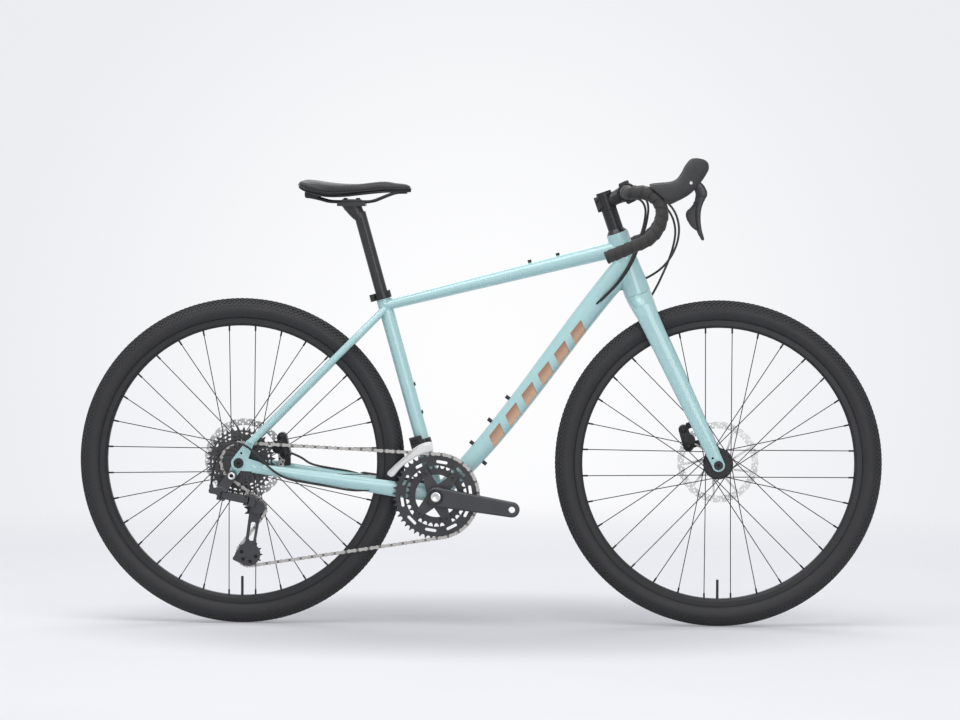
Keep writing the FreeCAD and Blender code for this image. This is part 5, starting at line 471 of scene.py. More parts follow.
@dataclass(frozen=True)
class Finish:
    """A plain finish: two tones that drift into each other, a grain and an uneven gloss."""

    name: str
    tone: Colour
    second: Colour
    roughness: tuple[float, float]
    metal: float = 0.0
    drift: float = 30.0
    grain: float = 900.0
    grain_depth: float = COARSE
    coat: float = 0.0
    coat_roughness: float = 0.1
    sheen: float = 0.0
    edge: float = 0.0

    def graph(self) -> Graph:
        """Makes the material's shared nodes.

        Returns:
            The graph, with its colour, gloss and grain set.
        """
        graph = Graph(self.name)
        graph.shade("Base Color", graph.blend(graph.noise(graph.spot, self.drift), self.tone, self.second))
        if self.edge:
            graph.shade("Normal", graph.put("ShaderNodeBevel", {"Radius": self.edge}, samples=4).outputs[0])
        fine = graph.noise(graph.spot, self.grain, 2)
        graph.shade("Roughness", graph.ranged(fine, 0.3, 0.7, *self.roughness))
        graph.raise_by(fine, self.grain_depth)
        for socket, value in (
            ("Metallic", self.metal), ("Coat Weight", self.coat), ("Coat Roughness", self.coat_roughness),
            ("Sheen Weight", self.sheen),
        ):
            graph.shade(socket, value)
        return graph

    def add(self, graph: Graph) -> None:
        """Adds what a kind of finish has beyond a plain one."""

    def material(self) -> Material:
        """The finish as a material.

        Returns:
            The material.
        """
        graph = self.graph()
        self.add(graph)
        return graph.material


@dataclass(frozen=True)
class Turned(Finish):
    """Metal with the fine rings that a lathe or a brake pad leaves about an axis along Y."""

    centre: Point = (0.0, 0.0, 0.0)
    ring: float = 1800.0
    ring_depth: float = 0.00003
    inner: float = 0.0
    inner_tone: Colour = (0.02, 0.02, 0.02)
    blur: float = 0.0004

    def add(self, graph: Graph) -> None:
        """Adds rings, and a second tone inside a radius.

        Args:
            graph: The nodes of the material.
        """
        x, _, z = graph.part(graph.mapped(self.centre))
        radius = graph.maths("SQRT", graph.squares(x, z))
        rings = graph.noise(graph.put("ShaderNodeCombineXYZ", {0: radius}).outputs[0], self.ring, 4)
        graph.raise_by(rings, self.ring_depth)
        graph.cover(graph.ranged(rings, 0.35, 0.7, 0.0, 0.35), self.second)
        if self.inner > 0:
            inside = graph.ranged(radius, self.inner - self.blur, self.inner + self.blur, 1.0, 0.0)
            graph.cover(inside, self.inner_tone)


@dataclass(frozen=True)
class Layered(Finish):
    """A finish with a second pair of tones inside a distance from a plane across Y."""

    plane: float = 0.0
    reach: float = 0.0
    core: tuple[Colour, Colour] = ((0.01, 0.01, 0.01), (0.02, 0.02, 0.02))
    blur: float = 0.00005

    def add(self, graph: Graph) -> None:
        """Adds the core's tones.

        Args:
            graph: The nodes of the material.
        """
        away = graph.maths("ABSOLUTE", graph.part(graph.mapped((0.0, self.plane, 0.0)))[1])
        inside = graph.ranged(away, self.reach - self.blur, self.reach + self.blur, 1.0, 0.0)
        graph.cover(inside, graph.blend(graph.noise(graph.spot, self.drift), *self.core))


@dataclass(frozen=True)
class Stripes:
    """A run of slanted bars on a tube, with a colour that fades across them."""

    start: Point
    lean: float
    first: float
    pitch: float
    count: int
    share: float
    slant: float
    low: float
    high: float
    upper: Colour
    lower: Colour
    edge: Colour


@dataclass(frozen=True)
class Paint(Finish):
    """Gloss paint under a clear coat, with an optional run of plain bars."""

    stripes: Stripes | None = None
    bar_blur: float = 0.0006
    edge_blur: float = 0.0004

    def add(self, graph: Graph) -> None:
        """Adds the bars.

        A bar is where the distance along the tube, slanted by the height across it, falls in
        the first share of each pitch, between the first bar and the last and between two heights.

        Args:
            graph: The nodes of the material.
        """
        bars = self.stripes
        if bars is None:
            return
        along, _, across = graph.part(graph.mapped(bars.start, (0, bars.lean, 0)))
        slanted = graph.maths("SUBTRACT", along, graph.maths("MULTIPLY", across, bars.slant))
        run = graph.maths("DIVIDE", graph.maths("SUBTRACT", slanted, bars.first), bars.pitch)
        phase = graph.maths("FRACT", run)
        bar = graph.within(phase, 0.0, bars.share, self.bar_blur / bars.pitch)
        begun, ended = graph.maths("GREATER_THAN", run, 0.0), graph.maths("LESS_THAN", run, float(bars.count))
        inside = graph.maths("MULTIPLY", begun, ended)
        band = graph.within(across, bars.low, bars.high, self.edge_blur)
        mask = graph.maths("MULTIPLY", graph.maths("MULTIPLY", bar, inside), band)
        fade = graph.ranged(across, bars.low, bars.high, 0.0, 1.0)
        rim = graph.ranged(phase, bars.share * 0.9, bars.share, 0.0, 0.5)
        graph.cover(mask, graph.blend(rim, graph.blend(fade, bars.lower, bars.upper), bars.edge))


@dataclass(frozen=True)
class Grained(Finish):
    """Leather-like cover or moulded rubber: a net of cells pressed into the surface."""

    cell: float = 900.0
    cell_depth: float = 0.0002
    feature: str = "F1"

    def add(self, graph: Graph) -> None:
        """Presses in the distance to the nearest of scattered points.

        Args:
            graph: The nodes of the material.
        """
        inputs = {"Vector": graph.spot, "Scale": self.cell}
        net = graph.put("ShaderNodeTexVoronoi", inputs, feature=self.feature)
        graph.raise_by(net.outputs["Distance"], self.cell_depth)


@dataclass(frozen=True)
class Laid(Finish):
    """A finish that follows the piece's own lay: lines and dots that run with the surface."""

    lines: float = 0.0
    lines_depth: float = 0.0
    dots: tuple[float, float] = (0.0, 0.0)
    dots_depth: float = 0.0
    pale: Colour = (0.0, 0.0, 0.0)
    pale_share: float = 0.0
    # painted shade: where the named attribute is low, at each winding's edge, the colour darkens towards the
    # tone below, standing in for the shade in the crease under the overlapping tape
    seam: str = ""
    seam_shade_tone: Colour = (0.004, 0.004, 0.004)

    def add(self, graph: Graph) -> None:
        """Adds painted shade along an edge attribute, lines along the rows and dots on the lay.

        Lines are a sine of the second lay coordinate; a dot is the product of a sine of each.

        Args:
            graph: The nodes of the material.
        """
        def wave(place: Socket, count: float) -> Socket:
            """A sine with so many waves to the lay's unit."""
            return graph.maths("SINE", graph.maths("MULTIPLY", place, count * 2 * math.pi))

        first, second, _ = graph.part(graph.place.outputs["UV"])
        # painted shade at each winding's edge, where the attribute is low
        if self.seam:
            edge = graph.put("ShaderNodeAttribute", attribute_name=self.seam)
            graph.cover(graph.ranged(edge.outputs["Fac"], 0.0, 0.3, 0.75, 0.0), self.seam_shade_tone)
        if self.lines_depth:
            graph.raise_by(wave(second, self.lines), self.lines_depth)
        if self.dots_depth:
            dot = graph.maths("MULTIPLY", wave(first, self.dots[0]), wave(second, self.dots[1]))
            graph.raise_by(graph.ranged(dot, 0.1, 0.5, 0.0, 1.0), self.dots_depth)
            if self.pale_share:
                graph.cover(graph.ranged(dot, 0.1, 0.6, 0.0, self.pale_share), self.pale)


def dress(piece: Piece, material: Material) -> None:
    """Gives a piece or CAD node one material."""
    piece.data.materials.clear()
    piece.data.materials.append(material)


def fit(piece: Piece, body: str, slot: str, material: Material, *nodes: str) -> Piece:
    """Dresses a new piece and hangs it on a body.

    Args:
        piece: The piece, in place.
        body: The CAD body that it moves with.
        slot: The name of a material slot; not used.
        material: What it wears.
        nodes: The CAD nodes that it stands for.

    Returns:
        The piece.
    """
    dress(piece, material)
    if nodes:
        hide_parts(*nodes)
    if body:
        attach(piece, body)
    log.info("piece %s: %d faces", piece.name, len(piece.data.polygons))
    return piece


@dataclass
class Studio:
    """The pale floor and room, the soft lights and the camera."""

    aim: Point = (0.0, 0.0, 0.587)
    eye: Point = (0.38, -9.0, 1.03)
    lens: float = 152.8
    roll: float = 0.0034
    floor_radius: float = 3.4
    floor_solid: float = 1.5
    glow: float = 0.35
    # painted shadow: in an oval of this size beneath the bicycle the floor's colour darkens, by up to depth
    # at its middle, towards the shadow tone below
    pool: tuple[float, float] = (1.02, 0.75)
    depth: float = 0.44
    pale: tuple[Colour, Colour] = (srgb(240, 240, 244), srgb(237, 237, 241))
    painted_shadow_tone: Colour = srgb(150, 151, 158)
    daylight: Colour = srgb(240, 243, 250)
    near: Colour = srgb(254, 254, 255)
    far: Colour = srgb(236, 237, 241)
    spread: float = 0.14

    def build(self) -> None:
        """Makes the camera, the floor, the room and the lights."""
        self.camera()
        self.floor()
        self.room()
        self.lamp("key_light", (-0.6, -1.2, 3.4), (0.0, 0.0, 0.4), (3.4, 1.8), 68)
        self.lamp("front_light", (1.6, -5.0, 1.9), (0.1, 0.0, 0.5), (2.6, 2.6), 62)
        self.lamp("back_light", (0.2, 2.6, 3.0), (0.0, 0.0, 0.5), (3.0, 1.6), 36)
        bpy.context.scene.view_settings.view_transform = "Standard"

    def camera(self) -> None:
        """Stands the camera at the photograph's angle."""
        data = bpy.data.cameras.new("camera")
        data.lens = self.lens
        data.sensor_width = 36
        data.clip_end = 60
        bpy.context.scene.camera = self.stand(data, self.eye, self.aim, self.roll)

    @staticmethod
    def stand(data: bpy.types.ID, eye: Point, aim: Point, roll: float = 0.0) -> Piece:
        """Sets up a camera or lamp that looks from one point to another, turned about its line of sight.

        Args:
            data: The camera or lamp.
            eye: Where it stands.
            aim: What it looks at.
            roll: Its turn.

        Returns:
            Its object.
        """
        thing = placed(data.name, data)
        thing.location = eye
        sight = (Vector(aim) - Vector(eye)).to_track_quat("-Z", "Y")
        thing.rotation_euler = (sight @ Quaternion((0, 0, 1), roll)).to_euler()
        return thing

    def floor(self) -> None:
        """Lays a round floor that keeps the lamps' shadow, darkens in a painted shadow beneath the bicycle
        and fades into the room at its edge.
        """
        turn = np.linspace(0, 2 * np.pi, 96, endpoint=False)
        ring = np.column_stack([np.cos(turn), np.sin(turn), np.zeros(96)]) * self.floor_radius
        sheet = mesh_object("floor", ring, [list(range(96))])
        graph = Graph("pale_floor")
        x, y, _ = graph.part(graph.spot)
        # painted shadow: the floor's colour darkens towards a grey in a soft oval beneath the bicycle,
        # deepest at its middle
        long, short = (graph.maths("MULTIPLY", place, 1 / size) for place, size in zip((x, y), self.pool))
        shade = graph.ranged(graph.squares(long, short), 0.0, 1.0, self.depth, 0.0)
        toned = graph.blend(shade, graph.blend(graph.noise(graph.spot, 3.0), *self.pale), self.painted_shadow_tone)
        for socket, value in (("Base Color", toned), ("Roughness", 0.9), ("Specular IOR Level", 0.1)):
            graph.shade(socket, value)
        glow = graph.put("ShaderNodeEmission", {"Color": toned}).outputs[0]
        lit = graph.mixed(graph.maths("MULTIPLY", graph.seen(), self.glow), graph.shader.outputs[0], glow)
        reach = graph.maths("SQRT", graph.squares(x, y))
        gone = graph.ranged(reach, self.floor_solid, self.floor_radius - 0.1, 0.0, 1.0)
        faded = graph.mixed(gone, lit, graph.put("ShaderNodeBsdfTransparent").outputs[0])
        graph.feed(graph.tree.nodes["Material Output"].inputs["Surface"], faded)
        dress(sheet, graph.material)

    def room(self) -> None:
        """Fills the room with even light, and shows it white ahead and a little greyer to the sides.

        The shown tone falls with the sine of the angle between a direction and straight ahead.
        """
        world = bpy.data.worlds.new("room")
        world.use_nodes = True
        nodes = Nodes(world.node_tree)
        light = nodes.tree.nodes["Background"]
        nodes.feed(light.inputs["Color"], (*self.daylight, 1.0))
        nodes.feed(light.inputs["Strength"], 0.5)
        inputs = {0: nodes.place.outputs["Generated"], 1: unit(np.array(self.aim) - np.array(self.eye))}
        off = nodes.put("ShaderNodeVectorMath", inputs, operation="CROSS_PRODUCT")
        sine = nodes.put("ShaderNodeVectorMath", {0: off.outputs[0]}, operation="LENGTH")
        fall = nodes.ranged(sine.outputs["Value"], 0.0, self.spread, 0.0, 1.0)
        tone = nodes.blend(fall, self.near, self.far)
        shown = nodes.put("ShaderNodeBackground", {"Color": tone}).outputs[0]
        lit = nodes.mixed(nodes.seen(), light.outputs[0], shown)
        nodes.feed(nodes.tree.nodes["World Output"].inputs["Surface"], lit)
        bpy.context.scene.world = world

    def lamp(self, name: str, eye: Point, aim: Point, sides: tuple[float, float], power: float) -> None:
        """Adds a wide soft lamp.

        Args:
            name: Its name.
            eye: Where it stands.
            aim: What it lights.
            sides: Its two sides.
            power: Its watts.
        """
        data = bpy.data.lights.new(name, "AREA")
        data.shape = "RECTANGLE"
        data.size, data.size_y = sides
        data.energy = power
        self.stand(data, eye, aim)


@dataclass(frozen=True)
class Route:
    """A cable housing or hose: its points, what it rides on and where it bends."""

    name: str
    points: tuple[Point, ...]
    node: str
    body: str
    bend: tuple[Point, Point] | None = None

    def line(self) -> Array:
        """Reads the smooth line that a NURBS spline makes of the route's points.

        Returns:
            Points along the line, in metres.
        """
        data = bpy.data.curves.new(self.name + "_line", "CURVE")
        data.dimensions = "3D"
        data.resolution_u = 8
        spline = data.splines.new("NURBS")
        spline.points.add(len(self.points) - 1)
        control = np.column_stack([np.array(self.points) * MM, np.ones(len(self.points))])
        spline.points.foreach_set("co", control.ravel())
        spline.order_u = 3
        spline.use_endpoint_u = True
        curve = bpy.data.objects.new(self.name + "_line", data)
        mesh = bpy.data.meshes.new_from_object(curve)
        line = coordinates(mesh)
        bpy.data.meshes.remove(mesh)
        bpy.data.objects.remove(curve)
        bpy.data.curves.remove(data)
        return line


def beside_axle(axle: Point, points: Sequence[Point]) -> tuple[Point, ...]:
    """Points in millimetres beside an axle, as points in the row frame."""
    return tuple(tuple(np.array(axle) / MM + np.array(point)) for point in points)


@dataclass
class Cords:
    """The housings of the shift cables and the brake hoses, each on one smooth line."""

    diameter: float = 0.005
    columns: int = 16

    def routes(self) -> list[Route]:
        """The cords, with their points in millimetres.

        Returns:
            One route for each cord.
        """
        rear_loop = beside_axle(REAR_AXLE, (
            (296, -42, -58), (262, -44.5, -65), (195, -51.5, -52.3), (140, -62.5, -42.3), (110, -76, -36),
            (84, -89, -22), (62, -92, -3), (40, -92.2, 19), (18, -92.2, 40), (-12, -92, 48), (-40, -91, 28),
            (-57, -88.5, -8), (-60, -86, -48),
        ))
        rear_hose = beside_axle(REAR_AXLE, (
            (98, 63, 14), (124, 64.5, 5), (146, 61, -12.5), (195, 52, -20.5), (240, 46, -26.3),
            (276, 43.5, -38),
        ))
        right_housing = (
            (337, -84, 954), (356, -62, 958), (372, -40, 935), (368, -30, 895), (356, -30, 855),
            (338, -38, 808), (316, -37, 772), (290, -32, 742), (262, -18, 716),
        )
        right_hose = (
            (338, -84, 946), (352, -64, 947), (366, -46, 926), (362, -37, 890), (350, -37, 852),
            (332, -45, 806), (310, -44, 769), (284, -36, 738), (254, -18, 710),
        )
        left_housing = (
            (337, 84, 954), (362, 66, 960), (398, 50, 950), (428, 38, 922), (440, 28, 885), (436, 22, 848),
            (421, 14, 815), (398, 16, 788), (366, 34, 768), (330, 41, 752), (296, 36, 738), (262, 18, 716),
        )
        front_hose = (
            (338, 84, 946), (362, 72, 950), (396, 58, 940), (422, 46, 912), (432, 37, 877), (427, 31, 842),
            (416, 31, 808), (402, 30, 776), (389, 28, 748), (368, 26, 712),
        )
        right_bend = ((0.37, -0.03, 0.93), (0.28, -0.03, 0.73))
        left_bend = ((0.43, 0.03, 0.92), (0.29, 0.03, 0.735))
        return [
            Route("rear_shift_housing", rear_loop, "frame_housings", "frame"),
            Route("rear_brake_hose", rear_hose, "frame_housings", "frame"),
            Route("right_shift_housing", right_housing, "bar_housings", "", right_bend),
            Route("right_brake_hose", right_hose, "bar_housings", "", right_bend),
            Route("left_shift_housing", left_housing, "bar_housings", "", left_bend),
            Route("front_hose", front_hose, "front_brake_hose", "steering"),
        ]

    def build(self) -> None:
        jacket = Laid(
            "cord_jacket", grey(26), grey(34), (0.38, 0.52),
            grain=1600, grain_depth=0.00002, lines=2, lines_depth=0.00008,
        ).material()
        for route in self.routes():
            line = route.line()
            reach = float(np.linalg.norm(np.diff(line, axis=0), axis=1).sum())
            radius = np.full((len(line), self.columns), self.diameter / 2)
            piece = grid_surface(route.name, tube_grid(line, radius), (reach * 100, 6))
            fit(piece, route.body, "housing_black", jacket, route.node)
            if route.bend:
                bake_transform(piece)
            log.info("cord %s is %.0f mm long", route.name, reach / MM)


@dataclass
class Tyre:
    """A gravel tyre: a round carcass with smooth sidewalls and close rows of small knobs."""

    name: str
    axle: Point
    body: str
    radius: float = 0.361
    half_width: float = 0.025
    flange: float = 0.317
    bead: float = 0.0119
    wall: float = 0.0022
    tread: float = 0.0022
    tread_fade: tuple[float, float, float] = (1.35, 0.15, 0.7)
    wall_rise: float = 0.003
    foot: tuple[float, float] = (-0.004, 0.0008)
    lining: float = 0.0006
    around: int = 240
    knobs_around: int = 208
    knob_rows: Rows = (
        (0.0, 0.0, 4.6, 6.2), (15.5, 0.5, 4.2, 5.6), (31.0, 0.0, 4.4, 5.4),
        (46.0, 0.5, 4.8, 5.6), (61.0, 0.0, 5.0, 5.8), (73.0, 0.5, 3.2, 4.6),
    )
    knob_skew: float = 0.0009
    outer_lean: float = 1.2
    outer_rise: float = 0.55

    def section(self) -> Array:
        """The closed outline of the carcass across the wheel.

        The outside is most of a circle that reaches the tread's floor, led down to the beads; the
        inside is the same line a wall's thickness further in.

        Returns:
            Rows of radius from the axle and Y.
        """
        middle = self.radius - self.half_width
        low = self.flange + self.wall_rise
        spread = math.acos((low - middle) / self.half_width)
        angle = np.linspace(-spread, spread, 45)
        gain, off, power = self.tread_fade
        sunk = self.tread * np.clip(np.cos(angle) * gain - off, 0, 1) ** power
        reach = self.half_width - sunk
        outside = np.column_stack([middle + reach * np.cos(angle), reach * np.sin(angle)])
        inside = np.column_stack([
            middle + (reach - self.wall) * np.cos(angle) + self.lining, (reach - self.wall) * np.sin(angle),
        ])
        foot = np.array([[self.flange + rise, self.bead] for rise in self.foot])
        inner_foot = foot - np.array([0.0, self.wall])
        flipped = np.array([1.0, -1.0])
        return np.vstack([
            foot * flipped, outside, foot[::-1], inner_foot, inside[::-1], inner_foot[::-1] * flipped,
        ])

    def knobs(self) -> tuple[Array, Array]:
        """The tread's blocks, as one template laid along each row.

        A block has a foot in the carcass, a shoulder and a smaller top. A corner's place along the
        row, across the section and above the carcass is turned into an angle about the axle, an
        angle about the section's middle and a distance from that middle.

        Returns:
            The blocks' points, and the quads that join them.
        """
        square = np.array([[-1, -1], [1, -1], [1, 1], [-1, 1]], float)
        levels = np.array([[1.12, -0.9], [1.0, 0.72], [0.8, 1.0]])
        shape = np.concatenate([np.column_stack([square * size, np.full(4, rise)]) for size, rise in levels])
        sides, _ = grid_faces(3, 4, Closing.CAPPED)
        template = np.vstack([sides, [[3, 2, 1, 0]], [[8, 9, 10, 11]]])
        rows = np.array([
            (math.radians(lean) * sign, start, wide * MM / 2, long * MM / 2)
            for lean, start, wide, long in self.knob_rows
            for sign in ((1,) if lean == 0 else (1, -1))
        ])
        turn = (np.arange(self.knobs_around)[None, :] + rows[:, 1:2]) * 2 * np.pi / self.knobs_around
        middle = self.radius - self.half_width
        rise = self.tread * np.where(np.abs(rows[:, 0]) > self.outer_lean, self.outer_rise, 1.0)
        depth = self.half_width - rise[:, None] + shape[None, :, 2] * rise[:, None]
        across = rows[:, 0:1] + shape[None, :, 0] * rows[:, 2:3] / self.half_width
        skew = shape[None, :, 0] * self.knob_skew * np.sign(rows[:, 0:1])
        along = (shape[None, :, 1] * rows[:, 3:4] + skew) / self.radius
        reach = middle + depth * np.cos(across)
        angle = turn[:, :, None] + along[:, None, :]
        points = np.stack([
            reach[:, None, :] * np.cos(angle),
            np.broadcast_to((depth * np.sin(across))[:, None, :], angle.shape),
            reach[:, None, :] * np.sin(angle),
        ], -1).reshape(-1, 3)
        first = np.arange(len(points) // 12)[:, None, None] * 12
        quads = (first + template[None]).reshape(-1, 4)
        return points, quads

    def build(self, rubber: Material) -> None:
        """Turns the section about the axle, sets the blocks on it and fits the tyre.

        Args:
            rubber: What it wears.
        """
        section = self.section()
        angle = np.linspace(0, 2 * np.pi, self.around, endpoint=False)
        grid = np.stack([
            section[None, :, 0] * np.cos(angle)[:, None],
            np.broadcast_to(section[None, :, 1], (self.around, len(section))),
            section[None, :, 0] * np.sin(angle)[:, None],
        ], -1)
        carcass = grid.reshape(-1, 3)
        quads, places = grid_faces(self.around, len(section), Closing.RING)
        if volume_sign(carcass, quads) < 0:
            quads, places = quads[:, ::-1], places[:, ::-1]
        blocks, block_quads = self.knobs()
        if volume_sign(blocks, block_quads) < 0:
            block_quads = block_quads[:, ::-1]
        lay = np.concatenate([
            (places / np.array([self.around, len(section)])).reshape(-1, 2),
            np.full((block_quads.size, 2), 0.5),
        ])
        points = np.vstack([carcass, blocks]) + np.array(self.axle)
        faces = quads.tolist() + (block_quads + len(carcass)).tolist()
        piece = mesh_object(self.name + "_dressed", points, faces, lay)
        smooth = np.concatenate([np.ones(len(quads), bool), np.zeros(len(block_quads), bool)])
        piece.data.polygons.foreach_set("use_smooth", smooth)
        fit(piece, self.body, "tyre_rubber", rubber, self.name)


@dataclass
class BarTape:
    """Tape wound along each side of the bar, with its closing band and the plug in the bar's end."""

    taper_end: float = 0.075
    half_width: float = 0.210
    corner: float = 0.032
    hook: float = 0.045
    drop: float = 0.070
    drop_turn: float = math.radians(67)
    end_run: float = 0.080
    flare: float = math.radians(12)
    outer: float = 0.0147
    winding: float = 0.019
    lap: float = 0.86
    climb: float = 0.0015
    sink: float = 0.0016
    lump: float = 0.00012
    waves: tuple[float, float] = (310.0, 12.6)
    band_rows: int = 12
    band_rise: tuple[float, float] = (-0.0006, 0.0001)
    plug: Rows = ((-2, 11), (0, 14.2), (1.4, 14.4), (3.2, 14.0), (4.4, 12.4), (4.9, 9), (5.0, 4), (5.0, 0.4))
    step: float = 0.0011
    columns: int = 40

    def line(self, side: Side) -> Array:
        """The middle line of one side of the bar, from its taper to its end.

        A straight, a corner forward, an upper hook, a lower curve and a straight end follow each
        other; a curve is its centre plus its radius times the cosine and sine of the turn along
        two fixed directions.

        Args:
            side: Which side.

        Returns:
            Points about a millimetre apart.
        """
        out, ahead = np.array([0.0, side.value, 0.0]), np.array([1.0, 0.0, 0.0])
        down = out * math.sin(self.flare) - np.array([0.0, 0.0, math.cos(self.flare)])
        centre = np.array(BAR_CENTRE)
        top = centre + out * (self.half_width - self.corner)
        ramp = centre + out * self.half_width + ahead * self.corner
        front = ramp + (ahead + down) * self.hook
        hub = front - ahead * self.drop
        low = hub + self.drop * (ahead * math.cos(self.drop_turn) + down * math.sin(self.drop_turn))
        heading = down * math.cos(self.drop_turn) - ahead * math.sin(self.drop_turn)

        def straight(start: Array, way: Array, length: float) -> Array:
            """Points along a straight run."""
            return start + way * np.arange(0, length, self.step)[:, None]

        def curve(middle: Array, radius: float, first: Array, second: Array, turn: float) -> Array:
            """Points along a curve."""
            angle = np.arange(0, turn, self.step / radius)[:, None]
            return middle + radius * (first * np.cos(angle) + second * np.sin(angle))

        return np.vstack([
            straight(centre + out * self.taper_end, out, self.half_width - self.corner - self.taper_end),
            curve(top + ahead * self.corner, self.corner, -ahead, out, math.pi / 2),
            curve(ramp + down * self.hook, self.hook, -down, ahead, math.pi / 2),
            curve(hub, self.drop, ahead, down, self.drop_turn),
            straight(low, heading, self.end_run),
            (low + heading * self.end_run)[None],
        ])

    def build(self, tape: Material, plug: Material) -> None:
        """Winds both sides.

        The tape's surface climbs across each winding and drops at its edge: its height is the
        share of a winding that the distance along the bar and the turn round it have passed.

        Args:
            tape: What the tape wears.
            plug: What the bands and plugs wear.
        """
        for side in Side:
            line = self.line(side)
            passed = np.concatenate([[0.0], np.cumsum(np.linalg.norm(np.diff(line, axis=0), axis=1))])
            turn = np.arange(self.columns) / self.columns
            phase = (passed[:, None] / self.winding - side.value * turn[None, :]) % 1.0
            climb = np.minimum(phase / self.lap, (1 - phase) / (1 - self.lap))
            lumps = self.lump * np.sin(passed[:, None] * self.waves[0] + turn[None, :] * self.waves[1])
            radius = self.outer - self.sink + self.climb * climb + lumps
            pitch = (float(passed[-1]) * 100, 9.2)
            piece = grid_surface("bar_tape_" + side.word, tube_grid(line, radius), pitch)
            # the climb is kept as an attribute that the tape's material reads to paint shade at each
            # winding's edge
            edge = piece.data.attributes.new("winding_edge", "FLOAT", "POINT")
            edge.data.foreach_set("value", climb.astype(np.float32).ravel())
            fit(piece, "steering", "tape_black", tape, "bar_tape")
            self.band(side, line, plug)
            self.end(side, line, plug)

    def band(self, side: Side, line: Array, material: Material) -> None:
        """Closes the tape beside the taper with a thin smooth band.

        Args:
            side: Which side.
            line: The bar's middle line there.
            material: What it wears.
        """
        low, high = self.band_rise
        rise = np.interp(np.linspace(0, 1, self.band_rows), [0, 0.08, 0.92, 1], [low, high, high, low])
        radius = np.repeat((self.outer + rise)[:, None], self.columns, axis=1)
        piece = grid_surface("tape_band_" + side.word, tube_grid(line[:self.band_rows], radius))
        fit(piece, "steering", "tape_black", material)

    def end(self, side: Side, line: Array, material: Material) -> None:
        """Turns the domed plug that closes the bar's end.

        Args:
            side: Which side.
            line: The bar's middle line there.
            material: What it wears.
        """
        heading = unit(line[-1] - line[-2])
        grid = turned_grid(smooth_table(self.plug, 24) * MM, line[-1], heading, self.columns)
        piece = grid_surface("bar_plug_" + side.word, grid)
        fit(piece, "steering", "tape_black", material, "bar_tape")


def softened(node: str, voxel: float, passes: int) -> Piece:
    """A rounded copy of a CAD node, merged through a voxel grid and relaxed.

    Args:
        node: The node's name.
        voxel: The grid's step.
        passes: How often the surface is relaxed.

    Returns:
        The copy.
    """
    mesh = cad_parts[node].data.copy()
    mesh.name = node + "_dressed"
    work = bmesh.new()
    work.from_mesh(mesh)
    bmesh.ops.remove_doubles(work, verts=work.verts, dist=1e-6)
    work.to_mesh(mesh)
    work.free()
    piece = placed(mesh.name, mesh)
    modify(piece, "REMESH", mode="VOXEL", voxel_size=voxel, use_smooth_shade=True)
    modify(piece, "SMOOTH", factor=0.5, iterations=passes)
    apply_modifiers(piece)
    return piece


def face_of(node: str, place: Point, radius: float) -> float:
    """The Y of a CAD node's drive-side face round a point.

    Args:
        node: The node's name.
        place: The point.
        radius: How far round it to look.

    Returns:
        The lowest Y there.
    """
    points = coordinates(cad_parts[node].data)
    near = np.hypot(points[:, 0] - place[0], points[:, 2] - place[2]) < radius
    return float(points[near, 1].min())


@dataclass
class Hoods:
    """The rubber covers of the lever brackets, with the pin that each lever turns on."""

    plan: Rows = (
        (71, -3.5, 49, 30, 16.6), (75, -2.5, 47, 30.5, 17.4), (85, -0.5, 38, 26.5, 17.4),
        (98, 2, 28, 22.5, 16.6), (112, 7, 33, 20.8, 16.2), (126, 16, 45, 20.6, 16), (140, 33, 61, 22, 15),
        (149, 48, 70, 23.5, 14.4), (154.5, 58, 75, 23, 13.4), (157, 67, 79, 19.5, 11.4),
        (157.5, 72.5, 80, 14, 8.6), (157.6, 75, 80, 7, 4.6),
    )
    reach: float = 210.0
    power: float = 0.8
    steps: int = 90
    columns: int = 48
    pin_columns: int = 24
    pin: Point = (138.8, 0.0, 22.3)
    pin_out: float = 15.0
    head: Rows = (
        (-3, 3.6), (0, 3.6), (0.7, 3.3), (1.0, 2.6), (1.0, 1.5), (0.3, 1.3), (0.3, 0.1),
    )

    def cover(self, side: Side) -> Array:
        """Carries a rounded section along the bracket.

        A section leans by its angle; a point of it is its half height up the lean times a power
        of a cosine, and its half width along Y times the same power of a sine.

        Args:
            side: Which side.

        Returns:
            A grid of points.
        """
        x, z, lean, tall, wide = (column[:, None] for column in smooth_table(self.plan, self.steps).T)
        up, out = squared(self.columns, self.power)
        lean = np.radians(lean)
        y = side.value * self.reach + wide * out
        grid = np.stack([x - np.sin(lean) * tall * up, y, z + np.cos(lean) * tall * up], -1)
        return grid * MM + np.array(BAR_CENTRE)

    def build(self, rubber: Material, steel: Material) -> None:
        """Covers both brackets and sets a pin's head in each.

        Args:
            rubber: What the covers wear.
            steel: What the pins wear.
        """
        profile = np.array(self.head) * MM
        for side in Side:
            cover = grid_surface("hood_cover_" + side.word, self.cover(side))
            fit(cover, "steering", "hood_rubber", rubber, "lever_hoods")
            out = np.array([0.0, side.value, 0.0])
            spot = np.array(BAR_CENTRE) + (np.array(self.pin) + out * (self.reach + self.pin_out)) * MM
            pin = grid_surface("lever_pin_" + side.word, turned_grid(profile, spot, out, self.pin_columns))
            fit(pin, "steering", "bolt_steel", steel)


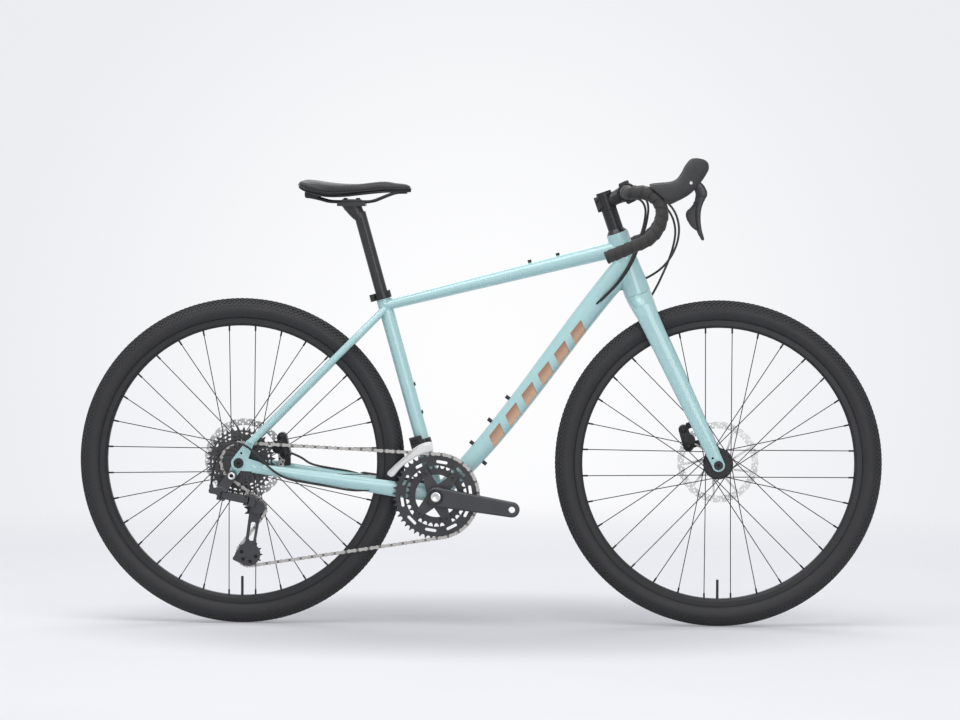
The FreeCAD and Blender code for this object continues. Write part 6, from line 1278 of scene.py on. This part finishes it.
@dataclass
class Levers:
    """The brake blades with the clevises that carry them, and the shift paddles behind."""

    reach: float = 210.0
    clevis: Rows = (
        (146, 24, 4, 5.2), (150, 21, 7.2, 6.4), (156, 15, 9.6, 7.0), (161, 6, 10.8, 7.4),
        (163, -1.5, 11.0, 7.4), (162.4, -7, 9.6, 6.9), (161.8, -10, 6.4, 5.0),
    )
    blade: Rows = (
        (163, 3, 7.5, 5.0), (163.2, -1.4, 9.6, 6.2), (161, -11, 8.6, 6.3), (158.3, -19.7, 7.2, 6.2),
        (154.8, -37.5, 6.0, 6.2), (155, -59.7, 5.2, 6.0), (158, -79.1, 4.7, 5.6), (162.4, -93, 4.2, 5.0),
        (165, -99, 3.2, 3.8), (166, -101, 1.4, 1.8),
    )
    paddle: Rows = (
        (150.2, -22, 1.6, 1.2), (149.6, -29, 2.6, 1.6), (145.4, -40, 6.4, 1.8), (141.6, -49, 10.0, 1.8),
        (142.4, -60, 9.2, 1.8), (147.0, -71, 5.8, 1.7), (152, -79, 2.0, 1.2),
    )
    power: float = 2 / 3
    columns: int = 28

    def bar(self, table: Rows, side: Side) -> Array:
        """Carries a rounded block along a line in the lever's plane.

        A section's point is a width across the line times a power of a cosine, and a depth along
        Y times the same power of a sine; the power, two thirds, squares the ellipse a little.

        Args:
            table: Rows of X and Z from the bar's centre, half a width and half a depth.
            side: Which side.

        Returns:
            A grid of points.
        """
        rows = smooth_table(table, 8 * len(table)) * MM
        path = np.column_stack([rows[:, 0], np.full(len(rows), side.value * self.reach * MM), rows[:, 1]])
        along = unit(np.gradient(path, axis=0))
        across = np.column_stack([along[:, 2], np.zeros(len(rows)), -along[:, 0]])
        wide, deep = squared(self.columns, self.power)
        grid = path[:, None] + across[:, None] * (rows[:, 2:3] * wide)[:, :, None]
        grid[:, :, 1] += rows[:, 3:4] * deep
        return grid + np.array(BAR_CENTRE)

    def build(self, alloy: Material, plastic: Material) -> None:
        """Makes both sides' levers.

        Args:
            alloy: What the blades and clevises wear.
            plastic: What the paddles wear.
        """
        for side in Side:
            for name, table, body, material in (
                ("lever_carrier_", self.clevis, "lever_", alloy),
                ("brake_lever_", self.blade, "blade_", alloy),
                ("shift_paddle_", self.paddle, "paddle_", plastic),
            ):
                piece = grid_surface(name + side.word + "_dressed", self.bar(table, side))
                fit(piece, body + side.word, "lever_black", material, name + side.word)


@dataclass
class Castings:
    """Cast and forged pieces with rounded edges, and the bright bolt and cap that show on two of them."""

    alloy: tuple[tuple[str, str, float], ...] = (
        ("mech_knuckle_upper", "frame", 0.0008), ("mech_outer_link", "mech_link", 0.0007),
        ("mech_knuckle_lower", "mech_lower", 0.0008),
    )
    black: tuple[tuple[str, str, float], ...] = (
        ("rear_caliper", "frame", 0.0009), ("front_caliper", "steering", 0.0009),
        ("front_mech_body", "frame", 0.0008), ("stem", "steering", 0.0011),
    )
    passes: int = 4
    columns: int = 40
    hanger: Point = (-0.5425, 0.0, 0.333)
    hanger_radius: float = 0.009
    crank_radius: float = 0.02
    bolt: Rows = ((-2, 8.2), (1.2, 8.2), (2.0, 7.6), (2.1, 4.4), (0.6, 4.0), (0.6, 0.2))
    cap: Rows = (
        (-2, 17.6), (0.6, 17.6), (1.0, 17.0), (1.0, 14.8), (0.2, 14.2), (0.2, 13.2), (0.9, 12.8), (0.9, 11.8),
        (-0.6, 11.5), (-0.6, 0.2),
    )
    plug: Rows = (
        (-2, 11.2), (-0.3, 11.2), (0.3, 10.4), (0.5, 7.0), (0.1, 6.2), (-0.4, 5.8), (-0.4, 0.2),
    )

    def build(self, alloy: Material, black: Material, steel: Material) -> None:
        """Rounds the castings and sets the bolt and the cap.

        Args:
            alloy: What the rear mech's castings wear.
            black: What the others and the cap wear.
            steel: What the bolt and the plug wear.
        """
        for parts, slot, material in ((self.alloy, "crank_alloy", alloy), (self.black, "black_alloy", black)):
            for node, body, voxel in parts:
                fit(softened(node, voxel, self.passes), body, slot, material, node)
        hanger_face = face_of("mech_knuckle_upper", self.hanger, self.hanger_radius)
        crank_face = face_of("crank_right", CRANK_AXIS, self.crank_radius)
        for name, body, profile, place, face, material in (
            ("hanger_bolt", "frame", self.bolt, self.hanger, hanger_face, steel),
            ("crank_cap", "crank", self.cap, CRANK_AXIS, crank_face, black),
            ("crank_plug", "crank", self.plug, CRANK_AXIS, crank_face, steel),
        ):
            start = np.array([place[0], face, place[2]])
            grid = turned_grid(np.array(profile) * MM, start, np.array([0.0, -1.0, 0.0]), self.columns)
            fit(grid_surface(name, grid), body, "bolt_steel", material)


@dataclass
class FrontCage:
    """The front mech's cage: a long thin plate on either side of the chain, joined at both ends."""

    rows: Rows = (
        (94.5, 108, 5.0), (97, 108, 8.2), (106, 107.5, 8.4), (115, 105.6, 7.2), (125, 103.6, 5.2),
        (136, 104.0, 4.6), (147, 106.8, 5.0), (154, 109.6, 6.2), (157, 111, 3.4),
    )
    tail: Rows = ((152, 110, 1.6), (155, 110.5, 1.6))
    neck: Rows = ((99, 113.5, 1.8), (112, 113, 1.8))
    inner_out: float = 1.5
    inner_wider: float = 2.5
    wall: float = 0.9
    across: float = 12.2
    power: float = 0.5
    columns: int = 20

    def plate(self, y: float, depth: float, rows: Rows) -> Array:
        """Carries a rounded strip along an arc about the crank.

        A point's distance from the crank is the row's radius plus its half width times a power of
        a cosine, and its Y the plate's plus the depth times the same power of a sine.

        Args:
            y: The plate's Y.
            depth: Half its thickness.
            rows: Angles in degrees, radii and half widths.

        Returns:
            A grid of points.
        """
        table = smooth_table(rows, 10 * len(rows))
        wide, deep = squared(self.columns, self.power)
        reach = (table[:, 1:2] + table[:, 2:3] * wide) * MM
        angle = np.radians(table[:, :1])
        side = np.broadcast_to(y + depth * deep, reach.shape)
        return np.stack([reach * np.cos(angle), side, reach * np.sin(angle)], -1) + np.array(CRANK_AXIS)

    def build(self, steel: Material) -> None:
        """Makes the two plates, the bridge at their tail and the neck that reaches into the body.

        Args:
            steel: What they wear.
        """
        side = coordinates(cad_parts["front_mech_cage"].data)[:, 1]
        low, high = float(side.min()), float(side.max())
        depth = self.wall * MM
        outer, inner = low + depth, low + self.across * MM - depth
        wider = np.array(self.rows) + np.array([0.0, self.inner_out, self.inner_wider])
        for name, y, thick, rows in (
            ("outer", outer, depth, self.rows), ("inner", inner, depth, wider),
            ("tail", (outer + inner) / 2, (inner - outer) / 2, self.tail),
            ("neck", (outer + high) / 2, (high - outer) / 2, self.neck),
        ):
            piece = grid_surface("front_cage_" + name, self.plate(y, thick, rows))
            fit(piece, "front_mech", "rotor_steel", steel, "front_mech_cage")


@dataclass
class Saddle:
    """The saddle's padded cover, blown up a little by cloth pressure, with a sewn edge."""

    middle: float = -0.277
    length: float = 0.248
    half: float = 72.5
    nose: float = 21.0
    voxel: float = 0.004
    pressure: float = 4.0
    cap: float = 0.0016
    frames: int = 20
    inset: float = 0.0010
    columns: int = 72
    steps: int = 110
    fold: float = 0.18 * math.pi
    belt: float = 0.34
    roundness: tuple[float, float] = (0.72, 0.62)
    channel: float = 0.24
    flat: int = 10
    mass: float = 0.3
    stiffness: float = 25.0
    tray_drop: float = 1.4
    tray_share: float = 0.97
    tray_half: float = 3.0
    tray_columns: int = 48
    socket: tuple[float, float] = (29.5, 952.0)
    socket_rows: Rows = (
        (-387, 3.0, 3.0), (-386, 6.0, 6.0), (-381, 8.5, 8.5), (-362, 8.0, 8.0), (-355.5, 6.2, 5.8),
        (-354.5, 4.0, 3.6),
    )
    thread: float = 0.0008
    seam_rise: float = 0.22
    seam_share: float = 0.985

    def plan(self) -> Array:
        """Sizes of the saddle at even steps: share of its length, half width, top, edge, tuck and crown.

        Returns:
            Rows of sizes; lengths in millimetres.
        """
        back = (
            (-0.50, 0.52, 981, 972, 0.9, 1.0), (-0.47, 0.80, 984.5, 966, 0.9, 2.0),
            (-0.38, 0.985, 983.5, 957, 0.9, 3.0), (-0.25, 0.93, 979, 950.5, 0.88, 4.0),
            (-0.10, 0.63, 975.5, 951, 0.84, 4.0),
        )
        front = (
            (0.05, 1.32, 976, 955, 0.8, 3.0), (0.25, 1.05, 981, 960, 0.78, 1.5),
            (0.42, 0.92, 979, 961.5, 0.78, 0.6), (0.48, 0.72, 975.5, 961.5, 0.8, 0.3),
            (0.50, 0.45, 971.5, 963, 0.84, 0.2),
        )
        widths = np.repeat([self.half, self.nose], 5)
        rows = np.array(back + front)
        rows[:, 1] *= widths
        return smooth_table(rows, self.steps)

    def grid(self, inset: float) -> Array:
        """The cover's surface, a closed outline carried along the saddle.

        Going round, the outline runs from the tucked right edge over the crowned top to the left
        edge and back under: half width times a rounded cosine sideways, edge to top by a rounded
        sine upwards, with a shallow channel along the middle.

        Args:
            inset: How far the cover starts inside its final form.

        Returns:
            A grid of points, one ring for each step along the saddle.
        """
        share, wide, top, edge, tuck, crown = (column[:, None] for column in self.plan().T)
        turn = np.linspace(-self.fold, math.pi + self.fold, self.columns - self.flat)[None, :]
        across = -np.sign(np.cos(turn)) * np.abs(np.cos(turn)) ** self.roundness[0]
        lift = np.clip(np.sin(turn), -1, 1)
        up = np.where(lift >= 0, np.abs(lift) ** self.roundness[1], lift)
        belt = edge + (top - edge) * self.belt
        folded = lift / math.sin(self.fold)
        side = wide * np.where(lift >= 0, 1.0, 1 + folded * (1 - tuck))
        y = across / np.abs(np.where(lift >= 0, 1.0, across)) * side
        z = np.where(lift >= 0, belt + (top - belt) * up, belt + (belt - edge) * folded)
        dip = crown * np.exp(-((across / self.channel) ** 2)) * (lift > 0)
        under = np.linspace(1, -1, self.flat + 2)[None, 1:-1]
        y_all = np.hstack([y, under * wide * tuck])
        z_all = np.hstack([z - dip, np.broadcast_to(edge, (self.steps, self.flat))])
        x = np.broadcast_to(self.middle / MM + share * self.length / MM, y_all.shape)
        grid = np.stack([x, y_all, z_all], -1) * MM
        core = grid.mean(axis=1, keepdims=True)
        return grid - unit(grid - core) * inset

    def rounded(self, x: Array, y: Array, z: Array, half_y: Array, half_z: Array) -> Array:
        """A rounded box carried along X: powers of cosine and sine for its outline at each step.

        Args:
            x: The steps, in millimetres; so are the other sizes.
            y: Middle of the outline sideways at each step.
            z: Middle of the outline upwards at each step.
            half_y: Half width at each step.
            half_z: Half height at each step.

        Returns:
            A grid of points in metres, one ring for each step.
        """
        across, up = squared(self.tray_columns, 0.5)[0], squared(self.tray_columns, 0.7)[1]
        x, y, z, half_y, half_z = (value[:, None] for value in (x, y, z, half_y, half_z))
        return np.stack(np.broadcast_arrays(x, y + half_y * across, z + half_z * up), -1) * MM

    def tray(self, plastic: Material) -> None:
        """The shell's thin tray under the cover's edge, with a socket round the back end of each rail.

        Args:
            plastic: What they wear.
        """
        share, wide, _, edge, tuck, _ = self.plan()[3:-3].T
        x = (self.middle + share * self.length) / MM
        half_y, half_z = wide * tuck * self.tray_share, np.full_like(x, self.tray_half)
        grids = {"saddle_tray": self.rounded(x, 0 * x, edge - self.tray_drop, half_y, half_z)}
        x, half_y, half_z = smooth_table(self.socket_rows, 40).T
        for side in Side:
            y, z = (np.full_like(x, value) for value in (side.value * self.socket[0], self.socket[1]))
            grids["rail_socket_" + side.word] = self.rounded(x, y, z, half_y, half_z)
        for name, grid in grids.items():
            piece = grid_surface(name, grid)
            fit(piece, "seat", "saddle_plastic", plastic, "saddle_shell")

    def build(self, cover: Material, seam: Material) -> None:
        """Makes the pad, swells it and fits it with its sewn edge.

        Args:
            cover: What the pad wears.
            seam: What the sewn edge wears.
        """
        piece = grid_surface("saddle_cover", self.grid(self.inset), (40, 40))
        piece = self.swell(piece)
        fit(piece, "seat", "saddle_cover", cover, "saddle_pad")
        self.seam(seam)

    def swell(self, piece: Piece) -> Piece:
        """Blows the pad up with cloth pressure and caps how far each point moves.

        Args:
            piece: The pad at its starting form.

        Returns:
            The same pad with its simulated mesh.
        """
        modify(piece, "REMESH", mode="VOXEL", voxel_size=self.voxel)
        apply_modifiers(piece)
        rest = coordinates(piece.data)
        cloth = modify(piece, "CLOTH").settings
        cloth.use_pressure = True
        cloth.uniform_pressure_force = self.pressure
        cloth.effector_weights.gravity = 0
        cloth.mass = self.mass
        cloth.tension_stiffness = self.stiffness
        scene = bpy.context.scene
        for number in range(1, self.frames + 1):
            scene.frame_set(number)
        apply_modifiers(piece)
        move = coordinates(piece.data) - rest
        reach = np.linalg.norm(move, axis=1, keepdims=True)
        move = move * np.minimum(1, self.cap / np.maximum(reach, 1e-9))
        piece.data.vertices.foreach_set("co", (rest + move).ravel())
        piece.data.update()
        scene.frame_set(1)
        modify(piece, "SMOOTH", factor=0.5, iterations=3)
        modify(piece, "SUBSURF", levels=1, render_levels=1)
        apply_modifiers(piece)
        return piece

    def seam(self, material: Material) -> None:
        """Sews a thin cord round the cover where its side meets its tuck.

        Args:
            material: What it wears.
        """
        share, wide, top, edge, _, _ = self.plan().T
        belt = edge + (top - edge) * self.seam_rise
        x = self.middle + share * self.length
        right = np.column_stack([x, -wide * self.seam_share * MM, belt * MM])
        loop = np.vstack([right, (right * np.array([1, -1, 1]))[::-1]])
        grid = tube_grid(loop, np.full((len(loop), 8), self.thread))
        piece = grid_surface("saddle_seam", grid, (200, 2))
        fit(piece, "seat", "saddle_cover", material)


class Hardware:
    """What the CAD nodes wear, and the cast, forged and turned pieces that share their finishes.

    A plain row is a finish's name, its two greys, roughness, metal, grain, grain depth and edge, and the
    names of its nodes.
    """

    aqua: tuple[Colour, Colour] = (srgb(166, 205, 206), srgb(172, 210, 210))
    bars: Stripes = Stripes(
        start=(-0.0829, 0.0, 0.2796), lean=math.radians(52.0), first=0.172, pitch=0.058, count=6,
        share=0.66, slant=0.55, low=-0.021, high=0.004,
        upper=srgb(158, 112, 84), lower=srgb(222, 184, 152), edge=srgb(112, 112, 84),
    )
    plain: tuple[tuple, ...] = (
        ("black_alloy", 39, 47, (0.26, 0.38), 0.4, 1500, FINE, 0.0012,
         "seat_clamp front_axle rear_axle front_hub rear_hub headset_spacers stem handlebar front_mech_body "
         "front_caliper rear_caliper"),
        ("post_alloy", 50, 60, (0.3, 0.42), 0.4, 1500, FINE, 0.0012, "seatpost"),
        ("rim_alloy", 40, 48, (0.42, 0.55), 0.3, 1200, FINE, 0.0, "front_rim rear_rim"),
        ("bolt_steel", 40, 70, (0.3, 0.5), 0.8, 2000, COARSE, 0.0, "frame_bolts frame_bearings"),
        ("spoke_black", 28, 36, (0.3, 0.45), 0.5, 2000, COARSE, 0.0, "front_spokes rear_spokes"),
        ("rail_steel", 30, 38, (0.3, 0.42), 0.6, 1500, COARSE, 0.0, "saddle_rails"),
        ("paddle_plastic", 34, 42, (0.4, 0.55), 0.0, 1600, COARSE, 0.0,
         "shift_paddle_right shift_paddle_left"),
        ("pulley_nylon", 26, 34, (0.5, 0.65), 0.0, 1500, COARSE, 0.0, "guide_pulley tension_pulley"),
        ("crank_alloy", 66, 76, (0.3, 0.42), 0.6, 1400, FINE, 0.0015,
         "crank_right crank_left mech_knuckle_upper mech_knuckle_lower mech_outer_link mech_inner_link "
         "mech_cage"),
    )

    def finishes(self) -> list[tuple[Finish, str]]:
        """The finishes, each with the names of its nodes.

        Returns:
            Pairs of a finish and names, which are none where only new pieces wear the finish.
        """
        rows = [
            (Finish(
                name, grey(low), grey(high), gloss, metal, grain=grain, grain_depth=depth, edge=edge,
            ), nodes)
            for name, low, high, gloss, metal, grain, depth, edge, nodes in self.plain
        ]
        for name, stripes, nodes in (
            ("aqua_paint", None, "head_tube seat_tube top_tube chainstays seatstays fork"),
            ("aqua_paint_barred", self.bars, "down_tube"),
        ):
            rows.append((Paint(
                name, *self.aqua, (0.24, 0.32), drift=12, grain=700, grain_depth=0.000012,
                coat=0.7, coat_roughness=0.06, stripes=stripes,
            ), nodes))
        for name, axle in (("front_rotor", FRONT_AXLE), ("rear_rotor", REAR_AXLE)):
            rows.append((Turned(
                name + "_steel", srgb(188, 188, 186), srgb(212, 212, 210), (0.24, 0.38), 1.0,
                centre=axle, inner=0.0245, inner_tone=grey(34),
            ), name))
        return rows + [
            (Grained("saddle_plastic", grey(24), grey(30), (0.5, 0.65), cell=1500, cell_depth=0.00006),
             "saddle_shell"),
            (Finish("pad_compound", srgb(60, 56, 50), srgb(90, 84, 76), (0.7, 0.9), grain=3000),
             "front_pad_right front_pad_left rear_pad_right rear_pad_left"),
            (Finish("lever_black", grey(50), srgb(60, 60, 63), (0.3, 0.42), 0.5, grain=1600,
                    grain_depth=FINE),
             "lever_carrier_right lever_carrier_left brake_lever_right brake_lever_left"),
            (Finish("mech_alloy", srgb(62, 62, 65), srgb(72, 72, 75), (0.34, 0.46), 0.4, grain=1400,
                    grain_depth=FINE), ""),
            (Finish("cage_steel", srgb(206, 206, 204), srgb(224, 224, 222), (0.3, 0.42), 0.8, grain=1800,
                    edge=0.0008), "front_mech_cage"),
            (Layered("chain_steel", srgb(170, 168, 164), srgb(190, 188, 184), (0.3, 0.46), 0.9, drift=160,
                     grain=2600, edge=0.0004, plane=-0.04485, reach=0.002,
                     core=(srgb(104, 102, 100), srgb(126, 124, 120))), "chain"),
            # painted shade: inside 4.2 mm of the hanger bolt's axis, in its socket, the steel darkens to a
            # dark grey
            (Turned("bright_steel", srgb(206, 206, 204), srgb(222, 222, 220), (0.22, 0.34), 1.0,
                    centre=Castings.hanger, inner=0.0042, inner_tone=grey(40)), ""),
            (Turned("ring_steel", grey(56), grey(78), (0.34, 0.5), 0.85, centre=CRANK_AXIS, edge=0.0008),
             "chainrings"),
            (Turned("sprocket_steel", grey(62), srgb(92, 92, 92), (0.3, 0.46), 0.9, centre=REAR_AXLE),
             "cassette"),
        ]

    def build(self) -> None:
        """Dresses every node, then makes the pieces that share their finishes."""
        worn: dict[str, Material] = {}
        for finish, names in self.finishes():
            worn[finish.name] = finish.material()
            for name in names.split():
                dress(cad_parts[name], worn[finish.name])
                log.info("node %s wears %s", name, finish.name)
        Levers().build(worn["lever_black"], worn["paddle_plastic"])
        Castings().build(worn["mech_alloy"], worn["black_alloy"], worn["bright_steel"])
        FrontCage().build(worn["cage_steel"])
        Saddle().tray(worn["saddle_plastic"])


def main() -> None:
    """Builds the studio, then each sub-assembly in turn."""
    logging.basicConfig(level=logging.INFO, format="%(message)s")
    Studio().build()
    Cords().build()
    Hardware().build()
    rubber = Laid(
        "tyre_rubber", grey(29), srgb(38, 38, 41), (0.55, 0.72), drift=20, grain=900, grain_depth=0.00006,
        sheen=0.1, lines=110, lines_depth=0.00004,
    ).material()
    Tyre("front_tyre", FRONT_AXLE, "front_wheel").build(rubber)
    Tyre("rear_tyre", REAR_AXLE, "rear_wheel").build(rubber)
    # the tape's material paints shade at each winding's edge, read from its winding_edge attribute
    tape = Laid(
        "bar_tape", srgb(33, 32, 31), srgb(44, 43, 41), (0.62, 0.82), drift=60, grain=1400,
        grain_depth=0.00012, sheen=0.15, dots=(4.0, 4.0), dots_depth=0.00012, pale=srgb(70, 69, 66),
        pale_share=0.35, seam="winding_edge",
    ).material()
    plug = Finish("plug_plastic", grey(26), grey(34), (0.35, 0.5)).material()
    BarTape().build(tape, plug)
    hood = Grained(
        "hood_rubber", srgb(44, 44, 45), srgb(52, 52, 53), (0.6, 0.75), sheen=0.1,
        cell=520, cell_depth=0.00018,
    ).material()
    pin = Finish(
        "pin_steel", srgb(196, 196, 194), srgb(214, 214, 212), (0.25, 0.4), metal=0.9, grain=2000,
    ).material()
    Hoods().build(hood, pin)
    cover = Grained(
        "saddle_cover", grey(27), grey(35), (0.42, 0.58), cell=1100, cell_depth=0.00025,
        feature="SMOOTH_F1", sheen=0.1,
    ).material()
    seam = Finish("seam_thread", grey(42), grey(56), (0.6, 0.8), grain=2400).material()
    Saddle().build(cover, seam)


if __name__ == "__main__":
    main()
